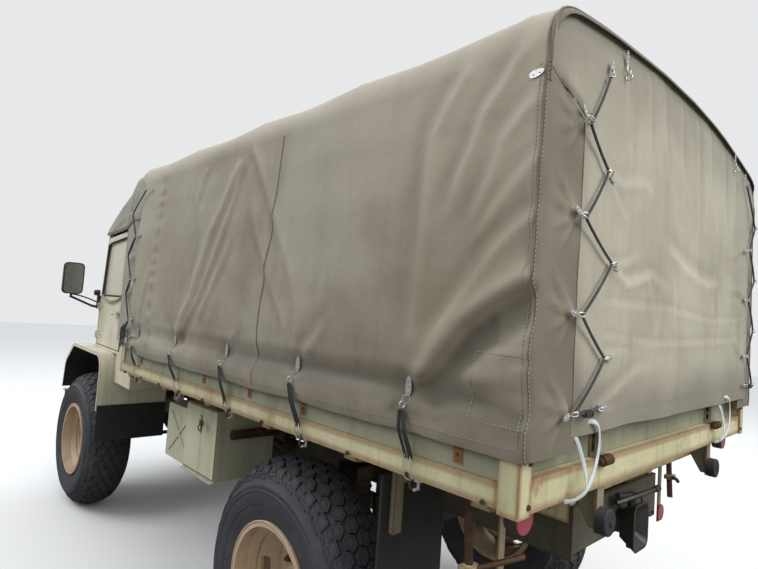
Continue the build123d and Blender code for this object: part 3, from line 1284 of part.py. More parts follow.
# Hoops that carry the canvas, with their feet on the boards' inner faces
bow_half = BOARD_OUTER_X - BOARD_THICKNESS - BOW_RADIUS - SEAT_GAP
with BuildPart() as bows:
    first_bow = BED_FRONT_Y + POST_WIDTH + BOW_RADIUS + SEAT_GAP
    bow_pitch = (BED_LENGTH - 2 * (POST_WIDTH + BOW_RADIUS + SEAT_GAP)) / (BOW_COUNT - 1)
    for bow in range(BOW_COUNT):
        y = first_bow + bow * bow_pitch
        bow_plane = Plane(origin=(0, y, 0), x_dir=(1, 0, 0), z_dir=(0, -1, 0))
        inner = CANVAS_THICKNESS + SEAT_GAP + BOW_RADIUS
        with BuildLine(bow_plane) as bow_line:
            FilletPolyline(
                (-bow_half, BOARD_BASE_Z + 160),
                (-bow_half, CANVAS_SHOULDER_Z - inner - 10),
                (0, CANVAS_CROWN_Z - inner),
                (bow_half, CANVAS_SHOULDER_Z - inner - 10),
                (bow_half, BOARD_BASE_Z + 160),
                radius=CANVAS_SHOULDER - 12,
            )
        with BuildSketch(Plane(origin=bow_line.line @ 0, z_dir=bow_line.line % 0)):
            Circle(BOW_RADIUS)
        sweep(path=bow_line.line)
keep(bows, "canvas_bows")


def canvas_outline(inset, foot_z):
    """Outline of the canvas tunnel across the truck, moved inwards by an inset."""
    foot = CANVAS_FOOT_X - inset
    eave = CANVAS_EAVE_X - inset
    shoulder = CANVAS_EAVE_X - CANVAS_SHOULDER + 10
    corner_x = shoulder + (CANVAS_SHOULDER - 10 - inset) * 0.74
    corner_z = CANVAS_EAVE_Z + (CANVAS_SHOULDER - inset) * 0.76
    with BuildLine() as outline:
        base = Line((-foot, foot_z), (foot, foot_z))
        right = Line(base @ 1, (eave, CANVAS_EAVE_Z))
        corner_r = ThreePointArc(
            right @ 1,
            (corner_x, corner_z),
            (shoulder, CANVAS_SHOULDER_Z - inset),
        )
        far_shoulder = (-shoulder, CANVAS_SHOULDER_Z - inset)
        crown = ThreePointArc(corner_r @ 1, (0, CANVAS_CROWN_Z - inset), far_shoulder)
        corner_l = ThreePointArc(
            crown @ 1,
            (-corner_x, corner_z),
            (-eave, CANVAS_EAVE_Z),
        )
        Line(corner_l @ 1, base @ 0)
    return outline.line


# Canvas cover: one closed tunnel, open below, laced down over the boards
with BuildPart() as canvas:
    for inset, cut in ((0, Mode.ADD), (CANVAS_THICKNESS, Mode.SUBTRACT)):
        plane = Plane(origin=(0, CANVAS_REAR_Y - inset, 0), x_dir=(1, 0, 0), z_dir=(0, -1, 0))
        with BuildSketch(plane) as section:
            add(make_face(canvas_outline(inset, HEM_Z - inset).edges(), mode=Mode.PRIVATE))
        extrude(section.sketch, amount=CANVAS_REAR_Y - CANVAS_FRONT_Y - 2 * inset, mode=cut)
    # The rear flap's hem hangs a little higher than the sides'
    block(
        -CANVAS_FOOT_X + 60, CANVAS_FOOT_X - 60, CANVAS_REAR_Y - CANVAS_THICKNESS - 1, CANVAS_REAR_Y + 1,
        HEM_Z - 1, REAR_HEM_Z, mode=Mode.SUBTRACT,
    )
keep(canvas, "cargo_canvas")

# Tool box and battery box under the left side of the bed, fuel tank under the right
BOX_OUTER_X = 902
BOX_DEPTH = 330
BOX_FRONT = 1958
BOX_REAR = 2308
BOX_BOTTOM_Z = 782
BOX_TOP_Z = SPACER_TOP_Z - SEAT_GAP
BOX_SHEET = 4
BOX_DOOR_SHEET = 5
with BuildPart() as tool_box:
    block(BOX_OUTER_X - BOX_DEPTH, BOX_OUTER_X, along(BOX_FRONT), along(BOX_REAR), BOX_BOTTOM_Z, BOX_TOP_Z)
    block(
        BOX_OUTER_X - BOX_DEPTH + BOX_SHEET, BOX_OUTER_X + 1, along(BOX_FRONT + BOX_SHEET),
        along(BOX_REAR - BOX_SHEET), BOX_BOTTOM_Z + BOX_SHEET, BOX_TOP_Z - BOX_SHEET, mode=Mode.SUBTRACT,
    )
    # Bottom lip that the door stands in
    y0 = along(BOX_FRONT)
    y1 = along(BOX_REAR)
    block(BOX_OUTER_X - 2, BOX_OUTER_X + 16, y0, y1, BOX_BOTTOM_Z - 8, BOX_BOTTOM_Z - 2)
    block(BOX_OUTER_X - 6, BOX_OUTER_X - 1, y0, y1, BOX_BOTTOM_Z - 8, BOX_BOTTOM_Z + 1)
    # Bracket to the frame rail
    x_rail = RAIL_OUTER_X + SEAT_GAP
    bracket_z = RAIL_MID_Z + RAIL_HEIGHT - 24
    y0 = along(BOX_FRONT + 60)
    block(x_rail, x_rail + BOX_DEPTH, y0, y0 + 50, bracket_z, BOX_BOTTOM_Z + 1)
box_door_z0 = BOX_BOTTOM_Z + 12
keep(tool_box, "tool_box")

with BuildPart() as tool_box_door:
    x0 = BOX_OUTER_X + SEAT_GAP
    block(
        x0, x0 + BOX_DOOR_SHEET, along(BOX_FRONT + 1), along(BOX_REAR - 1),
        box_door_z0, BOX_TOP_Z - RUNNING_GAP,
    )
    # Latch plate near the top edge
    with BuildSketch(Plane(origin=(x0 + BOX_DOOR_SHEET - 1, 0, 0), x_dir=(0, 1, 0), z_dir=(1, 0, 0))):
        with Locations((along((BOX_FRONT + BOX_REAR) / 2), BOX_TOP_Z - 88)):
            SlotOverall(86, 34, rotation=90)
    extrude(amount=10)
keep(tool_box_door, "tool_box_door")

BATTERY_OUTER_X = 862
BATTERY_FRONT = 1618
BATTERY_REAR = 1948
BATTERY_TOP_Z = 1066
BATTERY_BOTTOM_Z = 762
with BuildPart() as battery_box:
    block(
        BATTERY_OUTER_X - 270, BATTERY_OUTER_X, along(BATTERY_FRONT), along(BATTERY_REAR),
        BATTERY_BOTTOM_Z, BATTERY_TOP_Z,
    )
    fillet(battery_box.edges().filter_by(Axis.X), 12)
    # Pressed cross on the cover
    box_centre = (along((BATTERY_FRONT + BATTERY_REAR) / 2), (BATTERY_TOP_Z + BATTERY_BOTTOM_Z) / 2)
    for turn in (42, -42):
        with BuildSketch(Plane(origin=(BATTERY_OUTER_X - 1, 0, 0), x_dir=(0, 1, 0), z_dir=(1, 0, 0))):
            with Locations(box_centre):
                SlotOverall(330, 22, rotation=turn)
        extrude(amount=6)
    block(
        RAIL_OUTER_X + SEAT_GAP, BATTERY_OUTER_X - 269, along(BATTERY_FRONT + 60), along(BATTERY_FRONT + 120),
        RAIL_MID_Z + RAIL_HEIGHT - 30 + 10, RAIL_MID_Z + RAIL_HEIGHT + 60,
    )
keep(battery_box, "battery_box")

TANK_RADIUS = 60
TANK_OUTER_X = 860
TANK_FRONT = 1500
TANK_REAR = 2300
TANK_BOTTOM_Z = 700
TANK_TOP_Z = 1040
TANK_BRACKET = 1650
with BuildPart() as fuel_tank:
    x1 = -RAIL_OUTER_X - 90
    block(-TANK_OUTER_X, x1, along(TANK_FRONT), along(TANK_REAR), TANK_BOTTOM_Z, TANK_TOP_Z)
    fillet(fuel_tank.edges().filter_by(Axis.Y), TANK_RADIUS)
    block(
        x1 - 10, -RAIL_OUTER_X - SEAT_GAP, along(TANK_BRACKET - 25), along(TANK_BRACKET + 25),
        TANK_BOTTOM_Z + 30, TANK_BOTTOM_Z + 60,
    )
    with Locations((-700, along(TANK_FRONT + 80), TANK_TOP_Z + 10)):
        Cylinder(48, 34)
keep(fuel_tank, "fuel_tank")

# Exhaust: silencer across the frame's right side with its tail pipe
with BuildPart() as exhaust:
    rod((-250, along(1300), 590), (-250, along(1850), 590), 78)
    rod((-250, along(700), 590), (-250, along(1301), 590), 26)
    rod((-250, along(1849), 590), (-250, along(2100), 590), 26)
    rod((-250, along(2100), 590), (-600, along(2330), 640), 26)
    rod((-250, along(2090), 590), (-250, along(2112), 590), 26)
    with Locations((-250, along(2100), 590)):
        Sphere(26)
    hanger_top = RAIL_MID_Z + CROSS_RISE_MID - CROSS_TUBE_RADIUS - SEAT_GAP
    for distance in (1250, 2000):
        block(-262, -238, along(distance - 15), along(distance + 15), 612, hanger_top)
keep(exhaust, "exhaust")

# Rear towing coupling: round shaft through the rear cross member, jaw box with a flared mouth
COUPLING_Z = 930
COUPLING_TIP = 3990
with BuildPart() as coupling:
    rod((0, along(3905) + SEAT_GAP, COUPLING_Z), (0, along(3930), COUPLING_Z), 46)
    mouth = Plane(origin=(0, along(3928), COUPLING_Z), x_dir=(1, 0, 0), z_dir=(0, 1, 0))
    with BuildSketch(mouth):
        RectangleRounded(96, 110, 18)
    with BuildSketch(mouth.offset(COUPLING_TIP - 3928)):
        RectangleRounded(150, 178, 34)
    loft()
    with BuildSketch(mouth.offset(14)):
        RectangleRounded(70, 80, 12)
    with BuildSketch(mouth.offset(COUPLING_TIP - 3928 + 0.5)):
        RectangleRounded(130, 158, 26)
    loft(mode=Mode.SUBTRACT)
    rod((0, along(3952), COUPLING_Z - 90), (0, along(3952), COUPLING_Z + 118), 15)
    rod((0, along(3952), COUPLING_Z + 108), (110, along(3940), COUPLING_Z + 120), 11)
keep(coupling, "tow_coupling")

# Rubber buffers on brackets under the bed's rear beam
BUFFER_X = 558
BUFFER_Z = 1096
BUFFER_RADIUS = 40
BUFFER_DEPTH = 34
with BuildPart() as buffer_brackets:
    for side in (1, -1):
        x = side * BUFFER_X
        y1 = BED_REAR_Y - 14
        top_z = REAR_RAIL_Z - SEAT_GAP
        # Upright flange with a triangular gusset plate in front of it
        block(x - 24, x + 24, y1 - 8, y1, BUFFER_Z - 34, top_z)
        with BuildSketch(Plane(origin=(x - 4, 0, 0), x_dir=(0, 1, 0), z_dir=(1, 0, 0))):
            with BuildLine():
                Polyline(
                    (y1 - 1, top_z),
                    (y1 - 1, BUFFER_Z - 30),
                    (y1 - 30, BUFFER_Z - 30),
                    (BED_REAR_Y - BEAM_INSET + SEAT_GAP, top_z - 60),
                    (BED_REAR_Y - BEAM_INSET + SEAT_GAP, top_z),
                    close=True,
                )
            make_face()
        extrude(amount=8)
with BuildPart() as buffers:
    for side in (1, -1):
        x = side * BUFFER_X
        y0 = BED_REAR_Y - 14 + SEAT_GAP
        rod((x, y0, BUFFER_Z), (x, y0 + BUFFER_DEPTH, BUFFER_Z), BUFFER_RADIUS)
    fillet(buffers.edges().group_by(Axis.Y)[-1], 6)
keep(buffers, "rear_buffers")

# Round rear lamps under the rail's corners, and reflectors on hanging strips
REAR_LAMP_X = 930
REAR_LAMP_Z = 1162
REAR_LAMP_RADIUS = 38
STRIP_X = 700
STRIP_BACK = 3825
STRIP_FOOT_Z = 752
REFLECTOR_Z = 796
REFLECTOR_RADIUS = 38
last_beam_y = BED_REAR_Y - BEAM_INSET - CROSS_BEAM_WIDTH / 2
with BuildPart() as lamp_brackets:
    for side in (1, -1):
        x = side * STRIP_X
        y = along(STRIP_BACK)
        arm_z = beam_underside(STRIP_X - 18) - SEAT_GAP
        block(x - 18, x + 18, y - 6, y, STRIP_FOOT_Z, arm_z)
        block(x - 18, x + 18, y - 6, last_beam_y + CROSS_BEAM_WIDTH / 2, arm_z - 8, arm_z)
with BuildPart() as rear_lamps:
    for side in (1, -1):
        y = along(STRIP_BACK) + SEAT_GAP
        rod((side * STRIP_X, y, REFLECTOR_Z), (side * STRIP_X, y + 9, REFLECTOR_Z), REFLECTOR_RADIUS)
        y = last_beam_y + CROSS_BEAM_WIDTH / 2 + SEAT_GAP
        rod((side * REAR_LAMP_X, y, REAR_LAMP_Z), (side * REAR_LAMP_X, y + 44, REAR_LAMP_Z), REAR_LAMP_RADIUS)
keep(rear_lamps, "rear_lamps")

# Struts that hold the rear mud flaps, seen as rusty posts under the bed
with BuildPart() as rear_struts:
    for side in (1, -1):
        x = side * 900
        y0 = REAR_AXLE_Y + REAR_FLAP_BACK
        block(x - 20, x + 20, y0, y0 + 20, 960, BED_RAIL_Z + 2)
        block(min(x, side * 620), max(x, side * 620), y0, y0 + 20, 1120, 1150)
with BuildPart() as rear_brackets:
    add(buffer_brackets.part)
    add(lamp_brackets.part)
    add(rear_struts.part)
keep(rear_brackets, "rear_brackets")

# Hooks under the bed rail that the canvas straps end on
STRAPS = 5
STRAP_FIRST = 331
STRAP_PITCH = 537
with BuildPart() as strap_hooks:
    for side in (1, -1):
        for strap in range(STRAPS):
            y = BED_FRONT_Y + STRAP_FIRST + strap * STRAP_PITCH
            x = side * (BED_HALF_WIDTH - 12)
            block(x - 8, x + 8, y - 10, y + 10, BED_RAIL_Z - 8, BED_RAIL_Z - SEAT_GAP)
            rod((x, y, BED_RAIL_Z - 8), (x, y, BED_RAIL_Z - 30), 4)
            rod((x - side * 4, y, BED_RAIL_Z - 27), (x + side * 18, y, BED_RAIL_Z - 27), 4)
keep(strap_hooks, "strap_hooks")
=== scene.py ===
"""Looks of a light military cargo truck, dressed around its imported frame."""

import logging
import math
import random
from dataclasses import dataclass
from enum import Enum
from functools import partial
from typing import Callable, Iterable, Sequence

import bmesh
import bpy
from mathutils import Matrix, Vector, noise


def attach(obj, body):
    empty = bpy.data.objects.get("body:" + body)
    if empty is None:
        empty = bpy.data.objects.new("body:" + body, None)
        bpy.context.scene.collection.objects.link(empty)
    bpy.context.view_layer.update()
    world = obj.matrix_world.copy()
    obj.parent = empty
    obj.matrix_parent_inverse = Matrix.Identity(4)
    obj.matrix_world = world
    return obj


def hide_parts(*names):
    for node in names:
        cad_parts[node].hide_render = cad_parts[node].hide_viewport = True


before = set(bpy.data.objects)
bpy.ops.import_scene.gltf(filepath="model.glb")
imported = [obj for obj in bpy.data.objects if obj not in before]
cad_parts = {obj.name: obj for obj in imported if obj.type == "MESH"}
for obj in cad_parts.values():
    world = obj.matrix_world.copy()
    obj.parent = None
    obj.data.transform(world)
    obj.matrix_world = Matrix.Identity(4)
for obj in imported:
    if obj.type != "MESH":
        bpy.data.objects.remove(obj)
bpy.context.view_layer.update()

logging.basicConfig(level=logging.INFO, format="%(levelname)s %(message)s")
log = logging.getLogger("truck")

Point = tuple[float, float, float]
Colour = tuple[float, float, float]
BMesh = bmesh.types.BMesh
Socket = bpy.types.NodeSocket

WHEELS = ("front_left", "front_right", "rear_left", "rear_right")
# Places that several sub-assemblies share, in metres
FRONT_AXLE_Y = -1.6335
REAR_AXLE_Y = 1.2665
HUB_X = 0.795
HUB_Z = 0.515
RAIL_X = 1.056
RAIL_LOW_Z = 1.206
RAIL_HIGH_Z = 1.29


class Body(Enum):
    """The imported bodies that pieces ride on."""

    CHASSIS = "chassis"
    LEFT_DOOR = "left_door"
    RIGHT_DOOR = "right_door"
    WHEEL_FRONT_LEFT = "wheel_front_left"
    WHEEL_FRONT_RIGHT = "wheel_front_right"
    WHEEL_REAR_LEFT = "wheel_rear_left"
    WHEEL_REAR_RIGHT = "wheel_rear_right"


class Slot(Enum):
    """The record's material slots."""

    BODY = "body_paint"
    FRAME = "frame_paint"
    CANVAS = "canvas"
    WHEEL = "wheel_paint"
    TYRE = "tyre"
    RUBBER = "rubber"
    GLASS = "glass"
    CAST = "cast"
    STEEL = "steel"
    DARK = "dark_paint"
    SEAT = "seat_cloth"


# Mesh helpers


def mesh_object(
    work: BMesh,
    name: str,
    material: bpy.types.Material,
    body: str = Body.CHASSIS.value,
    replaces: Sequence[str] = (),
    sharp_deg: float = 32.0,
) -> bpy.types.Object:
    """Turn a finished bmesh into a piece of the truck.

    Args:
        work: The mesh in the truck's own frame, in metres. It is freed here.
        name: The piece's name.
        material: Its finish.
        body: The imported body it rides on.
        replaces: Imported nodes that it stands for.
        sharp_deg: Edges bent further than this stay sharp.

    Returns:
        The new object, at the origin.
    """
    mesh = bpy.data.meshes.new(name)
    work.to_mesh(mesh)
    work.free()
    mesh.shade_smooth()
    mesh.set_sharp_from_angle(angle=math.radians(sharp_deg))
    mesh.materials.append(material)
    piece = bpy.data.objects.new(name, mesh)
    bpy.context.scene.collection.objects.link(piece)
    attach(piece, body)
    if replaces:
        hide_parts(*replaces)
    log.info("piece %s: %d faces", name, len(mesh.polygons))
    return piece


def add_block(
    work: BMesh,
    low: Sequence[float],
    high: Sequence[float],
    bevel: float = 0.0,
    turn: Matrix | None = None,
) -> None:
    """Add a box between two corners, with rounded edges where bevel is given.

    Args:
        work: The bmesh that gets the box.
        low: Its lowest corner.
        high: Its highest corner.
        bevel: Width of the edge rounding.
        turn: A rotation about the box's own middle.
    """
    middle = (Vector(low) + Vector(high)) / 2
    size = Vector(high) - Vector(low)
    placed = Matrix.Translation(middle) @ (turn or Matrix()) @ Matrix.Diagonal((*size, 1.0))
    made = bmesh.ops.create_cube(work, size=1.0, matrix=placed)
    if bevel > 0:
        edges = list({edge for vert in made["verts"] for edge in vert.link_edges})
        bmesh.ops.bevel(
            work, geom=edges, offset=bevel, segments=2, affect="EDGES", profile=0.5, material=-1
        )


def add_disc(
    work: BMesh,
    centre: Sequence[float],
    axis: Sequence[float],
    radius: float,
    depth: float,
    segments: int = 24,
    top_radius: float | None = None,
    bevel: float = 0.0,
) -> None:
    """Add a closed cylinder or cone round an axis.

    Args:
        work: The bmesh that gets it.
        centre: The middle of its height.
        axis: The direction of its height.
        radius: Its radius at the foot.
        depth: Its height.
        segments: Sides.
        top_radius: Its radius at the top, where that differs.
        bevel: Rounding of the two rims.
    """
    turn = Vector(axis).normalized().to_track_quat("Z", "Y").to_matrix().to_4x4()
    made = bmesh.ops.create_cone(
        work,
        cap_ends=True,
        segments=segments,
        radius1=radius,
        radius2=radius if top_radius is None else top_radius,
        depth=depth,
        matrix=Matrix.Translation(Vector(centre)) @ turn,
    )
    if bevel > 0:
        faces = {face for vert in made["verts"] for face in vert.link_faces}
        rims = list({edge for face in faces if len(face.verts) > 4 for edge in face.edges})
        bmesh.ops.bevel(
            work, geom=rims, offset=bevel, segments=2, affect="EDGES", profile=0.5, material=-1
        )


def add_tube(
    work: BMesh,
    points: Sequence[Sequence[float]],
    radius: float,
    sides: int = 8,
    cyclic: bool = False,
    smooth: bool = True,
) -> None:
    """Add a round tube along a line of points.

    Args:
        work: The bmesh that gets the tube.
        points: The points that its line follows.
        radius: Half its thickness.
        sides: Sides of its section.
        cyclic: Whether the line closes on itself.
        smooth: Whether the line is rounded between the points.
    """
    curve = bpy.data.curves.new("line", "CURVE")
    curve.dimensions = "3D"
    spline = curve.splines.new("NURBS" if smooth else "POLY")
    spline.points.add(len(points) - 1)
    for knot, point in zip(spline.points, points):
        knot.co = (*point, 1.0)
    if smooth:
        spline.order_u = 3
        spline.use_endpoint_u = not cyclic
        spline.resolution_u = 6
    spline.use_cyclic_u = cyclic
    curve.bevel_depth = radius
    curve.bevel_resolution = max(0, sides // 4 - 1)
    curve.use_fill_caps = not cyclic
    holder = bpy.data.objects.new("line", curve)
    mesh = bpy.data.meshes.new_from_object(holder)
    work.from_mesh(mesh)
    bpy.data.objects.remove(holder)
    bpy.data.curves.remove(curve)
    bpy.data.meshes.remove(mesh)


def add_spun(work: BMesh, profile: Sequence[tuple[float, float]], steps: int = 96) -> None:
    """Spin a closed profile round the X axis.

    Args:
        work: The bmesh that gets it.
        profile: Its corners in order: place along the axis, and radius.
        steps: Steps round the axis.
    """
    made = bmesh.ops.create_circle(work, segments=len(profile), radius=1.0)
    ring = sorted(made["verts"], key=lambda vert: math.atan2(vert.co.y, vert.co.x))
    for vert, (along, radius) in zip(ring, profile):
        vert.co = (along, 0.0, radius)
    edges = list({edge for vert in ring for edge in vert.link_edges})
    bmesh.ops.spin(
        work, geom=ring + edges, cent=(0, 0, 0), axis=(1, 0, 0), angle=2 * math.pi, steps=steps, use_merge=True
    )


def thicken(work: BMesh, faces: Sequence[bmesh.types.BMFace], depth: float) -> None:
    """Give a sheet a second skin at one depth behind it, and close the rim between them.

    Args:
        work: The mesh that holds the sheet.
        faces: The sheet's faces.
        depth: Distance between the skins.
    """
    work.normal_update()
    rim = list({edge for face in faces for edge in face.edges if edge.is_boundary})
    outer = {vert for face in faces for vert in face.verts}
    made = bmesh.ops.duplicate(work, geom=list(faces))
    twins, edges = made["vert_map"], made["edge_map"]
    for vert in outer:
        twins[vert].co = vert.co - vert.normal * depth
    bmesh.ops.reverse_faces(work, faces=[part for part in made["geom"] if isinstance(part, bmesh.types.BMFace)])
    bmesh.ops.bridge_loops(work, edges=rim + [edges[edge] for edge in rim])


def smoothstep(low: float, high: float, value: float) -> float:
    """Rise smoothly from 0 at low to 1 at high."""
    share = min(1.0, max(0.0, (value - low) / (high - low)))
    return share * share * (3 - 2 * share)


def levels(low: float, high: float, count: int) -> list[float]:
    """Evenly spaced values from low to high, in count steps."""
    return [low + (high - low) * step / count for step in range(count + 1)]


# Shader helpers


@dataclass
class Graph:
    """Short ways to place and join shader nodes in one node tree."""

    tree: bpy.types.NodeTree

    def node(self, kind: str, **settings: object) -> bpy.types.Node:
        """Add a node and set its properties."""
        made = self.tree.nodes.new(kind)
        for name, value in settings.items():
            setattr(made, name, value)
        return made

    def join(self, source: object, target: Socket) -> None:
        """Link a socket, or set a plain value."""
        if isinstance(source, Socket):
            self.tree.links.new(source, target)
        else:
            target.default_value = source

    def maths(self, operation: str, first: object, second: object = 0.0) -> Socket:
        """A Math node's result."""
        made = self.node("ShaderNodeMath", operation=operation)
        self.join(first, made.inputs[0])
        self.join(second, made.inputs[1])
        return made.outputs[0]

    def times(self, first: object, second: object) -> Socket:
        """The product of two values."""
        return self.maths("MULTIPLY", first, second)

    def plus(self, first: object, second: object) -> Socket:
        """The sum of two values."""
        return self.maths("ADD", first, second)

    def mix(self, share: object, first: object, second: object, blend: str = "MIX") -> Socket:
        """A colour mix's result."""
        made = self.node("ShaderNodeMix", data_type="RGBA", blend_type=blend)
        self.join(share, made.inputs["Factor"])
        self.join(first, made.inputs[6])
        self.join(second, made.inputs[7])
        return made.outputs[2]

    def noise(
        self, place: object, scale: float, detail: float = 4.0, rough: float = 0.5, warp: float = 0.0
    ) -> Socket:
        """A noise texture's value at a place."""
        made = self.node("ShaderNodeTexNoise")
        self.join(place, made.inputs["Vector"])
        made.inputs["Scale"].default_value = scale
        made.inputs["Detail"].default_value = detail
        made.inputs["Roughness"].default_value = rough
        made.inputs["Distortion"].default_value = warp
        return made.outputs["Fac"]

    def scaled(self, place: object, scale: Point) -> Socket:
        """A place stretched along the axes."""
        made = self.node("ShaderNodeMapping")
        self.join(place, made.inputs["Vector"])
        made.inputs["Scale"].default_value = scale
        return made.outputs["Vector"]

    def span(self, value: object, low: float, high: float, to_low: float = 0.0, to_high: float = 1.0) -> object:
        """Map a range to another, smoothly and clamped."""
        made = self.node("ShaderNodeMapRange", interpolation_type="SMOOTHSTEP")
        self.join(value, made.inputs["Value"])
        for name, number in (("From Min", low), ("From Max", high), ("To Min", to_low), ("To Max", to_high)):
            made.inputs[name].default_value = number
        return made.outputs["Result"]

    def bump(self, height: object, strength: float, distance: float, base: object = None) -> object:
        """A bumped normal from a height."""
        made = self.node("ShaderNodeBump")
        made.inputs["Strength"].default_value = strength
        made.inputs["Distance"].default_value = distance
        self.join(height, made.inputs["Height"])
        if base is not None:
            self.join(base, made.inputs["Normal"])
        return made.outputs["Normal"]

    def place(self) -> Socket:
        """Object coordinates."""
        return self.node("ShaderNodeTexCoord").outputs["Object"]


class SharedEffects:
    """Node groups that more than one finish uses."""

    @staticmethod
    def _group(name: str, inputs: Iterable[tuple], outputs: Iterable[tuple]) -> bpy.types.NodeTree:
        """A new group with named sockets.

        Args:
            name: Its name.
            inputs: Rows of name, socket type and default value.
            outputs: Rows of name and socket type.

        Returns:
            The group, with its input and output nodes placed.
        """
        tree = bpy.data.node_groups.new(name, "ShaderNodeTree")
        for title, kind, value in inputs:
            socket = tree.interface.new_socket(name=title, in_out="INPUT", socket_type=kind)
            if value is not None:
                socket.default_value = value
        for title, kind in outputs:
            tree.interface.new_socket(name=title, in_out="OUTPUT", socket_type=kind)
        tree.nodes.new("NodeGroupInput")
        tree.nodes.new("NodeGroupOutput")
        return tree

    @classmethod
    def edge_wear(cls) -> bpy.types.NodeTree:
        """A mask of worn edges: where a rounded normal leaves the true one, broken up by noise."""
        if "edge wear" in bpy.data.node_groups:
            return bpy.data.node_groups["edge wear"]
        tree = cls._group(
            "edge wear",
            (
                ("Place", "NodeSocketVector", None),
                ("Width", "NodeSocketFloat", 0.004),
                ("Amount", "NodeSocketFloat", 0.5),
            ),
            (("Mask", "NodeSocketFloat"),),
        )
        graph = Graph(tree)
        source, target = tree.nodes["Group Input"], tree.nodes["Group Output"]
        soft = graph.node("ShaderNodeBevel", samples=4)
        graph.join(source.outputs["Width"], soft.inputs["Radius"])
        true = graph.node("ShaderNodeNewGeometry")
        dot = graph.node("ShaderNodeVectorMath", operation="DOT_PRODUCT")
        graph.join(soft.outputs["Normal"], dot.inputs[0])
        graph.join(true.outputs["Normal"], dot.inputs[1])
        bend = graph.span(dot.outputs["Value"], 0.995, 0.86)
        chips = graph.noise(source.outputs["Place"], 38.0, 6.0, 0.65)
        patches = graph.noise(source.outputs["Place"], 3.1, 3.0, 0.5)
        worn = graph.plus(graph.times(chips, 0.65), graph.times(patches, 0.6))
        level = graph.maths("SUBTRACT", 1.06, source.outputs["Amount"])
        near = graph.maths("SUBTRACT", graph.plus(worn, graph.times(bend, 0.55)), level)
        graph.join(graph.times(graph.span(near, 0.0, 0.14), bend), target.inputs["Mask"])
        return tree

    @classmethod
    def grime(cls) -> bpy.types.NodeTree:
        """Masks for dust that lies on top, streaks that run down, and blotches."""
        if "grime" in bpy.data.node_groups:
            return bpy.data.node_groups["grime"]
        tree = cls._group(
            "grime",
            (("Place", "NodeSocketVector", None),),
            (("Dust", "NodeSocketFloat"), ("Streaks", "NodeSocketFloat"), ("Blotches", "NodeSocketFloat")),
        )
        graph = Graph(tree)
        source, target = tree.nodes["Group Input"], tree.nodes["Group Output"]
        place = source.outputs["Place"]
        facing = graph.node("ShaderNodeSeparateXYZ")
        graph.join(graph.node("ShaderNodeNewGeometry").outputs["Normal"], facing.inputs[0])
        upward = graph.span(facing.outputs["Z"], 0.2, 0.95)
        patch = graph.noise(place, 5.0, 5.0, 0.6)
        graph.join(graph.times(upward, graph.span(patch, 0.3, 0.65)), target.inputs["Dust"])
        streaks = graph.noise(graph.scaled(place, (26.0, 26.0, 1.3)), 1.0, 4.0, 0.55)
        graph.join(graph.span(streaks, 0.48, 0.74), target.inputs["Streaks"])
        graph.join(graph.span(graph.noise(place, 2.2, 6.0, 0.62, 0.4), 0.42, 0.68), target.inputs["Blotches"])
        return tree

    @classmethod
    def weave(cls) -> bpy.types.NodeTree:
        """The height of a plain weave, from three crossed sets of threads."""
        if "weave" in bpy.data.node_groups:
            return bpy.data.node_groups["weave"]
        tree = cls._group(
            "weave",
            (("Place", "NodeSocketVector", None), ("Threads", "NodeSocketFloat", 900.0)),
            (("Height", "NodeSocketFloat"),),
        )
        graph = Graph(tree)
        source, target = tree.nodes["Group Input"], tree.nodes["Group Output"]
        parts = graph.node("ShaderNodeSeparateXYZ")
        graph.join(source.outputs["Place"], parts.inputs[0])
        waves = []
        for axis in ("X", "Y", "Z"):
            angle = graph.times(parts.outputs[axis], source.outputs["Threads"])
            waves.append(graph.maths("SINE", angle))
        pair = graph.times(graph.plus(waves[0], waves[1]), waves[2])
        flat = graph.times(waves[0], waves[1])
        graph.join(graph.plus(pair, flat), target.inputs["Height"])
        return tree

    @staticmethod
    def use(graph: Graph, tree: bpy.types.NodeTree, **inputs: object) -> bpy.types.Node:
        """Place a group in a material with its own values."""
        made = graph.node("ShaderNodeGroup", node_tree=tree)
        for name, value in inputs.items():
            graph.join(value, made.inputs[name])
        return made


def new_material(name: str) -> tuple[bpy.types.Material, Graph, bpy.types.Node]:
    """A fresh material with its principled shader.

    Args:
        name: The material's name.

    Returns:
        The material, a graph on its tree, and the shader.
    """
    material = bpy.data.materials.new(name)
    material.use_nodes = True
    graph = Graph(material.node_tree)
    return material, graph, material.node_tree.nodes["Principled BSDF"]


def opaque(colour: Colour, share: float = 1.0) -> tuple[float, float, float, float]:
    """A colour with full alpha, made darker or lighter by a share of itself."""
    return (*(min(1.0, share * part) for part in colour), 1.0)


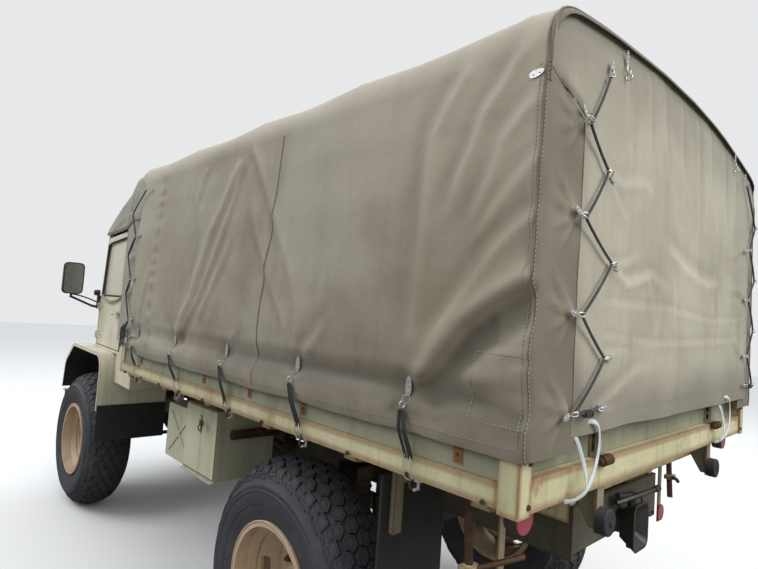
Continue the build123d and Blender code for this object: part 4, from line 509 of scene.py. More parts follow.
@dataclass(frozen=True)
class PaintFinish:
    """Old field paint: faded colour, rust at worn edges, dust on top and runs down the sides."""

    name: str
    colour: Colour
    faded: Colour
    rust: Colour = (0.16, 0.062, 0.026)
    wear: float = 0.5
    wear_width: float = 0.005
    dust: float = 0.35
    roughness: float = 0.55
    rust_patches: float = 0.0
    dust_colour: Colour = (0.34, 0.29, 0.21)

    def build(self) -> bpy.types.Material:
        """The material."""
        material, graph, shader = new_material(self.name)
        place = graph.place()
        grime = SharedEffects.use(graph, SharedEffects.grime(), Place=place)
        edges = SharedEffects.use(
            graph, SharedEffects.edge_wear(), Place=place, Width=self.wear_width, Amount=self.wear
        )
        base = graph.mix(grime.outputs["Blotches"], opaque(self.colour), opaque(self.faded))
        streaky = graph.times(grime.outputs["Streaks"], 0.45)
        base = graph.mix(streaky, base, opaque(self.colour, 0.55))
        speckle = graph.span(graph.noise(place, 160.0, 3.0, 0.6), 0.62, 0.72)
        base = graph.mix(graph.times(speckle, 0.35), base, opaque(self.rust))
        dusty = graph.times(grime.outputs["Dust"], self.dust)
        base = graph.mix(dusty, base, opaque(self.dust_colour))
        rust_tone = graph.mix(
            graph.noise(place, 60.0, 5.0, 0.7), opaque(self.rust, 0.45), opaque(self.rust)
        )
        patchy = graph.span(graph.noise(place, 6.5, 8.0, 0.7), 0.75 - 0.3 * self.rust_patches, 0.8)
        mask = edges.outputs["Mask"]
        if self.rust_patches > 0:
            mask = graph.maths("MAXIMUM", mask, graph.times(patchy, 0.9))
        graph.join(graph.mix(mask, base, rust_tone), shader.inputs["Base Color"])
        rough = graph.plus(self.roughness, graph.times(mask, 0.3))
        rough = graph.plus(rough, graph.times(dusty, 0.25))
        graph.join(rough, shader.inputs["Roughness"])
        orange_peel = graph.noise(place, 240.0, 2.0, 0.5)
        pits = graph.times(graph.times(mask, -1.0), graph.noise(place, 300.0, 4.0, 0.7))
        height = graph.plus(graph.times(orange_peel, 0.12), pits)
        graph.join(graph.bump(height, 0.5, 0.0012), shader.inputs["Normal"])
        shader.inputs["Specular IOR Level"].default_value = 0.4
        return material


@dataclass(frozen=True)
class CanvasFinish:
    """Proofed cotton canvas with mottled fading and a fine weave, with painted light and shade on its folds where
    painted_shading is set.
    """

    name: str
    colour: Colour
    pale: Colour
    dark: Colour
    threads: float = 1500.0
    roughness: float = 0.6
    painted_shading: bool = False

    def build(self) -> bpy.types.Material:
        """The material."""
        material, graph, shader = new_material(self.name)
        place = graph.place()
        grime = SharedEffects.use(graph, SharedEffects.grime(), Place=place)
        mottle = graph.noise(place, 1.7, 7.0, 0.62, 0.3)
        base = graph.mix(graph.span(mottle, 0.36, 0.66), opaque(self.colour), opaque(self.pale))
        soft = graph.noise(graph.scaled(place, (3.0, 3.0, 0.8)), 1.6, 5.0, 0.6)
        base = graph.mix(graph.times(graph.span(soft, 0.5, 0.8), 0.55), base, opaque(self.dark))
        runs = graph.times(grime.outputs["Streaks"], 0.12)
        base = graph.mix(runs, base, opaque(self.dark))
        fleck = graph.noise(place, 420.0, 3.0, 0.7)
        base = graph.mix(graph.times(graph.span(fleck, 0.45, 0.75), 0.16), base, opaque(self.pale))
        if self.painted_shading:
            layer = graph.node("ShaderNodeAttribute", attribute_name="painted_shading")
            # painted highlight where the painted_shading layer is high, on fold ridges and lit parts; painted shade
            # where it is low, in fold hollows and shaded parts
            painted_highlight = graph.times(graph.span(layer.outputs["Fac"], 0.55, 1.0), 0.55)
            hollow = graph.times(graph.span(layer.outputs["Fac"], 0.45, 0.0), 0.88)
            base = graph.mix(painted_highlight, base, opaque(self.pale, 1.32))
            base = graph.mix(hollow, base, opaque(self.dark))
        dust = graph.times(grime.outputs["Dust"], 0.35)
        base = graph.mix(dust, base, opaque(self.pale, 1.22))
        graph.join(base, shader.inputs["Base Color"])
        threads = SharedEffects.use(graph, SharedEffects.weave(), Place=place, Threads=self.threads)
        small = graph.noise(place, 34.0, 6.0, 0.6)
        soft_normal = graph.bump(small, 0.35, 0.004)
        graph.join(
            graph.bump(threads.outputs["Height"], 0.25, 0.0004, soft_normal), shader.inputs["Normal"]
        )
        graph.join(graph.plus(self.roughness - 0.06, graph.times(small, 0.12)), shader.inputs["Roughness"])
        shader.inputs["Sheen Weight"].default_value = 0.12
        shader.inputs["Sheen Roughness"].default_value = 0.5
        shader.inputs["Specular IOR Level"].default_value = 0.25
        return material


@dataclass(frozen=True)
class RubberFinish:
    """Weathered rubber with dust in its hollows."""

    name: str
    colour: Colour
    dust_colour: Colour
    dust: float = 0.5
    roughness: float = 0.72

    def build(self) -> bpy.types.Material:
        """The material."""
        material, graph, shader = new_material(self.name)
        place = graph.place()
        grime = SharedEffects.use(graph, SharedEffects.grime(), Place=place)
        patch = graph.span(graph.noise(place, 9.0, 7.0, 0.65), 0.4, 0.75)
        fine = graph.span(graph.noise(place, 95.0, 4.0, 0.6), 0.35, 0.8)
        share = graph.times(graph.plus(graph.times(patch, 0.6), graph.times(fine, 0.4)), self.dust)
        base = graph.mix(share, opaque(self.colour), opaque(self.dust_colour))
        base = graph.mix(graph.times(grime.outputs["Dust"], 0.45), base, opaque(self.dust_colour))
        graph.join(base, shader.inputs["Base Color"])
        graph.join(graph.plus(self.roughness, graph.times(share, 0.2)), shader.inputs["Roughness"])
        grain = graph.noise(place, 520.0, 4.0, 0.6)
        scuffs = graph.noise(graph.scaled(place, (1.0, 1.0, 3.0)), 42.0, 5.0, 0.6)
        height = graph.plus(graph.times(grain, 0.4), scuffs)
        graph.join(graph.bump(height, 0.35, 0.0012), shader.inputs["Normal"])
        shader.inputs["Specular IOR Level"].default_value = 0.3
        return material


@dataclass(frozen=True)
class MetalFinish:
    """Bare, cast or galvanised metal with grain and rust in its hollows."""

    name: str
    colour: Colour
    rust: Colour = (0.17, 0.07, 0.03)
    metallic: float = 0.85
    roughness: float = 0.42
    rust_share: float = 0.25
    grain: float = 0.5

    def build(self) -> bpy.types.Material:
        """The material."""
        material, graph, shader = new_material(self.name)
        place = graph.place()
        patch = graph.span(graph.noise(place, 14.0, 8.0, 0.7), 0.66 - 0.3 * self.rust_share, 0.78)
        share = graph.times(patch, min(1.0, 2 * self.rust_share))
        tone = graph.mix(graph.noise(place, 45.0, 5.0, 0.6), opaque(self.colour, 0.62), opaque(self.colour))
        graph.join(graph.mix(share, tone, opaque(self.rust)), shader.inputs["Base Color"])
        graph.join(graph.span(share, 0.0, 0.7, self.metallic, 0.0), shader.inputs["Metallic"])
        rough = graph.plus(graph.times(graph.noise(place, 80.0, 4.0), 0.22), self.roughness - 0.1)
        graph.join(graph.plus(rough, graph.times(share, 0.35)), shader.inputs["Roughness"])
        graph.join(graph.bump(graph.noise(place, 190.0, 5.0, 0.65), self.grain, 0.0012), shader.inputs["Normal"])
        return material


@dataclass(frozen=True)
class ClothFinish:
    """Webbing, braided cord and seat cloth."""

    name: str
    colour: Colour
    darkened: Colour
    threads: float = 2600.0
    roughness: float = 0.85

    def build(self) -> bpy.types.Material:
        """The material."""
        material, graph, shader = new_material(self.name)
        place = graph.place()
        dirt = graph.span(graph.noise(place, 17.0, 6.0, 0.65), 0.42, 0.75)
        base = graph.mix(graph.times(dirt, 0.75), opaque(self.colour), opaque(self.darkened))
        graph.join(base, shader.inputs["Base Color"])
        threads = SharedEffects.use(graph, SharedEffects.weave(), Place=place, Threads=self.threads)
        graph.join(graph.bump(threads.outputs["Height"], 0.5, 0.0005), shader.inputs["Normal"])
        graph.join(graph.plus(self.roughness - 0.05, graph.times(dirt, 0.1)), shader.inputs["Roughness"])
        shader.inputs["Sheen Weight"].default_value = 0.1
        return material


@dataclass(frozen=True)
class GlassFinish:
    """Window or lamp glass with a trace of dust."""

    name: str
    colour: Colour
    roughness: float = 0.03
    clear: float = 1.0
    dust_colour: Colour = (0.6, 0.58, 0.52)

    def build(self) -> bpy.types.Material:
        """The material."""
        material, graph, shader = new_material(self.name)
        place = graph.place()
        film = graph.span(graph.noise(place, 5.0, 6.0, 0.6), 0.45, 0.8)
        base = graph.mix(graph.times(film, 0.3), opaque(self.colour), opaque(self.dust_colour))
        graph.join(base, shader.inputs["Base Color"])
        graph.join(graph.plus(self.roughness, graph.times(film, 0.14)), shader.inputs["Roughness"])
        shader.inputs["Metallic"].default_value = 0.0
        shader.inputs["Transmission Weight"].default_value = self.clear
        shader.inputs["IOR"].default_value = 1.45
        return material


@dataclass(frozen=True)
class PlasticFinish:
    """Moulded plastic or lens, with a grained skin."""

    name: str
    colour: Colour
    roughness: float = 0.4
    coat: float = 0.0

    def build(self) -> bpy.types.Material:
        """The material."""
        material, graph, shader = new_material(self.name)
        place = graph.place()
        patch = graph.noise(place, 22.0, 5.0, 0.6)
        worn = opaque(tuple(min(1.0, 0.7 * part + 0.06) for part in self.colour))
        base = graph.mix(graph.times(patch, 0.35), opaque(self.colour), worn)
        graph.join(base, shader.inputs["Base Color"])
        graph.join(graph.plus(self.roughness, graph.times(patch, 0.15)), shader.inputs["Roughness"])
        graph.join(graph.bump(graph.noise(place, 380.0, 3.0), 0.2, 0.0006), shader.inputs["Normal"])
        shader.inputs["Coat Weight"].default_value = self.coat
        return material


@dataclass(frozen=True)
class PlankFinish:
    """Worn floor planks that run along the bed."""

    name: str
    colour: Colour
    dark: Colour
    board: float = 0.14

    def build(self) -> bpy.types.Material:
        """The material."""
        material, graph, shader = new_material(self.name)
        place = graph.place()
        grain = graph.noise(graph.scaled(place, (60.0, 2.0, 60.0)), 1.0, 8.0, 0.6, 0.4)
        base = graph.mix(graph.span(grain, 0.3, 0.7), opaque(self.dark), opaque(self.colour))
        parts = graph.node("ShaderNodeSeparateXYZ")
        graph.join(place, parts.inputs[0])
        offset = graph.maths("FRACT", graph.maths("DIVIDE", parts.outputs["X"], self.board))
        gap = graph.span(graph.maths("ABSOLUTE", graph.maths("SUBTRACT", offset, 0.5)), 0.47, 0.49)
        graph.join(graph.mix(gap, base, (0.02, 0.016, 0.01, 1.0)), shader.inputs["Base Color"])
        height = graph.maths("SUBTRACT", graph.times(grain, 0.4), graph.times(gap, 2.0))
        graph.join(graph.bump(height, 0.6, 0.003), shader.inputs["Normal"])
        graph.join(graph.plus(0.7, graph.times(grain, 0.2)), shader.inputs["Roughness"])
        return material


# Finishes


@dataclass
class Finishes:
    """Every finish of the truck, built once."""

    def __post_init__(self) -> None:
        """Build the materials."""
        rust = (0.15, 0.06, 0.028)
        self.body = PaintFinish(
            "body paint", (0.6, 0.565, 0.425), (0.7, 0.665, 0.525), rust, wear=0.5, wear_width=0.006, dust=0.4
        ).build()
        self.bed = PaintFinish(
            "bed paint", (0.475, 0.455, 0.27), (0.6, 0.565, 0.365), (0.27, 0.095, 0.03), wear=1.02, wear_width=0.026,
            dust=0.3, rust_patches=0.78,
        ).build()
        self.boards = PaintFinish(
            "board paint", (0.235, 0.238, 0.165), (0.3, 0.3, 0.215), rust, wear=0.4, wear_width=0.006, dust=0.3
        ).build()
        self.boxes = PaintFinish(
            "locker paint", (0.49, 0.485, 0.345), (0.56, 0.555, 0.41), rust, wear=0.12, wear_width=0.003, dust=0.3
        ).build()
        self.wheel = PaintFinish(
            "wheel paint", (0.47, 0.345, 0.225), (0.56, 0.43, 0.3), rust, wear=0.32, wear_width=0.004, dust=0.45,
            dust_colour=(0.32, 0.24, 0.17),
        ).build()
        self.lip = PaintFinish(
            "wheel lip", (0.56, 0.44, 0.32), (0.66, 0.54, 0.41), rust, wear=0.45, wear_width=0.004, dust=0.3
        ).build()
        self.chassis = PaintFinish(
            "chassis paint", (0.055, 0.052, 0.036), (0.085, 0.078, 0.052), (0.1, 0.045, 0.024), wear=0.55,
            wear_width=0.012, dust=0.5, roughness=0.75, rust_patches=0.5, dust_colour=(0.16, 0.13, 0.095),
        ).build()
        self.bracket = PaintFinish(
            "bracket paint", (0.2, 0.185, 0.122), (0.29, 0.265, 0.18), (0.2, 0.08, 0.032), wear=0.8, wear_width=0.012,
            dust=0.4, roughness=0.7, rust_patches=0.62,
        ).build()
        self.black = PaintFinish(
            "black paint", (0.014, 0.014, 0.015), (0.022, 0.022, 0.022), rust, wear=0.25, wear_width=0.003,
            dust=0.25, roughness=0.42,
        ).build()
        self.canvas = CanvasFinish(
            "cargo canvas", (0.232, 0.198, 0.144), (0.33, 0.296, 0.234), (0.108, 0.092, 0.066), painted_shading=True
        ).build()
        self.flap = CanvasFinish(
            "rear flap canvas", (0.295, 0.272, 0.211), (0.385, 0.36, 0.286), (0.165, 0.148, 0.113), painted_shading=True
        ).build()
        self.soft_top = CanvasFinish(
            "soft top canvas", (0.27, 0.256, 0.194), (0.36, 0.344, 0.274), (0.125, 0.122, 0.092), painted_shading=True
        ).build()
        self.tyre = RubberFinish("tyre rubber", (0.04, 0.041, 0.05), (0.135, 0.128, 0.126), dust=0.42).build()
        self.reflector = MetalFinish(
            "lamp reflector", (0.78, 0.78, 0.76), metallic=1.0, rust_share=0.0, roughness=0.2, grain=0.1
        ).build()
        self.rubber = RubberFinish("black rubber", (0.022, 0.023, 0.025), (0.078, 0.073, 0.07), dust=0.3).build()
        self.glass = GlassFinish("window glass", (0.86, 0.92, 0.9)).build()
        self.door_glass = GlassFinish("door glass", (0.8, 0.75, 0.6), 0.16, 0.18).build()
        self.lens = GlassFinish("lamp glass", (0.9, 0.92, 0.92), 0.08).build()
        self.cast = MetalFinish("cast steel", (0.085, 0.082, 0.08), rust_share=0.3, roughness=0.55).build()
        self.steel = MetalFinish(
            "galvanised steel", (0.58, 0.58, 0.57), metallic=0.6, rust_share=0.12, roughness=0.36
        ).build()
        self.rusty = MetalFinish("rusty steel", (0.12, 0.075, 0.05), rust_share=0.75, roughness=0.7).build()
        self.plank = PlankFinish("floor planks", (0.2, 0.14, 0.085), (0.1, 0.066, 0.04)).build()
        self.seat = ClothFinish("seat cloth", (0.05, 0.048, 0.042), (0.09, 0.08, 0.065)).build()
        self.webbing = ClothFinish("webbing", (0.6, 0.65, 0.68), (0.38, 0.39, 0.38)).build()
        self.cord = ClothFinish("elastic cord", (0.03, 0.032, 0.036), (0.1, 0.1, 0.1), 5200.0).build()
        self.plastic = PlasticFinish("black plastic", (0.014, 0.014, 0.015), 0.38).build()
        self.red_lens = PlasticFinish("red lens", (0.27, 0.012, 0.035), 0.22, 0.6).build()
        self.amber_lens = PlasticFinish("amber lens", (0.6, 0.19, 0.02), 0.22, 0.6).build()
        self.mirror = MetalFinish(
            "mirror glass", (0.3, 0.32, 0.31), rust_share=0.0, roughness=0.22, grain=0.0
        ).build()
        self.thread = ClothFinish("seam thread", (0.33, 0.3, 0.24), (0.24, 0.215, 0.165), 4000.0).build()


# The studio


@dataclass
class Studio:
    """Pale floor, soft light and the photograph's camera."""

    floor_size: float = 60.0
    pale: Colour = (0.74, 0.74, 0.73)
    bounce: Colour = (0.2, 0.19, 0.17)
    sky: Colour = (0.8, 0.83, 0.87)
    sky_low: float = 0.34
    sky_high: float = 1.34
    camera_at: Point = (2.195, 3.1248, 1.658)
    yaw: float = 0.758879
    pitch: float = 0.0603347
    roll: float = 0.0709741
    lens: float = 25.135
    sensor: float = 36.0
    far_clip: float = 500.0
    lamp_size: float = 6.0
    lamps: Sequence[tuple[str, Point, Point, float, Colour]] = (
        # name, place, the point it faces, power, colour
        ("key", (0.5, 9.0, 7.0), (0.0, 1.5, 1.4), 730.0, (1.0, 0.985, 0.96)),
        ("fill", (7.0, -4.5, 8.5), (0.4, 0.0, 1.3), 560.0, (0.97, 0.98, 1.0)),
        ("rim", (-8.0, -5.0, 6.5), (0.0, 0.0, 1.4), 300.0, (0.97, 0.99, 1.0)),
    )

    def build(self) -> None:
        """Place the floor, the lamps and the camera."""
        self._floor()
        self._sky()
        for lamp in self.lamps:
            self._lamp(*lamp)
        self._camera()

    def _floor(self) -> None:
        """A flat floor that shows pale but throws little light back under the truck."""
        work = bmesh.new()
        bmesh.ops.create_grid(work, x_segments=1, y_segments=1, size=self.floor_size / 2)
        mesh = bpy.data.meshes.new("studio_floor")
        work.to_mesh(mesh)
        work.free()
        material, graph, shader = new_material("studio floor")
        seen = graph.node("ShaderNodeLightPath").outputs["Is Camera Ray"]
        grain = graph.noise(graph.place(), 2.0, 5.0, 0.6)
        pale = graph.mix(graph.times(grain, 0.15), opaque(self.pale), (0.62, 0.62, 0.61, 1.0))
        graph.join(graph.mix(seen, opaque(self.bounce), pale), shader.inputs["Base Color"])
        shader.inputs["Roughness"].default_value = 0.9
        shader.inputs["Specular IOR Level"].default_value = 0.1
        mesh.materials.append(material)
        floor = bpy.data.objects.new("studio_floor", mesh)
        bpy.context.scene.collection.objects.link(floor)

    def _sky(self) -> None:
        """A sky that is brighter overhead, and plain and pale where the camera sees it."""
        world = bpy.data.worlds.new("studio sky")
        world.use_nodes = True
        bpy.context.scene.world = world
        graph = Graph(world.node_tree)
        back = world.node_tree.nodes["Background"]
        parts = graph.node("ShaderNodeSeparateXYZ")
        graph.join(graph.node("ShaderNodeTexCoord").outputs["Generated"], parts.inputs[0])
        height = graph.span(parts.outputs["Z"], -0.1, 0.8, self.sky_low, self.sky_high)
        seen = graph.node("ShaderNodeLightPath").outputs["Is Camera Ray"]
        graph.join(graph.mix(seen, opaque(self.sky), (0.8, 0.81, 0.82, 1.0)), back.inputs["Color"])
        plain = graph.plus(graph.times(height, graph.maths("SUBTRACT", 1.0, seen)), seen)
        graph.join(plain, back.inputs["Strength"])

    def _lamp(self, name: str, at: Point, aim: Point, power: float, colour: Colour) -> None:
        """Place a large square lamp that faces a point."""
        data = bpy.data.lights.new(name, "AREA")
        data.size = self.lamp_size
        data.energy = power
        data.color = colour
        lamp = bpy.data.objects.new(name, data)
        direction = Vector(aim) - Vector(at)
        lamp.matrix_world = Matrix.Translation(Vector(at)) @ direction.to_track_quat("-Z", "Y").to_matrix().to_4x4()
        bpy.context.scene.collection.objects.link(lamp)

    def _camera(self) -> None:
        """Place the camera where the photograph was taken from."""
        ahead = Vector(
            (
                -math.sin(self.yaw) * math.cos(self.pitch),
                -math.cos(self.yaw) * math.cos(self.pitch),
                math.sin(self.pitch),
            )
        )
        level = Vector((-math.cos(self.yaw), math.sin(self.yaw), 0.0))
        upright = level.cross(ahead)
        turn, lean = math.cos(self.roll), math.sin(self.roll)
        right = turn * level + lean * upright
        up = -lean * level + turn * upright
        data = bpy.data.cameras.new("camera")
        data.lens = self.lens
        data.sensor_width = self.sensor
        data.sensor_fit = "HORIZONTAL"
        data.clip_end = self.far_clip
        camera = bpy.data.objects.new("camera", data)
        frame_of = Matrix((right, up, -ahead)).transposed().to_4x4()
        camera.matrix_world = Matrix.Translation(Vector(self.camera_at)) @ frame_of
        bpy.context.scene.collection.objects.link(camera)
        bpy.context.scene.camera = camera
        bpy.context.scene.view_settings.view_transform = "Standard"


# The truck


@dataclass
class CarriedParts:
    """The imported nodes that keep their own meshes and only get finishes."""

    finishes: Finishes
    front_y: float = FRONT_AXLE_Y
    hub_z: float = HUB_Z
    arch_reach: float = 0.3
    arch_facing: float = 0.35
    lamp_facing: float = -0.15

    def dress(self) -> None:
        """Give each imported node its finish."""
        looks = self.finishes
        table = (
            # finish, the nodes that have it
            (looks.body, ("cab_tub", "door_left", "door_right", "bonnet", "bonnet_sides", "grille_panel",
                          "fender_left", "fender_right", "windscreen_frame", "front_bumper", "dashboard")),
            (looks.bed, ("bed_frame",)),
            (looks.boards, ("side_boards", "tailgate")),
            (looks.boxes, ("tool_box", "tool_box_door", "battery_box")),
            (looks.wheel, [f"rim_{wheel}" for wheel in WHEELS]),
            (looks.chassis, ("frame", "front_axle", "rear_axle", "knuckle_left", "knuckle_right", "tie_rod",
                             "engine_and_gearbox", "coil_springs", "dampers", "fuel_tank")),
            (looks.bracket, ("rear_brackets",)),
            (looks.black, ("headlamps", "mirrors", "steering_column", "seat_frames", "canvas_bows")),
            (looks.canvas, ("cargo_canvas",)),
            (looks.soft_top, ("cab_soft_top",)),
            (looks.tyre, [f"tyre_{wheel}" for wheel in WHEELS]),
            (looks.rubber, ("mud_flaps", "rear_buffers")),
            (looks.glass, ("windscreen_glass",)),
            (looks.door_glass, ("door_glass_left", "door_glass_right")),
            (looks.lens, ("headlamp_glass",)),
            (looks.cast, ("tow_coupling",)),
            (looks.steel, ("strap_hooks",)),
            (looks.rusty, ("exhaust",)),
            (looks.plank, ("bed_floor",)),
            (looks.seat, ("seat_pads",)),
            (looks.red_lens, ("rear_lamps",)),
            (looks.amber_lens, ("side_lights",)),
            (looks.plastic, ("steering_wheel",)),
        )
        for material, names in table:
            for name in names:
                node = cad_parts[name]
                node.data.materials.clear()
                node.data.materials.append(material)
        for side in ("left", "right"):
            self._line_arch(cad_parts[f"fender_{side}"].data)
        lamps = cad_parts["headlamps"].data
        lamps.materials.append(self.finishes.reflector)
        for polygon in lamps.polygons:
            polygon.material_index = int(polygon.normal.y < self.lamp_facing)

    def _line_arch(self, mesh: bpy.types.Mesh) -> None:
        """Coat the faces of a fender that look at its wheel with black underseal."""
        mesh.materials.append(self.finishes.rubber)
        for polygon in mesh.polygons:
            inward = Vector((0.0, self.front_y - polygon.center.y, self.hub_z - polygon.center.z))
            if inward.length > self.arch_reach and polygon.normal.dot(inward.normalized()) > self.arch_facing:
                polygon.material_index = 1


@dataclass
class Fold:
    """A soft ridge in cloth along a line, with a hollow on the line's right-hand side.

    Attributes:
        line: Its points on the cloth, in metres.
        rise: Height of the ridge.
        width: Half its width.
        sink: Depth of the hollow.
        ease_in: Length over which it grows from its start.
        ease_out: Length over which it dies away to its end.
    """

    line: Sequence[tuple[float, float]]
    rise: float
    width: float
    sink: float = 0.0
    ease_in: float = 0.03
    ease_out: float = 0.12

    def __post_init__(self) -> None:
        """Split the line into segments and note its box."""
        self._parts = []
        self._length = 0.0
        for start, end in zip(self.line, self.line[1:]):
            run = math.hypot(end[0] - start[0], end[1] - start[1])
            self._parts.append((*start, (end[0] - start[0]) / run, (end[1] - start[1]) / run, run, self._length))
            self._length += run
        reach = 4.2 * self.width
        across = [point[0] for point in self.line]
        upward = [point[1] for point in self.line]
        self._box = (min(across) - reach, max(across) + reach, min(upward) - reach, max(upward) + reach)

    def height(self, across: float, up: float) -> float:
        """The fold's height at a place on the cloth."""
        low, high, under, over = self._box
        if across < low or across > high or up < under or up > over:
            return 0.0
        nearest, reached, hand = 1e9, 0.0, 1.0
        for from_a, from_u, step_a, step_u, run, before in self._parts:
            away_a, away_u = across - from_a, up - from_u
            along = min(run, max(0.0, away_a * step_a + away_u * step_u))
            gap = (away_a - step_a * along) ** 2 + (away_u - step_u * along) ** 2
            if gap < nearest:
                nearest, reached = gap, before + along
                hand = step_a * away_u - step_u * away_a
        far = math.copysign(math.sqrt(nearest), hand)
        fade = smoothstep(0.0, self.ease_in, reached + 0.3 * self.ease_in)
        fade *= smoothstep(0.0, self.ease_out, self._length - reached)
        blunt = 0.22 * self.width
        ridge = self.rise * math.exp((blunt - math.hypot(far, blunt)) / (0.72 * self.width))
        hollow = self.sink * math.exp(-(((far + 1.5 * self.width) / (1.1 * self.width)) ** 2))
        return fade * (ridge - hollow)


@dataclass
class ClothMaker:
    """Sheets of cloth from flat grids that are mapped into place."""

    thickness: float = 0.003
    middle: Vector = Vector((0.0, 0.6, 1.5))

    def build(
        self,
        name: str,
        columns: int,
        rows: int,
        place: Callable[[int, int], tuple[Vector, float]],
        material: bpy.types.Material,
        replaces: Sequence[str] = (),
    ) -> bpy.types.Object:
        """Map a grid's corners and give the sheet its thickness.

        Args:
            name: The sheet's name.
            columns: Grid squares across.
            rows: Grid squares along.
            place: Gives each corner's position and its fold shade, 0.5 being flat cloth.
            material: Its finish.
            replaces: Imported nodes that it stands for.

        Returns:
            The sheet.
        """
        work = bmesh.new()
        bmesh.ops.create_grid(work, x_segments=columns, y_segments=rows, size=1.0)
        # each corner's fold shade is kept as a layer of painted shading for the canvas finish
        layer = work.verts.layers.float.new("painted_shading")
        for vert in work.verts:
            column = round((vert.co.x + 1) / 2 * columns)
            row = round((vert.co.y + 1) / 2 * rows)
            vert.co, vert[layer] = place(column, row)
        work.normal_update()
        outward = sum(face.normal.dot(face.calc_center_median() - self.middle) for face in work.faces)
        if outward < 0:
            bmesh.ops.reverse_faces(work, faces=work.faces[:])
        thicken(work, work.faces[:], self.thickness)
        bmesh.ops.recalc_face_normals(work, faces=work.faces[:])
        return mesh_object(work, name, material, replaces=replaces, sharp_deg=60.0)


@dataclass
class CargoSection:
    """The canvas tunnel's section across the truck, hem to hem over the roof.

    Attributes:
        side: Rows of height and half width up one side.
        corner: Rows of half width and height round the eave.
        crown_z: Height in the middle of the roof.
    """

    side: Sequence[tuple[float, float]] = (
        # height, half width
        (1.337, 1.064), (1.35, 1.07), (1.375, 1.074), (1.4, 1.074), (1.43, 1.068), (1.458, 1.061),
        (1.485, 1.062), (1.53, 1.07), (1.6, 1.074), (1.743, 1.073), (2.000, 1.066), (2.2, 1.058),
        (2.368, 1.051),
    )
    corner: Sequence[tuple[float, float]] = (
        # half width, height
        (1.051, 2.372), (1.047, 2.4), (1.037, 2.432), (1.021, 2.461), (0.999, 2.481), (0.968, 2.496), (0.934, 2.506),
    )
    crown_z: float = 2.581
    side_columns: int = 74
    far_columns: int = 42
    roof_columns: int = 54

    def __post_init__(self) -> None:
        """Lay out the columns from the left hem over the roof to the right hem."""
        self.columns: list[tuple[float, float]] = []
        left = [self.side_point(step / self.side_columns) for step in range(self.side_columns)]
        self.columns += left
        self.columns += list(self.corner)
        first_x, first_z = self.corner[-1]
        for step in range(1, self.roof_columns):
            x = first_x * (1 - 2 * step / self.roof_columns)
            share = (x / first_x) ** 2
            self.columns.append((x, self.crown_z + (first_z - self.crown_z) * share))
        self.columns += [(-x, z) for x, z in reversed(self.corner)]
        right = [self.side_point(1 - step / self.far_columns) for step in range(1, self.far_columns + 1)]
        self.columns += [(-x, z) for x, z in right]
        self.normals = []
        for index in range(len(self.columns)):
            before = self.columns[max(0, index - 1)]
            after = self.columns[min(len(self.columns) - 1, index + 1)]
            run = Vector((after[0] - before[0], after[1] - before[1])).normalized()
            self.normals.append((run[1], -run[0]))

    def side_point(self, share: float) -> tuple[float, float]:
        """Half width and height at a share of the way from the hem to the eave."""
        low, high = self.side[0][0], self.side[-1][0]
        height = low + (high - low) * share
        for (z0, x0), (z1, x1) in zip(self.side, self.side[1:]):
            if height <= z1:
                part = (height - z0) / (z1 - z0)
                part = part * part * (3 - 2 * part)
                return x0 + (x1 - x0) * part, height
        return self.side[-1][1], high

    def width_at(self, z: float) -> float:
        """Half width of the tunnel at a height."""
        low, high = self.side[0][0], self.side[-1][0]
        return self.side_point(min(1.0, max(0.0, (z - low) / (high - low))))[0]

    def roof_z(self, x: float) -> float:
        """Height of the roof's line at a distance from the middle."""
        away = abs(x)
        first_x, first_z = self.corner[-1]
        if away <= first_x:
            return self.crown_z + (first_z - self.crown_z) * (away / first_x) ** 2
        for (x1, z1), (x0, z0) in zip(self.corner, self.corner[1:]):
            if x0 <= away <= x1:
                return z0 + (z1 - z0) * (away - x0) / (x1 - x0)
        return self.corner[0][1]


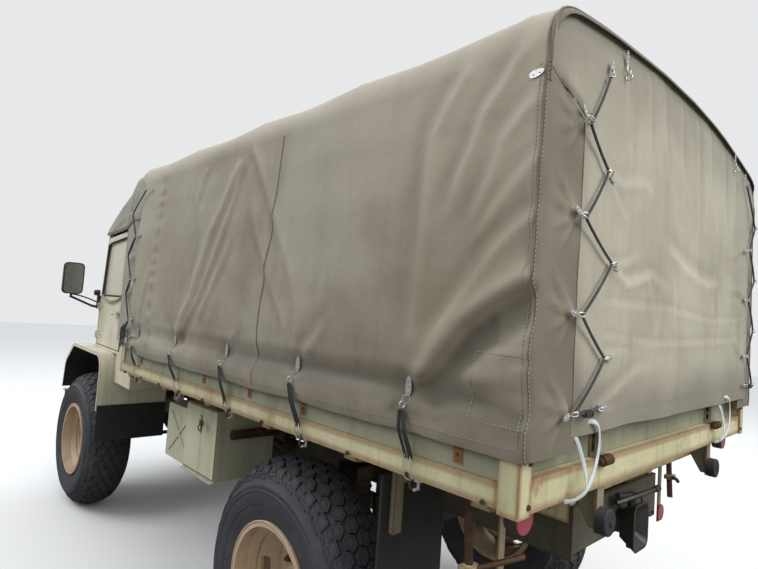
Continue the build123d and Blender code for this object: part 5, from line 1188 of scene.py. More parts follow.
@dataclass
class CargoCover:
    """The canvas over the bed: one sheet over both sides and the roof that turns in at the rear."""

    finishes: Finishes
    section: CargoSection
    rear_y: float = 2.4745
    corner_radius: float = 0.018
    return_width: float = 0.235
    valance: float = 0.02
    rows_along: int = 200
    corner_rows: int = 4
    return_rows: int = 18
    bows: Sequence[float] = (-0.282, 0.382, 1.046, 1.709, 2.373)
    straps: Sequence[float] = (-0.093, 0.439, 0.984, 1.523, 2.077)
    strap_z: float = 1.452
    board_x: float = 1.0475
    board_top_z: float = 1.75

    def __post_init__(self) -> None:
        """Set out the folds."""
        self.side_folds = [
            # the deep fold from the last strap to the rear corner, and those above it
            Fold(((2.085, 1.462), (2.128, 1.505), (2.192, 1.585), (2.261, 1.662), (2.331, 1.712), (2.391, 1.746),
                  (2.474, 1.785)), 0.02, 0.044, 0.034, 0.05, 0.02),
            Fold(((2.235, 2.372), (2.171, 2.28), (2.12, 2.193), (2.107, 2.063), (2.1, 1.94), (2.092, 1.7),
                  (2.084, 1.52)), 0.011, 0.034, 0.007, 0.05, 0.1),
            Fold(((2.415, 2.38), (2.355, 2.287), (2.297, 2.215), (2.262, 2.126), (2.225, 2.05), (2.18, 1.9)),
                 0.012, 0.028, 0.009, 0.05, 0.16),
            Fold(((2.455, 2.23), (2.365, 2.139), (2.327, 2.03), (2.287, 1.955), (2.24, 1.85)),
                 0.009, 0.024, 0.006, 0.05, 0.12),
            Fold(((2.47, 1.935), (2.438, 1.913), (2.362, 1.85), (2.281, 1.745), (2.2, 1.64), (2.13, 1.545)),
                 0.01, 0.026, 0.006, 0.04, 0.14),
            Fold(((2.47, 2.08), (2.4, 2.01), (2.33, 1.93), (2.25, 1.82)), 0.006, 0.022, 0.004, 0.04, 0.1),
            # diagonals from the second strap up to the eave
            Fold(((0.455, 1.47), (0.53, 1.58), (0.617, 1.684), (0.658, 1.79), (0.74, 1.99), (0.819, 2.101),
                  (0.905, 2.23), (0.977, 2.33)), 0.012, 0.034, 0.008, 0.05, 0.06),
            Fold(((0.46, 1.468), (0.56, 1.545), (0.64, 1.625), (0.694, 1.686), (0.77, 1.81), (0.86, 1.99),
                  (0.931, 2.145), (0.985, 2.3)), 0.01, 0.026, 0.006, 0.05, 0.1),
            Fold(((0.7, 1.58), (0.811, 1.726), (0.88, 1.82), (0.932, 1.908), (0.96, 2.000)),
                 0.006, 0.026, 0.004, 0.06, 0.1),
            Fold(((0.533, 2.15), (0.575, 2.25), (0.612, 2.345)), 0.006, 0.026, 0.004, 0.06, 0.03),
            # diagonals from the eave down to the fourth strap
            Fold(((1.06, 2.36), (1.129, 2.272), (1.214, 2.146), (1.281, 2.04), (1.329, 1.931), (1.385, 1.85)),
                 0.008, 0.026, 0.006, 0.05, 0.16),
            Fold(((1.1, 2.12), (1.183, 1.948), (1.281, 1.812), (1.337, 1.733), (1.431, 1.62), (1.505, 1.49)),
                 0.008, 0.026, 0.006, 0.16, 0.03),
            Fold(((1.29, 2.08), (1.306, 2.033), (1.385, 1.889), (1.46, 1.77), (1.518, 1.64), (1.525, 1.48)),
                 0.007, 0.024, 0.005, 0.12, 0.03),
            Fold(((1.7, 1.64), (1.644, 1.562), (1.575, 1.51), (1.535, 1.48)), 0.006, 0.024, 0.006, 0.08, 0.03),
            # short pulls on both sides of the other straps
            Fold(((-0.093, 1.47), (-0.06, 1.6), (-0.02, 1.76), (0.01, 1.9)), 0.006, 0.024, 0.004, 0.04, 0.2),
            Fold(((0.984, 1.48), (0.96, 1.6), (0.95, 1.74)), 0.005, 0.022, 0.004, 0.04, 0.16),
            Fold(((0.99, 1.47), (1.06, 1.54), (1.14, 1.6)), 0.005, 0.022, 0.004, 0.04, 0.12),
            Fold(((0.43, 1.455), (0.38, 1.5), (0.3, 1.56)), 0.005, 0.022, 0.004, 0.04, 0.1),
            # puckers beside the rear seam, and below the deep fold
            Fold(((2.478, 1.598), (2.421, 1.586), (2.33, 1.592)), 0.003, 0.012, 0.003, 0.02, 0.06),
            Fold(((2.484, 1.546), (2.44, 1.556), (2.395, 1.54)), 0.005, 0.014, 0.004, 0.02, 0.05),
            Fold(((2.484, 1.422), (2.432, 1.413), (2.37, 1.428)), 0.004, 0.012, 0.004, 0.02, 0.06),
            Fold(((2.1, 1.44), (2.2, 1.5), (2.3, 1.52), (2.42, 1.5)), 0.01, 0.042, 0.004, 0.06, 0.12),
        ]
        self.return_folds = []
        for hook_x, hook_z in ((0.879, 2.212), (0.886, 1.96), (0.882, 1.702), (0.894, 1.454)):
            for reach, fall, rise in (
                (0.13, 0.12, 0.006), (0.16, 0.035, 0.007), (0.15, -0.06, 0.006), (0.1, -0.13, 0.005),
            ):
                self.return_folds.append(
                    Fold(((hook_x, hook_z), (hook_x + reach, hook_z + fall)), rise, 0.012, 0.003, 0.01, 0.1)
                )
        self.dents = [(0.9, z) for z in (2.09, 1.83, 1.58)]

    def front_edge(self, z: float) -> float:
        """Where the cover begins at a height."""
        edge = -0.335 + 0.125 * smoothstep(2.47, 2.33, z) - 0.03 * math.exp(-(((z - 2.05) / 0.15) ** 2))
        return edge + 0.03 * smoothstep(1.75, 1.48, z) + 0.06 * smoothstep(1.46, 1.34, z)

    def hem_lift(self, y: float) -> float:
        """How far the straps lift the hem, and the sag between them."""
        nearest = min(abs(y - strap) for strap in self.straps)
        return 0.006 * math.exp(-((nearest / 0.11) ** 2)) - 0.003 + 0.003 * noise.noise(Vector((2.3 * y, 0.0, 1.0)))

    def side_height(self, y: float, z: float, far: bool) -> float:
        """How far a side stands out at a place.

        Args:
            y: Place along the truck.
            z: Height.
            far: Whether it is the side that the photograph doesn't show.

        Returns:
            Metres outwards.
        """
        if far:
            y += 0.05 * noise.noise(Vector((1.7 * y, 1.1 * z, 5.0)))
        strength = 0.8 if far else 1.0
        height = strength * sum(fold.height(y, z) for fold in self.side_folds)
        # the straps draw the cloth in at their plates; between them it hangs out
        level = math.exp(-(((z - self.strap_z - 0.006) / 0.042) ** 2))
        for strap in self.straps:
            height -= 0.016 * level * math.exp(-((abs(y - strap) / 0.05) ** 2))
        towards_rear = smoothstep(0.2, 1.9, y)
        valley = math.exp(-(((z - 1.47) / 0.03) ** 2)) * smoothstep(2.46, 2.25, y)
        height -= (0.002 + 0.01 * towards_rear) * valley
        bulge = math.exp(-(((z - 1.4) / 0.034) ** 2))
        height += (0.001 + 0.005 * towards_rear) * bulge * smoothstep(2.5, 2.3, y)
        # the cloth sinks a little between the hoops
        pitch = self.bows[1] - self.bows[0]
        phase = (y - self.bows[0]) / pitch
        height -= 0.006 * math.sin(math.pi * phase) ** 2 * smoothstep(1.6, 2.1, z)
        # the stitched band at the front, and the lapped seam
        height += 0.0016 * math.exp(-(((y - self.seam_y(z)) / 0.007) ** 2))
        height -= 0.001 * math.exp(-(((y - self.seam_y(z) - 0.016) / 0.009) ** 2))
        band = 0.075 + 0.02 * (1.9 - z)
        ripple = math.sin(z * 2 * math.pi / 0.082 + 1.3 * math.sin(z * 17.0))
        height += 0.0028 * ripple * math.exp(-(((y - band) / 0.05) ** 2))
        height -= 0.003 * math.exp(-(((y - band) / 0.008) ** 2))
        broad = noise.noise(Vector((2.1 * y, 1.6 * z, 9.0 if far else 3.0)))
        fine = noise.noise(Vector((11.0 * y, 7.0 * z, 4.0)))
        height += 0.005 * broad + 0.0014 * fine
        # the boards stand close behind the cloth up to their top
        inner = self.board_x + 0.0065 * max(smoothstep(2.36, 2.38, y), smoothstep(-0.28, -0.29, y))
        room = self.section.width_at(z) - inner + 0.05 * smoothstep(self.board_top_z, self.board_top_z + 0.05, z)
        return max(height, -room + 0.004 * math.exp(min(0.0, (height + room) / 0.004)))

    def skin(self, side: int, y: float, z: float, lift: float = 0.0) -> Vector:
        """A place on a side of the canvas, or at a lift above it."""
        x = self.section.width_at(z) + self.side_height(y, z, side < 0)
        return Vector((side * (x + lift), y, z))

    @staticmethod
    def seam_y(z: float) -> float:
        """Where the lapped seam crosses a side at a height."""
        return 1.245 + 0.045 * smoothstep(1.35, 2.3, z)

    def roof_drop(self, x: float, y: float) -> float:
        """How far the roof hangs below its line between the hoops and at the front."""
        pitch = self.bows[1] - self.bows[0]
        phase = (y - self.bows[0]) / pitch
        sag = 0.013 * math.sin(math.pi * phase) ** 2 if y > self.bows[0] else 0.0
        sag *= 0.75 + 0.25 * noise.noise(Vector((0.0, 2.0 * y, 1.0)))
        front = 0.013 * smoothstep(-0.295, -0.335, y)
        tail = 0.006 * smoothstep(2.4, 2.47, y)
        wave = 0.004 * noise.noise(Vector((3.0 * x, 3.0 * y, 7.0)))
        ridge = 0.004 * max(math.exp(-(((y - bow) / 0.02) ** 2)) for bow in self.bows)
        return sag + front + tail + wave - ridge

    def place(self, column: int, row: int) -> tuple[Vector, float]:
        """Position and fold shade of one corner of the sheet's grid."""
        x, z = self.section.columns[column]
        out_x, out_z = self.section.normals[column]
        share = row / self.rows_along
        far = x < 0
        roof = smoothstep(0.2, 0.8, out_z) if z > 2.3 else 0.0
        flat_rear = self.rear_y - self.corner_radius
        if row <= self.rows_along:
            front = self.front_edge(z)
            y = front + (flat_rear - front) * share
            turn, inward = 0.0, 0.0
        elif row <= self.rows_along + self.corner_rows:
            turn = (row - self.rows_along) / self.corner_rows * math.pi / 2
            y = flat_rear + self.corner_radius * math.sin(turn)
            inward = self.corner_radius * (1 - math.cos(turn))
        else:
            turn = math.pi / 2
            part = (row - self.rows_along - self.corner_rows) / self.return_rows
            y = self.rear_y
            width = self.return_width + (self.valance - self.return_width) * smoothstep(2.31, 2.39, z)
            inward = self.corner_radius + (width - self.corner_radius) * part
        side = (1 - roof) * self.side_height(min(y, self.rear_y), z, far)
        drop = roof * self.roof_drop(x, y)
        hem = smoothstep(1.42, 1.337, z) * (self.hem_lift(y) if turn == 0.0 else 0.004)
        folded = self.return_height(abs(x) - inward * abs(out_x), z) if turn > 0 else 0.0
        face = side * math.cos(turn)
        back = side * math.sin(turn) * 0.35 * max(0.0, 1 - inward / 0.05) + folded * math.sin(turn)
        back += 0.013 * roof * smoothstep(0.0, 1.2, turn)
        level = smoothstep(2.38, 2.3, z)
        in_x = out_x + (math.copysign(1.0, x) - out_x) * level
        in_z = out_z * (1 - level)
        place = Vector((x + out_x * face - in_x * inward, y + back, z + out_z * face - in_z * inward + hem - drop))
        # fold ridges are painted lighter and fold hollows darker, on top of the painted light and shade
        return place, min(1.0, max(0.0, 0.55 + self._painted_shade_and_light(y, z, turn) + 22.0 * (side if turn == 0.0 else folded)))

    @staticmethod
    def _painted_shade_and_light(y: float, z: float, turn: float) -> float:
        """How much painted light and painted shade the cloth gets on top of its fold shade."""
        # painted shade on the turned-in panel, deeper low down, and a painted shadow along its rim under the roof's
        # edge
        if turn > 0.0:
            rim = 0.55 * smoothstep(2.36, 2.4, z)
            return -(0.4 + 0.08 * smoothstep(2.0, 1.5, z) + rim) * min(1.0, turn)
        # painted light high up, more towards the rear, along the roof's edge and towards the front
        painted_light = (0.2 + 0.28 * smoothstep(1.0, 2.3, y)) * smoothstep(1.7, 2.3, z) + 0.25 * smoothstep(2.36, 2.46, z)
        painted_light += 0.26 * smoothstep(0.9, -0.2, y) * smoothstep(1.45, 1.8, z)
        # painted shade in a band under the low bulge, towards the rear
        darkened = 0.56 * math.exp(-(((z - 1.425) / 0.052) ** 2)) * smoothstep(0.2, 1.5, y)
        return painted_light - darkened

    def return_height(self, x: float, z: float) -> float:
        """How far the turned-in panel stands out rearwards."""
        height = sum(fold.height(x, z) for fold in self.return_folds)
        for dent_x, dent_z in self.dents:
            height -= 0.003 * math.exp(-(((x - dent_x) / 0.06) ** 2) - (((z - dent_z) / 0.07) ** 2))
        return height + 0.0015 * noise.noise(Vector((9.0 * x, 6.0 * z, 2.0)))

    def build(self) -> bpy.types.Object:
        """The sheet."""
        columns = len(self.section.columns) - 1
        rows = self.rows_along + self.corner_rows + self.return_rows
        sheet = ClothMaker().build("cargo_cover", columns, rows, self.place, self.finishes.canvas, ("cargo_canvas",))
        return sheet


@dataclass
class RearFlap:
    """The rear curtain, sewn to the roof's edge and laced to the sides."""

    finishes: Finishes
    section: CargoSection
    face_y: float = 2.481
    hem_z: float = 1.383
    free_top_z: float = 2.222
    sewn_z: float = 2.31
    left_x: float = 0.858
    right_x: float = 0.975
    top_x: float = 1.048
    columns: int = 132
    rows: int = 96

    def __post_init__(self) -> None:
        """Set out the folds, seen from behind: x to the left, z up."""
        self.folds = [
            # creases where the flap was folded away
            Fold(((0.565, 2.48), (0.56, 2.15), (0.585, 1.9), (0.59, 1.64)), 0.003, 0.01, 0.003, 0.05, 0.05),
            Fold(((0.72, 1.64), (0.3, 1.625), (-0.2, 1.64), (-0.78, 1.66)), 0.003, 0.01, 0.003, 0.05, 0.05),
            Fold(((0.7, 1.735), (0.2, 1.75), (-0.3, 1.73), (-0.83, 1.76)), 0.0026, 0.01, 0.003, 0.05, 0.05),
            Fold(((-0.3, 2.5), (-0.31, 2.2), (-0.29, 1.9)), 0.002, 0.012, 0.002, 0.05, 0.3),
            # pulls from the lacing plates
            Fold(((0.69, 1.846), (0.56, 1.8), (0.38, 1.85), (0.15, 1.8)), 0.008, 0.018, 0.005, 0.02, 0.3),
            Fold(((0.69, 1.846), (0.57, 1.86), (0.42, 1.93)), 0.005, 0.014, 0.003, 0.02, 0.16),
            Fold(((0.735, 2.098), (0.62, 2.09), (0.47, 2.13), (0.3, 2.1)), 0.005, 0.02, 0.003, 0.02, 0.24),
            Fold(((0.735, 2.098), (0.64, 2.02), (0.52, 1.96)), 0.005, 0.016, 0.003, 0.02, 0.16),
            Fold(((0.705, 1.583), (0.59, 1.6), (0.45, 1.58)), 0.004, 0.016, 0.003, 0.02, 0.16),
            Fold(((0.74, 1.452), (0.64, 1.48), (0.48, 1.54), (0.3, 1.56)), 0.005, 0.018, 0.003, 0.02, 0.24),
            Fold(((0.74, 1.452), (0.65, 1.44), (0.52, 1.43)), 0.003, 0.014, 0.002, 0.02, 0.16),
            Fold(((-0.85, 2.119), (-0.7, 2.06), (-0.52, 2.02)), 0.005, 0.018, 0.004, 0.02, 0.24),
            Fold(((-0.9, 1.869), (-0.72, 1.9), (-0.5, 1.88)), 0.006, 0.02, 0.004, 0.02, 0.24),
            Fold(((-0.88, 1.589), (-0.74, 1.64), (-0.6, 1.7)), 0.005, 0.018, 0.004, 0.02, 0.2),
            Fold(((0.25, 1.96), (0.05, 1.9), (-0.2, 1.87), (-0.45, 1.9)), 0.007, 0.03, 0.005, 0.12, 0.2),
            Fold(((0.42, 1.86), (0.36, 1.76), (0.35, 1.66)), 0.004, 0.018, 0.003, 0.06, 0.06),
            Fold(((0.18, 1.88), (0.14, 1.76), (0.15, 1.66)), 0.004, 0.02, 0.003, 0.06, 0.06),
            Fold(((-0.3, 1.82), (-0.34, 1.7), (-0.33, 1.56)), 0.004, 0.024, 0.003, 0.08, 0.08),
            # upright waves under the roof's edge
            *(
                Fold(((x, self.section.roof_z(x) - 0.05), (x - 0.015, 2.26), (x - 0.05, 2.26 - drop)), 0.004, 0.02,
                     0.003, 0.06, 0.2)
                for x, drop in ((0.62, 0.16), (0.44, 0.24), (0.3, 0.12), (0.12, 0.26), (-0.08, 0.15), (-0.24, 0.28),
                                (-0.46, 0.16), (-0.62, 0.22))
            ),
        ]

    def edge(self, z: float, right: bool) -> float:
        """Half width of the flap at a height."""
        free = self.right_x if right else self.left_x
        wave = 0.006 * noise.noise(Vector((0.0, 7.0 * z, 3.0 if right else 8.0)))
        return free + wave + (self.top_x - free) * smoothstep(self.free_top_z, self.sewn_z, z)

    def place(self, column: int, row: int) -> tuple[Vector, float]:
        """Position and fold shade of one corner of the grid."""
        across = 1 - 2 * column / self.columns
        top = self.section.roof_z(across * self.top_x) - 0.006
        z = self.hem_z + (top - self.hem_z) * row / self.rows
        x = across * self.edge(z, across < 0)
        height = sum(fold.height(x, z) for fold in self.folds)
        height += 0.01 * math.cos(math.pi * across / 2) * math.sin(math.pi * (z - self.hem_z) / 1.15)
        height += 0.005 * noise.noise(Vector((2.4 * x, 1.5 * z, 6.0)))
        height += 0.0022 * noise.noise(Vector((7.0 * x, 4.0 * z, 8.0)))
        hem = math.exp(-(((z - self.hem_z - 0.052) / 0.004) ** 2))
        height -= 0.002 * hem
        height -= 0.01 * smoothstep(top - 0.1, top, z)
        rim = smoothstep(0.07, 0.0, min(1 - across, 1 + across))
        height += rim * (-0.0052 - height)
        droop = 0.006 * noise.noise(Vector((3.0 * x, 0.0, 4.0))) * smoothstep(1.5, self.hem_z, z)
        # darker towards the top and the bottom; fold ridges are painted lighter and fold hollows darker
        darkened = 0.08 + 0.26 * smoothstep(2.05, 2.45, z) + 0.36 * smoothstep(1.7, 1.42, z)
        return Vector((x, self.face_y + height, z + droop)), min(1.0, max(0.0, 0.5 + 26.0 * height - darkened))

    def build(self) -> bpy.types.Object:
        """The flap."""
        flap = ClothMaker(0.0028).build("rear_flap", self.columns, self.rows, self.place, self.finishes.flap)
        return flap


@dataclass
class Stitcher:
    """Seams, hems and stitches that follow a line of points on cloth."""

    work: BMesh
    length: float = 0.0065
    gap: float = 0.0045
    width: float = 0.0022
    height: float = 0.0012

    def stitches(self, points: Sequence[Vector], outward: Vector, lift: float = 0.0) -> None:
        """Lay a row of stitches along a line.

        Args:
            points: The line.
            outward: The cloth's outward direction.
            lift: How far above the line they lie.
        """
        pitch = self.length + self.gap
        left = 0.0
        for start, end in zip(points, points[1:]):
            run = end - start
            distance = run.length
            if distance < 1e-6:
                continue
            ahead = run.normalized()
            place = pitch - left
            while place < distance:
                middle = start + ahead * place
                up = outward.normalized()
                across = up.cross(ahead).normalized()
                turn = Matrix((ahead, across, up)).transposed().to_4x4()
                size = Matrix.Diagonal((self.length, self.width, self.height, 1.0))
                bmesh.ops.create_cube(
                    self.work, size=1.0, matrix=Matrix.Translation(middle + up * lift) @ turn @ size
                )
                place += pitch
            left = distance - (place - pitch)

    def band(
        self,
        points: Sequence[Vector],
        outward: Vector,
        width: float,
        height: float,
        turn_at: Callable[[int], float] | None = None,
    ) -> None:
        """Lay a flat band with rounded edges along a line.

        Args:
            points: The line.
            outward: The cloth's outward direction.
            width: The band's width.
            height: Its thickness.
            turn_at: Angle by which it is turned about the line, by point.
        """
        count = len(points) - 1
        made = bmesh.ops.create_grid(self.work, x_segments=4, y_segments=count, size=1.0)
        faces = {face for vert in made["verts"] for face in vert.link_faces}
        for vert in made["verts"]:
            index = round((vert.co.y + 1) / 2 * count)
            across_share = vert.co.x
            before, after = points[max(0, index - 1)], points[min(count, index + 1)]
            ahead = (after - before).normalized()
            up = outward.normalized()
            if turn_at is not None:
                up = Matrix.Rotation(turn_at(index), 3, ahead) @ up
            across = ahead.cross(up).normalized()
            crown = height * (0.35 + 0.65 * (1 - abs(across_share) ** 3))
            vert.co = points[index] + across * (across_share * width / 2) + up * crown
        thicken(self.work, list(faces), height)


@dataclass
class CanvasHardware:
    """Riveted plates, wire loops and rings on the canvas."""

    metal: BMesh

    def plate(self, at: Vector, outward: Vector, along: Vector, length: float, width: float, rivets: int = 2) -> None:
        """A thin plate with a rounded tip and rivet heads.

        Args:
            at: Its middle.
            outward: The direction away from the cloth.
            along: The direction of its tip.
            length: Its length.
            width: Its width.
            rivets: How many rivets hold it.
        """
        up = outward.normalized()
        ahead = (along - up * along.dot(up)).normalized()
        across = up.cross(ahead)
        turn = Matrix((ahead, across, up)).transposed().to_4x4()
        place = Matrix.Translation(at + up * 0.0012) @ turn
        made = bmesh.ops.create_cone(
            self.metal, cap_ends=True, segments=16, radius1=0.5, radius2=0.5, depth=1.0,
            matrix=place @ Matrix.Diagonal((length, width, 0.0022, 1.0)),
        )
        for vert in made["verts"]:
            local = place.inverted() @ vert.co
            if local.x < 0:
                local.y *= 1.0 + 0.35 * min(1.0, -2 * local.x / length)
                vert.co = place @ local
        for rivet in range(rivets):
            share = (rivet + 0.5) / rivets - 0.5
            centre = at + ahead * (share * length * 0.8) + up * 0.0022
            add_disc(self.metal, centre + up * 0.0008, up, 0.0042, 0.0022, 12, 0.0026)

    def wire_loop(self, start: Vector, end: Vector, outward: Vector, width: float, radius: float = 0.0016) -> None:
        """A wire bent into a long loop between two places, arched off the cloth."""
        up = outward.normalized()
        ahead = (end - start).normalized()
        across = up.cross(ahead).normalized()
        length = (end - start).length
        points = []
        for step in range(18):
            angle = 2 * math.pi * step / 18
            forward = (1 - math.cos(angle)) / 2
            sideways = math.sin(angle) * (0.5 + 0.16 * math.cos(angle))
            arch = 0.008 * math.sin(math.pi * forward) + 0.003
            points.append(start + ahead * (forward * length) + across * (sideways * width) + up * arch)
        add_tube(self.metal, points, radius, cyclic=True)

    def lace(
        self, cord: BMesh, stops: Sequence[tuple[Vector, Vector]], outward: Vector, radius: float
    ) -> None:
        """Lace a cord zigzag between wire loops on riveted plates.

        Args:
            cord: The bmesh that gets the cord.
            stops: Where the cord turns, and the direction from there to the loop's plate.
            outward: The direction away from the cloth.
            radius: Half the cord's thickness.
        """
        for end, away in stops:
            start = end + away * 0.024 - outward * 0.004
            self.wire_loop(start, end - away * 0.004, outward, 0.011)
            self.plate(start + away * 0.017, outward, away, 0.036, 0.017)
            self.ring(end - away * 0.001, Vector((0.2, 0.1, 1.0)), 0.0075, 0.0015)
        for index, ((first, _), (second, _)) in enumerate(zip(stops, stops[1:])):
            bend = (first + second) / 2 + outward * 0.002 + Vector((0.0, 0.0, -0.006))
            add_tube(cord, [first, bend + 0.004 * (-1) ** index * outward, second], radius)

    def ring(self, at: Vector, normal: Vector, radius: float, wire: float = 0.0018) -> None:
        """A wire ring round an axis."""
        frame_of = normal.normalized().to_track_quat("Z", "Y").to_matrix()
        points = [
            at + frame_of @ Vector((math.cos(2 * math.pi * k / 14), math.sin(2 * math.pi * k / 14), 0.0)) * radius
            for k in range(14)
        ]
        add_tube(self.metal, points, wire, cyclic=True)


@dataclass
class SideStraps:
    """Rubber loops that hold the canvas down to the bed's rail, with their plates and hooks."""

    finishes: Finishes
    cover: CargoCover
    rail_x: float = RAIL_X
    foot_z: float = RAIL_LOW_Z
    hem_x: float = 1.0865
    rows: Sequence[tuple[float, float, float, float, float]] = (
        # place of the plate, top of the rubber, its foot, place of the foot, gap between the legs
        (-0.093, 1.383, 1.272, -0.06, 0.016),
        (0.439, 1.386, 1.262, 0.505, 0.018),
        (0.984, 1.392, 1.24, 1.03, 0.022),
        (1.523, 1.394, 1.25, 1.568, 0.026),
        (2.077, 1.396, 1.266, 2.104, 0.03),
    )

    def build(self) -> None:
        """All ten straps."""
        metal, rubber = bmesh.new(), bmesh.new()
        hardware = CanvasHardware(metal)
        for side in (1, -1):
            for plate_y, top_z, foot_z, foot_y, spread in self.rows:
                if side < 0:
                    spread *= 0.8
                self._strap(hardware, rubber, side, plate_y, top_z, foot_z, foot_y, spread)
        mesh_object(metal, "strap_metal", self.finishes.steel)
        mesh_object(rubber, "strap_rubber", self.finishes.rubber)

    def _strap(
        self,
        hardware: CanvasHardware,
        rubber: BMesh,
        side: int,
        plate_y: float,
        top_z: float,
        foot_z: float,
        foot_y: float,
        spread: float,
    ) -> None:
        """One strap, from its plate on the canvas down to its hooks under the rail."""
        outward = Vector((side, 0.0, 0.0))
        top, low = (self.cover.skin(side, plate_y, z, 0.001) for z in (1.49, 1.44))
        lean = (low - top).normalized()
        face = lean.cross(Vector((0.0, 1.0, 0.0)))
        face = face if face.dot(outward) > 0 else -face
        hardware.plate((top + low) / 2 + face * 0.001, face, top - low, 0.058, 0.023, 3)
        ring_at = Vector((side * (abs(low.x) + 0.01), plate_y, 1.427))
        hardware.ring(ring_at, Vector((0.85 * side, 0.5, 0.1)), 0.0115, 0.002)
        eye_z = top_z + 0.012
        clip_x = max(abs(self.cover.skin(side, plate_y, eye_z).x), 1.066) + 0.011
        hardware.ring(
            Vector((side * clip_x, plate_y + 0.002, eye_z + 0.006)), Vector((0.2, 1.0, 0.0)), 0.0095, 0.0019
        )
        # two legs of a flat rubber loop that hang over the hem and the rail
        hem_x, foot_x = self.hem_x, self.rail_x + 0.012
        for leg, twist in ((-1, 0.35), (1, -0.75)):
            points = []
            for share in levels(0.0, 1.0, 12):
                open_up = math.sin(math.pi * min(1.0, 0.1 + 0.72 * share)) ** 0.8
                y = plate_y + (foot_y - plate_y) * share + leg * spread * 0.5 * open_up
                bow = 0.004 * math.sin(math.pi * share) * leg
                x = clip_x + (hem_x - clip_x) * min(1.0, 2.6 * share) + (foot_x - hem_x) * smoothstep(0.3, 1.0, share)
                points.append(Vector((side * (x + bow), y, top_z + (foot_z - top_z) * share)))
            Stitcher(rubber).band(
                points, outward, 0.014, 0.0032, lambda index, twist=twist: side * twist * index / 12
            )
            # each leg ends in a wire hook that turns under the rail
            end = points[-1]
            hook = [
                end + Vector((side * 0.002, 0.0, 0.012)),
                end + Vector((side * 0.004, 0.004 * leg, -0.006)),
                Vector((side * (self.rail_x + 0.01), end.y + 0.007 * leg, self.foot_z + 0.024)),
                Vector((side * (self.rail_x + 0.007), end.y + 0.004 * leg, self.foot_z + 0.004)),
                Vector((side * (self.rail_x - 0.004), foot_y, self.foot_z - 0.004)),
                Vector((side * (self.rail_x - 0.02), foot_y - 0.004 * leg, self.foot_z)),
            ]
            add_tube(hardware.metal, hook, 0.0019)
        top_join = [
            Vector((side * clip_x, plate_y - 0.007, top_z - 0.003)),
            Vector((side * (clip_x + 0.002), plate_y, top_z + 0.006)),
            Vector((side * clip_x, plate_y + 0.007, top_z - 0.003)),
        ]
        add_tube(rubber, top_join, 0.0042)


@dataclass
class RearLacing:
    """The elastic cord that laces the rear flap to the side canvas, its plates and loops."""

    finishes: Finishes
    cloth_y: float = 2.486
    cord_radius: float = 0.0041
    left: Sequence[tuple[float, float, int, float]] = (
        # x and z of the wire's end, 1 where the plate is on the flap or -1 on the side, lean of the plate
        (0.762, 2.372, 1, 1.2),
        (0.868, 2.205, -1, 0.75),
        (0.748, 2.107, 1, -0.35),
        (0.872, 1.953, -1, 0.35),
        (0.7, 1.853, 1, -0.2),
        (0.868, 1.698, -1, 0.1),
        (0.722, 1.587, 1, 0.00),
        (0.88, 1.452, -1, -0.3),
    )
    right: Sequence[tuple[float, float, int, float]] = (
        (-0.8, 2.412, 1, 1.1),
        (-0.985, 2.228, -1, 0.5),
        (-0.89, 2.11, 1, -0.2),
        (-0.998, 1.965, -1, 0.2),
        (-0.885, 1.866, 1, -0.1),
        (-1.000, 1.719, -1, 0.00),
        (-0.888, 1.592, 1, 0.00),
        (-0.996, 1.455, -1, -0.2),
    )
    knots: Sequence[tuple[float, float]] = ((0.752, 1.45), (-0.89, 1.452))
    clasps: Sequence[tuple[float, float]] = ((0.637, 2.478), (-0.605, 2.5))

    def build(self) -> None:
        """Both lacings, and the two loose clasps under the roof's edge."""
        metal, cord = bmesh.new(), bmesh.new()
        hardware = CanvasHardware(metal)
        back = Vector((0.0, 1.0, 0.0))
        cord_y = self.cloth_y + 0.01
        for rows, knot in ((self.left, self.knots[0]), (self.right, self.knots[1])):
            side = 1 if rows[0][0] > 0 else -1
            stops = [
                (
                    Vector((x, cord_y, z)),
                    Vector((-side * on_flap * math.cos(lean), 0.0, math.sin(lean))),
                )
                for x, z, on_flap, lean in rows
            ]
            hardware.lace(cord, stops, back, self.cord_radius)
            # the tail doubles back to the last plate on the flap, and is knotted there
            last = stops[-1][0]
            end = Vector((knot[0], cord_y, knot[1]))
            for drop in (0.008, -0.004):
                bend = (last + end) / 2 + Vector((0.0, 0.004, -0.01 - drop))
                add_tube(cord, [last, bend, end + Vector((0.0, 0.0, drop))], self.cord_radius * 0.85)
            for step in range(3):
                at = last.lerp(end, 0.38 + 0.12 * step) + Vector((0.0, 0.003, -0.008))
                turns = [
                    at + Vector((0.0, math.cos(turn) * 0.009, math.sin(turn) * 0.009))
                    for turn in (0.0, 1.26, 2.51, 3.77, 5.03)
                ]
                add_tube(cord, turns, 0.0034, cyclic=True)
            away = Vector((-side, 0.0, 0.05))
            hardware.wire_loop(end + away * 0.024, end, back, 0.012)
            hardware.plate(end + away * 0.038, back, away, 0.036, 0.017)
        for x, z in self.clasps:
            at = Vector((x, self.cloth_y + 0.002, z))
            hardware.plate(at, back, Vector((0.0, 0.0, 1.0)), 0.05, 0.013, 3)
            hardware.ring(at + Vector((0.0, 0.006, -0.038)), back, 0.0125, 0.0022)
            hardware.ring(at + Vector((0.0, 0.008, -0.06)), Vector((1.0, 0.3, 0.0)), 0.0085, 0.0022)
        mesh_object(metal, "lacing_metal", self.finishes.steel)
        mesh_object(cord, "lacing_cord", self.finishes.cord)


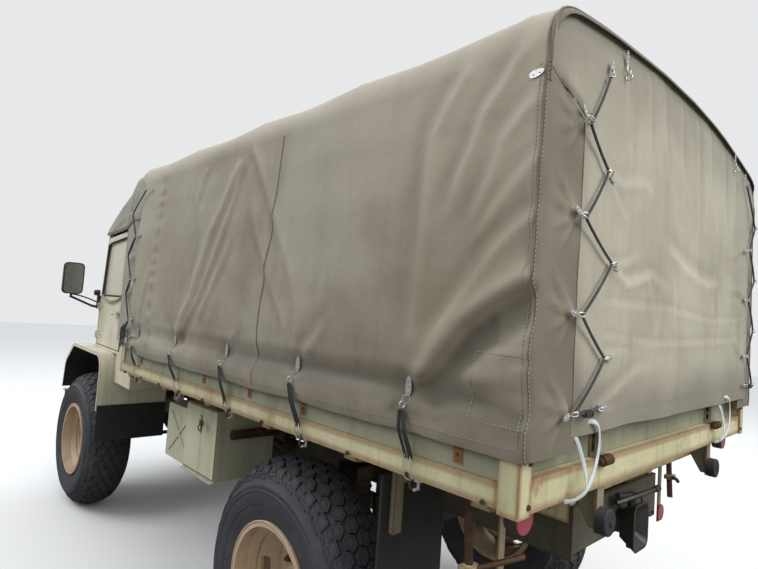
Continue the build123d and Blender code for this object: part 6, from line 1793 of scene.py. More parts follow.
@dataclass
class CoverSeams:
    """Corner seams, the lapped side seam, stitch rows and the piping at the rear."""

    finishes: Finishes
    cover: CargoCover

    def build(self) -> None:
        """Every seam."""
        cloth, thread, metal = bmesh.new(), bmesh.new(), bmesh.new()
        sewer, threads, cover = Stitcher(cloth), Stitcher(thread), self.cover
        corner_y = cover.rear_y - 0.004
        for side in (1, -1):
            outward = Vector((side, 0.0, 0.0))
            slanted = Vector((side, 1.0, 0.0))
            corner = [cover.skin(side, corner_y, z, 0.0015) for z in levels(1.338, 2.314, 90)]
            sewer.band(corner, slanted, 0.0065, 0.003)
            threads.stitches(corner, slanted, 0.0042)
            self._piping(cloth, side)
            seam = [cover.skin(side, cover.seam_y(z), z, 0.0004) for z in levels(1.336, 2.366, 70)]
            sewer.band(seam, outward, 0.007, 0.0006)
            threads.stitches(seam, outward, 0.0009)
            plain_rows = (
                # beside the corner, along the front band, round the patch, and along the hem
                [cover.skin(side, corner_y - 0.02, z, 0.0012) for z in levels(1.338, 2.314, 90)],
                [cover.skin(side, 0.075 + 0.02 * (1.9 - z), z, 0.0006) for z in levels(1.345, 2.34, 70)],
                *([cover.skin(side, y, z, 0.0006) for y in levels(2.3, 2.465, 12)] for z in (1.586, 1.414)),
                [cover.skin(side, 2.3, z, 0.0006) for z in levels(1.414, 1.586, 12)],
                [
                    cover.skin(side, y, 1.366, 0.0008) + Vector((0, 0, cover.hem_lift(y) * 0.8))
                    for y in levels(-0.35, 2.45, 150)
                ],
            )
            for row in plain_rows:
                threads.stitches(row, outward)
            plate_at = cover.skin(side, 2.44, 2.288, 0.001)
            CanvasHardware(metal).plate(plate_at, outward, Vector((0, 1, 0.15)), 0.042, 0.019)
        mesh_object(metal, "cover_plates", self.finishes.steel)
        # these bands carry no painted_shading layer, so the canvas finish paints them with its painted shade
        mesh_object(cloth, "cover_seams", self.finishes.canvas)
        mesh_object(thread, "cover_thread", self.finishes.thread)

    def _piping(self, work: BMesh, side: int) -> None:
        """The corded edge that runs from the corner seam over the roof's rear edge."""
        section = self.cover.section
        points = [self.cover.skin(side, self.cover.rear_y + 0.003, z, -0.001) for z in (2.26, 2.31, 2.35)]
        y = self.cover.rear_y - 0.002
        points += [
            Vector((side * (x + 0.001), y, z - self.cover.roof_drop(x, y) * smoothstep(2.37, 2.44, z)))
            for x, z in section.corner
        ]
        for step in range(1, 19):
            x = section.corner[-1][0] * (1 - step / 18)
            points.append(Vector((side * x, y, section.roof_z(x) - self.cover.roof_drop(side * x, y))))
        add_tube(work, points, 0.0034)


@dataclass
class WebbingLoops:
    """White webbing loops that hang out under the rear flap's hem."""

    finishes: Finishes
    width: float = 0.0125
    loops: Sequence[Sequence[Point]] = (
        (
            (0.78, 2.468, 1.4), (0.764, 2.486, 1.416), (0.742, 2.494, 1.408), (0.724, 2.492, 1.383),
            (0.722, 2.492, 1.345), (0.74, 2.494, 1.305), (0.768, 2.496, 1.266), (0.8, 2.494, 1.236),
            (0.832, 2.478, 1.216), (0.85, 2.462, 1.212),
        ),
        (
            (0.842, 2.468, 1.395), (0.826, 2.478, 1.37), (0.806, 2.482, 1.332), (0.79, 2.486, 1.295),
            (0.786, 2.49, 1.262), (0.8, 2.49, 1.232), (0.828, 2.474, 1.212),
        ),
        (
            (-0.56, 2.468, 1.395), (-0.576, 2.486, 1.412), (-0.6, 2.494, 1.402), (-0.622, 2.492, 1.372),
            (-0.63, 2.492, 1.335), (-0.612, 2.494, 1.29), (-0.574, 2.494, 1.254), (-0.532, 2.484, 1.228),
            (-0.5, 2.468, 1.218),
        ),
        (
            (-0.52, 2.468, 1.39), (-0.534, 2.478, 1.364), (-0.552, 2.482, 1.328), (-0.564, 2.486, 1.292),
            (-0.556, 2.488, 1.258), (-0.52, 2.482, 1.226),
        ),
    )

    def build(self) -> None:
        """Both pairs of loops."""
        work = bmesh.new()
        back = Vector((0.0, 1.0, 0.0))
        for index, loop in enumerate(self.loops):
            points = self._rounded(loop)
            turn = 0.55 if index % 2 else -0.25
            Stitcher(work).band(points, back, self.width * (1 - 0.1 * (index % 2)), 0.0022,
                                lambda step, turn=turn: turn * math.sin(step * 0.22))
        mesh_object(work, "webbing_loops", self.finishes.webbing)

    @staticmethod
    def _rounded(points: Sequence[Point]) -> list[Vector]:
        """Points of a smooth line through a few given ones."""
        knots = [Vector(point) for point in points]
        line = []
        for index in range(len(knots) - 1):
            before = knots[max(0, index - 1)]
            start, end = knots[index], knots[index + 1]
            after = knots[min(len(knots) - 1, index + 2)]
            for step in range(4):
                t = step / 4
                line.append(
                    0.5 * (2 * start + (end - before) * t + (2 * before - 5 * start + 4 * end - after) * t * t
                           + (3 * start - before - 3 * end + after) * t ** 3)
                )
        return [*line, knots[-1]]


@dataclass
class SoftTop:
    """The cab's canvas roof and its side skirts, from the windscreen back under the cargo cover.

    Attributes:
        sections: Place along the truck, half width, height of the eave, crown and squareness.
    """

    finishes: Finishes
    cover: CargoCover
    sections: Sequence[tuple[float, float, float, float, float]] = (
        (-1.566, 0.853, 2.164, 2.202, 9.0),
        (-1.53, 0.857, 2.178, 2.226, 7.0),
        (-1.33, 0.875, 2.25, 2.345, 4.2),
        (-1.11, 0.896, 2.315, 2.452, 3.5),
        (-0.86, 0.928, 2.356, 2.52, 3.2),
        (-0.62, 0.985, 2.376, 2.546, 3.0),
        (-0.42, 1.034, 2.386, 2.558, 2.8),
        (-0.23, 1.038, 2.386, 2.56, 2.75),
    )
    base_z: float = 2.158
    skirt_front: float = -0.846
    skirt_rear: float = -0.165
    skirt_foot: float = 1.362
    skirt_top: float = 2.262
    post_x: float = 1.056
    cord_radius: float = 0.0042
    roof_grid: tuple[int, int] = (120, 84)
    skirt_grid: tuple[int, int] = (56, 64)
    stops: Sequence[tuple[float, float, int]] = (
        # along the truck, height, 1 where the plate is on the cover or -1 on the skirt
        (-0.15, 2.318, 1), (-0.345, 2.188, -1), (-0.235, 2.04, 1), (-0.362, 1.93, -1), (-0.222, 1.776, 1),
        (-0.335, 1.69, -1), (-0.205, 1.532, 1), (-0.3, 1.478, -1), (-0.165, 1.44, 1),
    )
    loose_hooks: Sequence[tuple[float, float, float]] = (
        # along the truck, height, length
        (-0.335, 1.432, 0.034), (-0.3, 1.405, 0.04), (-0.255, 1.418, 0.03), (-0.215, 1.43, 0.036),
    )

    def __post_init__(self) -> None:
        """Set out the folds of a skirt and of the roof."""
        self.skirt_folds = [
            Fold(((y, z), (y - 0.1, z - 0.02), (y - 0.2, z - 0.09)), 0.007, 0.018, 0.004, 0.01, 0.1)
            for y, z, plate in self.stops if plate < 0
        ]
        self.skirt_folds += [
            Fold(
                ((-0.42, 2.24), (-0.47, 2.05), (-0.44, 1.8), (-0.47, 1.55), (-0.45, 1.4)), 0.01, 0.026, 0.008, 0.05, 0.05
            ),
            Fold(((-0.6, 2.22), (-0.64, 2.00), (-0.62, 1.7), (-0.66, 1.45)), 0.007, 0.024, 0.006, 0.05, 0.05),
            Fold(((-0.75, 2.22), (-0.77, 1.9), (-0.74, 1.6)), 0.005, 0.022, 0.004, 0.05, 0.1),
        ]
        self.roof_folds = [
            Fold(((x * 0.86, -1.5), (x * 0.95, -1.2), (x, -0.88)), 0.004, 0.02, 0.004, 0.04, 0.1)
            for x in (-0.62, -0.36, -0.1, 0.2, 0.44, 0.7)
        ]
        self.side_folds = [
            Fold(((-0.88, 2.2), (-0.72, 2.28), (-0.55, 2.38)), 0.01, 0.026, 0.006, 0.04, 0.08),
            Fold(((-0.7, 2.18), (-0.58, 2.26), (-0.44, 2.36)), 0.01, 0.024, 0.007, 0.04, 0.06),
            Fold(((-0.52, 2.18), (-0.44, 2.27), (-0.36, 2.36)), 0.009, 0.02, 0.006, 0.04, 0.05),
            Fold(((-1.4, 2.19), (-1.15, 2.23), (-0.92, 2.26)), 0.005, 0.018, 0.004, 0.05, 0.08),
        ]

    def _section(self, y: float) -> tuple[float, ...]:
        """Half width, eave, crown and squareness at a place along the truck."""
        rows = self.sections
        for before, after in zip(rows, rows[1:]):
            if y <= after[0]:
                share = min(1.0, max(0.0, (y - before[0]) / (after[0] - before[0])))
                return tuple(low + (high - low) * share for low, high in zip(before[1:], after[1:]))
        return rows[-1][1:]

    def _roof(self, column: int, row: int) -> tuple[Vector, float]:
        """A corner of the roof's grid: across in columns, along the truck in rows."""
        y = self.sections[0][0] + (self.sections[-1][0] - self.sections[0][0]) * row / self.roof_grid[1]
        half, eave, crown, square = self._section(y)
        across = 1 - 2 * column / self.roof_grid[0]
        hand = 1.0 if across > 0 else -1.0
        away = abs(across)
        if away < 0.86:
            angle = away / 0.86 * math.pi / 2
            x, z = math.sin(angle) ** (2 / square) * half, eave + (crown - eave) * math.cos(angle) ** (2 / square)
        else:
            x, z = half, eave + (self.base_z - eave) * (away - 0.86) / 0.14
        rise = sum(fold.height(hand * x, y) for fold in self.roof_folds) if away < 0.8 else 0.0
        swell = sum(fold.height(y, z) for fold in self.side_folds) * smoothstep(0.62, 0.86, away)
        loose = smoothstep(-1.5, -1.3, y) * smoothstep(-0.24, -0.4, y)
        sag = 0.016 * loose * math.sin(math.pi * (y + 1.54) / 0.68) ** 2 * (1 - away ** 4)
        broad = 0.005 * loose * noise.noise(Vector((2.4 * hand * x, 3.0 * y, 2.0 * z)))
        shade = 0.5 + 24.0 * (rise + swell + broad)
        return Vector((hand * (x + swell + broad), y, z + rise + broad - sag)), min(1.0, max(0.0, shade))

    def skirt_x(self, y: float, z: float) -> float:
        """How far a skirt stands from the truck's middle at a place."""
        x = self._section(y)[0] - 0.005 * smoothstep(2.15, 2.2, z) - 0.004
        below = smoothstep(2.2, 2.1, z)
        x += sum(fold.height(y, z) for fold in self.skirt_folds) * below * smoothstep(-0.26, -0.34, y)
        x += 0.006 * noise.noise(Vector((4.0 * y, 2.6 * z, 1.0))) * below * smoothstep(-0.24, -0.34, y)
        post = self.post_x * smoothstep(1.86, 1.75, z) * smoothstep(-0.44, -0.37, y)
        return max(x, post)

    def _skirt(self, side: int, column: int, row: int) -> tuple[Vector, float]:
        """A corner of a skirt's grid: along the truck in columns, upwards in rows."""
        y = self.skirt_front + (self.skirt_rear - self.skirt_front) * column / self.skirt_grid[0]
        z = self.skirt_foot + (self.skirt_top - self.skirt_foot) * row / self.skirt_grid[1]
        x = self.skirt_x(y, z)
        shade = 0.42 + 20.0 * (x - self._section(y)[0] + 0.004) * smoothstep(-0.3, -0.45, y)
        return Vector((side * x, y, z)), min(1.0, max(0.0, shade))

    def build(self) -> None:
        """The roof, both skirts, their seams and the lacing to the cargo cover."""
        finish = self.finishes.soft_top
        roof = ClothMaker(0.0028).build("cab_top", *self.roof_grid, self._roof, finish, ("cab_soft_top",))
        metal, cord, thread, edges = bmesh.new(), bmesh.new(), bmesh.new(), bmesh.new()
        hardware = CanvasHardware(metal)
        for side, name in ((1, "left"), (-1, "right")):
            skirt = ClothMaker(0.0026).build(
                f"cab_top_skirt_{name}", *self.skirt_grid, partial(self._skirt, side), finish
            )
            outward = Vector((side, 0.0, 0.0))
            stops = []
            for y, z, plate in self.stops:
                x = abs(self.cover.skin(side, y, z).x)
                x = max(x if plate > 0 else self.skirt_x(y, z), self.post_x) + 0.012
                stops.append((Vector((side * x, y, z)), Vector((0.0, float(plate), 0.12)).normalized()))
            hardware.lace(cord, stops, outward, self.cord_radius)
            shifted = [(end + Vector((0.004 * side, 0.012, -0.008)), away) for end, away in stops]
            for (first, _), (second, _) in zip(shifted[1:], shifted[2:]):
                add_tube(cord, [first, (first + second) / 2 + Vector((0, 0.006, -0.012)), second], 0.0034)
            self._tangle(hardware, cord, side)
            for y in (self.skirt_front + 0.012, self.skirt_front + 0.03):
                seam = [Vector((side * (self.skirt_x(y, z) + 0.0006), y, z)) for z in levels(1.366, 2.15, 50)]
                Stitcher(thread).stitches(seam, outward)
            eave = [Vector((side * (self._section(y)[0] + 0.0016), y, 2.172)) for y in levels(-1.55, -0.4, 60)]
            Stitcher(edges).band(eave, outward, 0.018, 0.0012)
            Stitcher(thread).stitches(eave, outward, 0.0028)
        # this band carries no painted_shading layer, so the soft top finish paints it with its painted shade
        mesh_object(edges, "cab_top_binding", finish)
        mesh_object(metal, "front_lacing_metal", self.finishes.steel)
        mesh_object(cord, "front_lacing_cord", self.finishes.cord)
        mesh_object(thread, "cab_top_thread", self.finishes.thread)

    def _tangle(self, hardware: CanvasHardware, cord: BMesh, side: int) -> None:
        """The loose end of the lacing, wound up below the last loop with its hooks."""
        rolls = random.Random(11)
        middle = Vector((side * (self.post_x + 0.02), -0.285, 1.462))
        for turn in range(7):
            reach, lean = 0.026 + 0.012 * rolls.random(), rolls.uniform(-0.6, 0.6)
            loop = [
                middle + Vector((side * rolls.uniform(-0.006, 0.012), math.cos(angle) * reach * 0.7 + lean * 0.02,
                                 math.sin(angle) * reach * 1.5 - 0.01 * turn))
                for angle in (0.0, 1.3, 2.5, 3.8, 5.0)
            ]
            add_tube(cord, loop, 0.0036, cyclic=True)
        for y, z, drop in self.loose_hooks:
            start = Vector((side * (self.post_x + 0.016), y, z))
            end = start + Vector((0.004 * side, rolls.uniform(-0.03, 0.03), -drop))
            hardware.wire_loop(start, end, Vector((side, 0.0, 0.0)), 0.016)


@dataclass
class Tyre:
    """A cross-country tyre: a spun carcass with hexagonal blocks, shoulder lugs and wall rings."""

    finishes: Finishes
    radius: float = 0.515
    shoulder_drop: float = 0.036
    half_tread: float = 0.121
    depth: float = 0.0115
    pitches: int = 28
    wall: Sequence[tuple[float, float]] = (
        # across, radius, from the shoulder down to the bead
        (0.1, 0.4785), (0.122, 0.466), (0.138, 0.448), (0.15, 0.428), (0.1565, 0.42), (0.1625, 0.416),
        (0.164, 0.411), (0.1625, 0.4065), (0.1632, 0.396), (0.1655, 0.394), (0.1655, 0.39), (0.1632, 0.388),
        (0.1628, 0.37), (0.16, 0.345), (0.159, 0.343), (0.159, 0.339), (0.1565, 0.337), (0.153, 0.318),
        (0.148, 0.302), (0.1425, 0.29), (0.142, 0.285), (0.14, 0.279), (0.1385, 0.275), (0.1385, 0.259),
    )

    def _top(self, across: float) -> float:
        """Radius of the tread's face at a distance from its middle."""
        return self.radius - self.shoulder_drop * (across / self.half_tread) ** 2

    def _block(
        self, work: BMesh, across: float, top: float, slope: float, phase: float,
        half_run: float, half_across: float, sides: int = 6, skew: float = 0.0,
    ) -> None:
        """One tread block, tapered, with a line pressed round its face."""
        normal = Vector((math.sin(slope), 0.0, math.cos(slope)))
        run = Vector((0.0, 1.0, 0.0))
        frame_of = Matrix((run.cross(normal), run, normal)).transposed().to_4x4()
        height = self.depth + 0.003
        centre = Vector((across, 0.0, top)) - normal * (height / 2)
        if sides == 6:
            shape = Matrix.Diagonal((half_across / 0.866, half_run, 1.0, 1.0))
        else:
            square = Matrix.Diagonal((1.414 * half_across, 1.414 * half_run, 1.0, 1.0))
            shape = square @ Matrix.Rotation(math.pi / 4, 4, "Z")
        lean = Matrix.Identity(4)
        lean[1][0] = skew
        turned = Matrix.Rotation(phase * 2 * math.pi / self.pitches, 4, "X")
        made = bmesh.ops.create_cone(
            work, cap_ends=True, segments=sides, radius1=1.0, radius2=0.88, depth=height,
            matrix=turned @ Matrix.Translation(centre) @ frame_of @ lean @ shape,
        )
        upward = turned.to_3x3() @ normal
        faces = list({face for vert in made["verts"] for face in vert.link_faces})
        work.normal_update()
        lid = [face for face in faces if len(face.verts) == sides and face.normal.dot(upward) > 0.9]
        bmesh.ops.inset_individual(work, faces=lid, thickness=0.0065, depth=0.0)
        bmesh.ops.inset_individual(work, faces=lid, thickness=0.0018, depth=-0.0028)
        bmesh.ops.inset_individual(work, faces=lid, thickness=0.0016, depth=0.0026)

    def build(self, wheel: str, centre: Point, side: int) -> None:
        """The tyre of one wheel.

        Args:
            wheel: The wheel's name.
            centre: Its centre.
            side: 1 on the left, -1 on the right.
        """
        work = bmesh.new()
        for place in range(-3, 4):
            across = 0.031 * place
            slope = math.atan(2 * self.shoulder_drop * across / self.half_tread ** 2)
            lean = math.copysign(0.3, across) if place % 2 else 0.0
            self._block(work, across, self._top(across), slope, 0.5 * (place % 2), 0.0365, 0.0262, 6, lean)
        for hand in (1, -1):
            self._block(work, hand * 0.1235, 0.471, hand * 0.8, 0.0, 0.029, 0.024, 4, 0.3 * hand)
            self._block(work, hand * 0.145, 0.4425, hand * 1.02, 0.0, 0.027, 0.007, 4, 0.24 * hand)
            self._block(work, hand * 0.118, 0.4755, hand * 0.74, 0.5, 0.02, 0.015, 4, 0.3 * hand)
            self._block(work, hand * 0.14, 0.4505, hand * 0.95, 0.5, 0.02, 0.009, 4, 0.24 * hand)
        bmesh.ops.spin(
            work, geom=work.verts[:] + work.edges[:] + work.faces[:], cent=(0, 0, 0), axis=(1, 0, 0),
            angle=2 * math.pi * (self.pitches - 1) / self.pitches, steps=self.pitches - 1, use_duplicate=True,
        )
        crown = [(across, self._top(across) - self.depth) for across in (-0.09, -0.06, -0.03, 0.0, 0.03, 0.06, 0.09)]
        left = [(-across, radius) for across, radius in reversed(self.wall)]
        add_spun(work, [*left, *crown, *self.wall], steps=112)
        bmesh.ops.recalc_face_normals(work, faces=work.faces[:])
        turn = Matrix.Rotation(0.0 if side > 0 else math.pi, 4, "Z")
        bmesh.ops.transform(work, matrix=Matrix.Translation(Vector(centre)) @ turn, verts=work.verts[:])
        mesh_object(
            work, f"tyre_tread_{wheel}", self.finishes.tyre,
            Body(f"wheel_{wheel}").value, (f"tyre_{wheel}",), 35.0
        )


@dataclass
class WheelTrim:
    """Nuts, hub bolts, the rolled lip and the valve of one wheel."""

    finishes: Finishes
    disc_x: float = -0.02
    cap_x: float = 0.022

    def build(self, wheel: str, centre: Point, side: int) -> None:
        """Dress one wheel.

        Args:
            wheel: The wheel's name.
            centre: Its centre.
            side: 1 on the left, -1 on the right.
        """
        nuts, lip = bmesh.new(), bmesh.new()
        axis = (1.0, 0.0, 0.0)
        for step in range(6):
            angle = step * math.pi / 3 + 0.3
            out = Vector((0.0, math.cos(angle), math.sin(angle)))
            add_disc(nuts, out * 0.102 + Vector((self.disc_x + 0.003, 0, 0)), axis, 0.02, 0.006, 18, 0.018)
            add_disc(nuts, out * 0.102 + Vector((self.disc_x + 0.013, 0, 0)), axis, 0.0155, 0.018, 6, 0.0145, 0.0015)
            add_disc(nuts, out * 0.102 + Vector((self.disc_x + 0.026, 0, 0)), axis, 0.008, 0.012, 12, 0.007)
            out = Vector((0.0, math.cos(angle + 0.5), math.sin(angle + 0.5)))
            add_disc(nuts, out * 0.045 + Vector((self.cap_x + 0.003, 0, 0)), axis, 0.0065, 0.006, 6, 0.006, 0.0008)
        add_tube(nuts, [(0.04, 0.0, 0.222), (0.06, 0.0, 0.214), (0.078, 0.0, 0.212)], 0.0045)
        for across, radius, wide, angles in (
            (0.1505, 0.2705, 0.0045, (0, 1.05, 2.09, 3.14, 4.19, 5.24)),
            (0.058, 0.2275, 0.004, (0, 1.57, 3.14, 4.71)),
        ):
            add_spun(lip, [(across + wide * math.cos(t), radius + 0.0045 * math.sin(t)) for t in angles], 96)
        turn = Matrix.Translation(Vector(centre)) @ Matrix.Rotation(0.0 if side > 0 else math.pi, 4, "Z")
        for work, name, finish, slot in (
            (nuts, "wheel_nuts", self.finishes.rusty, Slot.STEEL), (lip, "wheel_lip", self.finishes.lip, Slot.WHEEL)
        ):
            bmesh.ops.recalc_face_normals(work, faces=work.faces[:])
            bmesh.ops.transform(work, matrix=turn, verts=work.verts[:])
            mesh_object(work, f"{name}_{wheel}", finish, Body(f"wheel_{wheel}").value)


@dataclass
class CabTrim:
    """Mirror glasses and stays, window and door seals, hinge and latch plates, and wipers."""

    finishes: Finishes
    front_y: float = FRONT_AXLE_Y
    mirror_corner: float = 0.03
    window: Sequence[tuple[float, float]] = (
        # behind the front axle, height: the window's corners
        (0.104, 1.668), (0.722, 1.668), (0.722, 2.11), (0.168, 2.092),
    )

    @staticmethod
    def wall(distance: float) -> float:
        """Half width of the cab at a distance behind the front axle."""
        return 0.846 + (distance - 0.02) / 1.092 * 0.08

    def _on_door(self, side: int, distance: float, z: float, lift: float = 0.0) -> Vector:
        """A place on a door's outer face."""
        return Vector((side * (self.wall(distance) + lift), self.front_y + distance, z))

    def _corners(self, side: int, inset: float, lift: float) -> list[Vector]:
        """The window's outline with cut corners, for a seal."""
        count = len(self.window)
        middle_d = sum(corner[0] for corner in self.window) / count
        middle_z = sum(corner[1] for corner in self.window) / count
        line = []
        for index, (distance, z) in enumerate(self.window):
            before, after = self.window[index - 1], self.window[(index + 1) % count]
            for (to_d, to_z), cuts in ((before, (0.075, 0.03)), (after, (0.03, 0.075))):
                run = math.hypot(to_d - distance, to_z - z)
                for cut in cuts:
                    d, h = distance + (to_d - distance) * cut / run, z + (to_z - z) * cut / run
                    d, h = d + math.copysign(inset, middle_d - d), h + math.copysign(inset, middle_z - h)
                    line.append(self._on_door(side, d, h, lift))
        return line

    def build(self) -> None:
        """The trim of both sides."""
        for side, name in ((1, "left"), (-1, "right")):
            self._door(side, name)
        self._mirrors()
        self._front()

    def _door(self, side: int, name: str) -> None:
        """Seals and plates that ride on one door, and the seals round it."""
        rubber, metal, loops, fixed = bmesh.new(), bmesh.new(), bmesh.new(), bmesh.new()
        add_tube(rubber, self._corners(side, 0.004, -0.001), 0.0065, cyclic=True)
        post = [self._on_door(side, d, z, 0.001) for d, z in ((0.112, 1.68), (0.14, 1.88), (0.172, 2.082))]
        add_tube(rubber, post, 0.0085)
        for drop, out in ((0.04, 0.006), (0.054, 0.01)):
            sag = [
                self._on_door(side, 0.12 + 0.6 * share, 1.672 - drop * math.sin(math.pi * share) ** 0.8, out)
                for share in levels(0.0, 1.0, 8)
            ]
            add_tube(loops, sag, 0.0042)
        outward = Vector((float(side), 0.0, 0.0))
        leaf_low, leaf_high = sorted(side * (self.wall(0.12) + lift) for lift in (-0.002, 0.003))
        for z in (1.352, 1.585):
            for d in (0.075, 0.125, 0.165):
                add_disc(metal, self._on_door(side, d, z, 0.002), outward, 0.0065, 0.005, 10, 0.005)
            low = (leaf_low, self.front_y + 0.06, z - 0.021)
            add_block(metal, low, (leaf_high, self.front_y + 0.18, z + 0.021), 0.001)
        latch = self._on_door(side, 0.7, 1.545, 0.003)
        CanvasHardware(metal).plate(latch, outward, Vector((0, 0, 1)), 0.075, 0.03, 2)
        grip = ((0.7, 1.548, 0.02), (0.62, 1.54, 0.03), (0.56, 1.532, 0.026))
        add_tube(metal, [self._on_door(side, *point) for point in grip], 0.0062)
        add_tube(fixed, [self._on_door(side, 0.7655, z) for z in (1.285, 1.6, 1.9, 2.15)], 0.0058)
        for step, ahead in enumerate((0.11, 0.13, 0.17, 0.22, 0.28, 0.34)):
            level = 2.142 + 0.022 * step
            add_tube(fixed, [self._on_door(side, d, level, -0.048) for d in (ahead, 0.4, 0.58, 0.765)], 0.0135)
        door = Body(f"{name}_door").value
        mesh_object(rubber, f"window_seal_{name}", self.finishes.rubber, door)
        mesh_object(loops, f"window_cord_{name}", self.finishes.thread, door)
        mesh_object(metal, f"door_plates_{name}", self.finishes.body, door)
        mesh_object(fixed, f"door_seal_{name}", self.finishes.rubber)

    def _mirrors(self) -> None:
        """Glass, rims, clamps and the second stay of both mirrors."""
        glass, black = bmesh.new(), bmesh.new()
        for side in (1, -1):
            middle = Vector((side * 1.05, self.front_y + 0.0015, 1.792))
            ring = []
            for turn, (hand, level) in enumerate(((1, 1), (-1, 1), (-1, -1), (1, -1))):
                for step in range(4):
                    angle = math.pi / 2 * (turn + step / 3)
                    rounding = self.mirror_corner * Vector((math.cos(angle), 0.0, math.sin(angle)))
                    ring.append(middle + Vector((hand * 0.04, 0.0, level * 0.092)) + rounding)
            add_tube(black, ring, 0.0048, cyclic=True)
            made = bmesh.ops.create_circle(glass, cap_ends=True, segments=16, radius=1.0)
            corners = sorted(made["verts"], key=lambda vert: math.atan2(vert.co.y, vert.co.x) % (2 * math.pi))
            for vert, place in zip(corners, ring):
                vert.co = place
            face = made["verts"][0].link_faces[0]
            face.normal_update()
            if face.normal.y < 0.0:
                face.normal_flip()
            rim = bmesh.ops.inset_region(glass, faces=[face], thickness=0.01, depth=0.0012)["faces"]
            thicken(glass, [face, *rim], 0.004)
            foot = Vector((side * 0.836, -1.64, 1.6))
            knee = Vector((side * 1.05, -1.668, 1.655))
            bend, top = foot.lerp(knee, 0.45) + Vector((0, -0.02, 0.028)), knee + Vector((0, 0, 0.012))
            add_tube(black, [foot, bend, top], 0.0062)
            clamp_low, clamp_high = sorted((side * 0.83, side * 0.862))
            add_block(black, (clamp_low, -1.652, 1.56), (clamp_high, -1.622, 1.668), 0.004)
            add_disc(black, Vector((side * 0.868, -1.632, 1.69)), (float(side), 0, 0), 0.026, 0.04, 20, 0.022, 0.003)
        mesh_object(glass, "mirror_glass", self.finishes.mirror)
        mesh_object(black, "mirror_stays", self.finishes.black)

    def _front(self) -> None:
        """Wipers on the windscreen."""
        black = bmesh.new()
        for x in (0.36, -0.36):
            foot, tip = Vector((x, -1.628, 1.672)), Vector((x - 0.3, -1.598, 1.83))
            add_disc(black, foot, (0, -1, 0.2), 0.016, 0.022, 16, 0.013, 0.002)
            add_tube(black, [foot, foot.lerp(tip, 0.5) + Vector((0, -0.02, 0)), tip], 0.0042)
            blade = Vector((0.05, -0.004, 0.13))
            add_tube(black, [tip - blade, tip, tip + blade], 0.0052)
        mesh_object(black, "wipers", self.finishes.black)


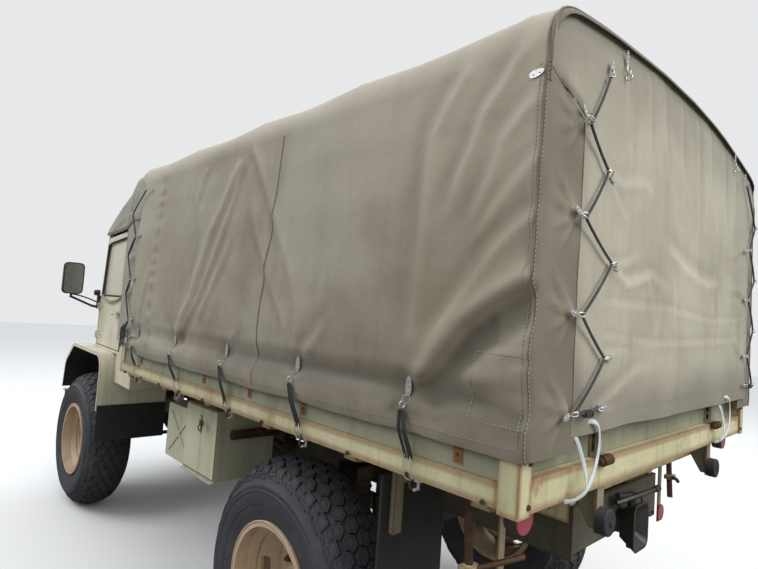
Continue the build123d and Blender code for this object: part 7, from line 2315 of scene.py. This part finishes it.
@dataclass
class BedTrim:
    """Hinge rollers, rivets and tie hooks of the bed, and the small parts under its tail."""

    finishes: Finishes
    rail_x: float = RAIL_X
    rail_low: float = RAIL_LOW_Z
    rail_high: float = RAIL_HIGH_Z
    board_x: float = 1.0435
    strap_x: float = 1.0475
    strap_ys: Sequence[float] = (-0.02, 0.775, 1.191, 1.567, 2.26)
    hook_ys: Sequence[float] = (-0.055, 0.505, 1.03, 1.568, 2.104)

    def build(self) -> None:
        """Every small part of the bed."""
        rust, bed, black = bmesh.new(), bmesh.new(), bmesh.new()
        self._sides(rust, bed)
        self._tail(rust, bed, black)
        mesh_object(rust, "bed_fittings", self.finishes.rusty)
        mesh_object(bed, "bed_straps", self.finishes.bed)
        mesh_object(black, "tail_fittings", self.finishes.cast)

    def _sides(self, rust: BMesh, bed: BMesh) -> None:
        """Rivets, board seams and tie hooks along both sides."""
        for side in (1, -1):
            outward = (float(side), 0.0, 0.0)
            for k in range(11):
                rivet = (side * self.rail_x, -0.25 + 0.26 * k, self.rail_low + 0.01)
                add_disc(rust, rivet, outward, 0.0075, 0.006, 8, 0.006)
            low_x, high_x = sorted((side * self.board_x, side * self.strap_x))
            for y in self.strap_ys:
                add_block(bed, (low_x, y - 0.015, self.rail_high), (high_x, y + 0.015, self.rail_high + 0.055), 0.001)
                add_disc(rust, (side * self.strap_x, y, self.rail_high + 0.022), outward, 0.006, 0.005, 8, 0.005)
            for y in self.hook_ys:
                line = ((1.05, 1.208), (1.056, 1.188), (1.04, 1.172), (1.024, 1.186))
                add_tube(rust, [(side * x, y, z) for x, z in line], 0.0042)

    def _tail(self, rust: BMesh, bed: BMesh, black: BMesh) -> None:
        """The tailgate's straps, the coupling's lever, rings, struts and the pipe's end."""
        back = (0.0, 1.0, 0.0)
        for x in (0.6, -0.545):
            add_disc(rust, (x, 2.461, 1.286), (1, 0, 0), 0.0165, 0.058, 18, None, 0.003)
            add_disc(rust, (x + 0.036, 2.461, 1.286), (1, 0, 0), 0.0105, 0.016, 8, 0.01, 0.001)
            add_block(bed, (x - 0.021, 2.417, 1.29), (x + 0.021, 2.424, 1.372), 0.002)
            for z in (1.318, 1.348):
                add_disc(rust, (x, 2.425, z), back, 0.0075, 0.007, 8, 0.006)
        for side in (1, -1):
            add_disc(black, (side * 0.93, 2.378, 1.162), back, 0.0405, 0.036, 28, 0.0405, 0.004)
            add_disc(black, (side * 0.558, 2.4665, 1.096), back, 0.012, 0.01, 6, 0.011, 0.001)
            for z in (1.225, 1.33):
                add_disc(rust, (side * 1.012, 2.4535, z), back, 0.0085, 0.007, 8, 0.007)
            add_tube(rust, [(side * 0.86, 2.17, 1.14), (side * 0.858, 2.18, 0.98), (side * 0.855, 2.19, 0.84)], 0.013)
            add_block(bed, (side * 0.86 - 0.03, 2.165, 0.93), (side * 0.86 + 0.03, 2.205, 0.952), 0.003)
            add_tube(rust, [(side * 0.858, 2.19, 0.94), (side * 0.79, 2.24, 0.955), (side * 0.7, 2.27, 0.965)], 0.009)
        add_tube(black, [(0.1, 2.3, 1.02), (0.02, 2.345, 1.045), (-0.14, 2.36, 1.05)], 0.0095)
        add_disc(black, (-0.14, 2.36, 1.05), (1, 0, 0), 0.013, 0.04, 14, 0.012, 0.003)
        CanvasHardware(black).ring(Vector((-0.12, 2.3, 0.985)), Vector((0.2, 1.0, 0.1)), 0.026, 0.004)
        add_tube(rust, [(0.47, 0.7, 1.01), (0.66, 0.7, 1.012), (0.83, 0.69, 1.01)], 0.024, sides=20, smooth=False)
        # a dark disc on the pipe's end: painted shade for its hollow inside
        add_disc(black, (0.8305, 0.69, 1.01), (1, 0, 0), 0.019, 0.003, 20)
        # a hasp on the tool box, and its rusty padlock ring
        add_block(rust, (0.935, 0.545, 1.045), (0.9395, 0.59, 1.07), 0.001)
        CanvasHardware(rust).ring(Vector((0.945, 0.568, 1.036)), Vector((1.0, 0.2, 0.0)), 0.013, 0.003)


@dataclass
class Seats:
    """Two seats with crowned, grooved cushions and backs, and welted edges."""

    finishes: Finishes
    seat_x: float = 0.38
    width: float = 0.44
    front_y: float = -1.0335
    base_z: float = 1.3315

    def _cushion(self, low: Vector, high: Vector, crown: float, axis: int, name: str) -> None:
        """One closed cushion, fullest in the middle of its face.

        Args:
            low: The lowest corner.
            high: The highest corner.
            crown: How far its face swells.
            axis: 2 where the face looks up, 1 where it looks forward.
            name: The piece's name.
        """
        work = bmesh.new()
        add_block(work, low, high)
        bmesh.ops.subdivide_edges(work, edges=work.edges[:], cuts=15, use_grid_fill=True)
        middle, half = (low + high) / 2, (high - low) / 2
        for vert in work.verts:
            share = [(vert.co[k] - middle[k]) / half[k] for k in range(3)]
            others = [k for k in range(3) if k != axis]
            full = max(0.0, (1 - abs(share[others[0]]) ** 3) * (1 - abs(share[others[1]]) ** 3))
            squeeze = max(abs(share[k]) for k in others) ** 8
            vert.co[axis] -= 0.3 * half[axis] * squeeze * share[axis]
            face = share[axis] if axis == 2 else -share[axis]
            if face > 0.6:
                groove = max(math.exp(-(((share[others[0]] - at) / 0.035) ** 2)) for at in (-0.36, 0.0, 0.36))
                sign = 1 if axis == 2 else -1
                vert.co[axis] += sign * (crown * full - 0.006 * groove * full)
            for k in others:
                vert.co[k] = middle[k] + (vert.co[k] - middle[k]) * (1 - 0.04 * abs(share[axis]) ** 4)
        bmesh.ops.smooth_vert(
            work, verts=work.verts[:], factor=0.4, use_axis_x=True, use_axis_y=True, use_axis_z=True
        )
        rim = 0.94
        level = high[axis] - 0.16 * half[axis] if axis == 2 else low[axis] + 0.16 * half[axis]
        a, b = [k for k in range(3) if k != axis]
        welt = []
        for sa, sb in ((1, 0.8), (0.8, 1), (-0.8, 1), (-1, 0.8), (-1, -0.8), (-0.8, -1), (0.8, -1), (1, -0.8)):
            point = Vector(middle)
            point[a] += sa * half[a] * rim
            point[b] += sb * half[b] * rim
            point[axis] = level
            welt.append(point)
        add_tube(work, welt, 0.005, cyclic=True)
        cushion = mesh_object(
            work, name, self.finishes.seat, replaces=("seat_pads",), sharp_deg=50.0
        )

    def build(self) -> None:
        """Both seats' cushions and backs."""
        for side, name in ((1, "left"), (-1, "right")):
            x0, x1 = side * self.seat_x - self.width / 2, side * self.seat_x + self.width / 2
            self._cushion(
                Vector((x0, self.front_y, self.base_z)), Vector((x1, self.front_y + 0.402, self.base_z + 0.088)),
                0.02, 2, f"seat_cushion_{name}",
            )
            self._cushion(
                Vector((x0 + 0.006, self.front_y + 0.332, self.base_z + 0.094)),
                Vector((x1 - 0.006, self.front_y + 0.402, self.base_z + 0.478)), 0.018, 1, f"seat_back_{name}",
            )


@dataclass
class Truck:
    """The whole truck, from its sub-assemblies."""

    finishes: Finishes

    def build(self) -> None:
        """Build and dress every sub-assembly."""
        CarriedParts(self.finishes).dress()
        section = CargoSection()
        cover = CargoCover(self.finishes, section)
        cover.build()
        RearFlap(self.finishes, section).build()
        CoverSeams(self.finishes, cover).build()
        SideStraps(self.finishes, cover).build()
        RearLacing(self.finishes).build()
        WebbingLoops(self.finishes).build()
        SoftTop(self.finishes, cover).build()
        CabTrim(self.finishes).build()
        BedTrim(self.finishes).build()
        Seats(self.finishes).build()
        for end, y in (("front", FRONT_AXLE_Y), ("rear", REAR_AXLE_Y)):
            for hand, side in (("left", 1), ("right", -1)):
                centre = (side * HUB_X, y, HUB_Z)
                Tyre(self.finishes).build(f"{end}_{hand}", centre, side)
                WheelTrim(self.finishes).build(f"{end}_{hand}", centre, side)


def main() -> None:
    """Build the scene."""
    random.seed(7)
    for stray in [item for item in bpy.data.objects if item.type in {"LIGHT", "CAMERA"}]:
        bpy.data.objects.remove(stray)
    truck = Truck(Finishes())
    truck.build()
    Studio().build()


if __name__ == "__main__":
    main()
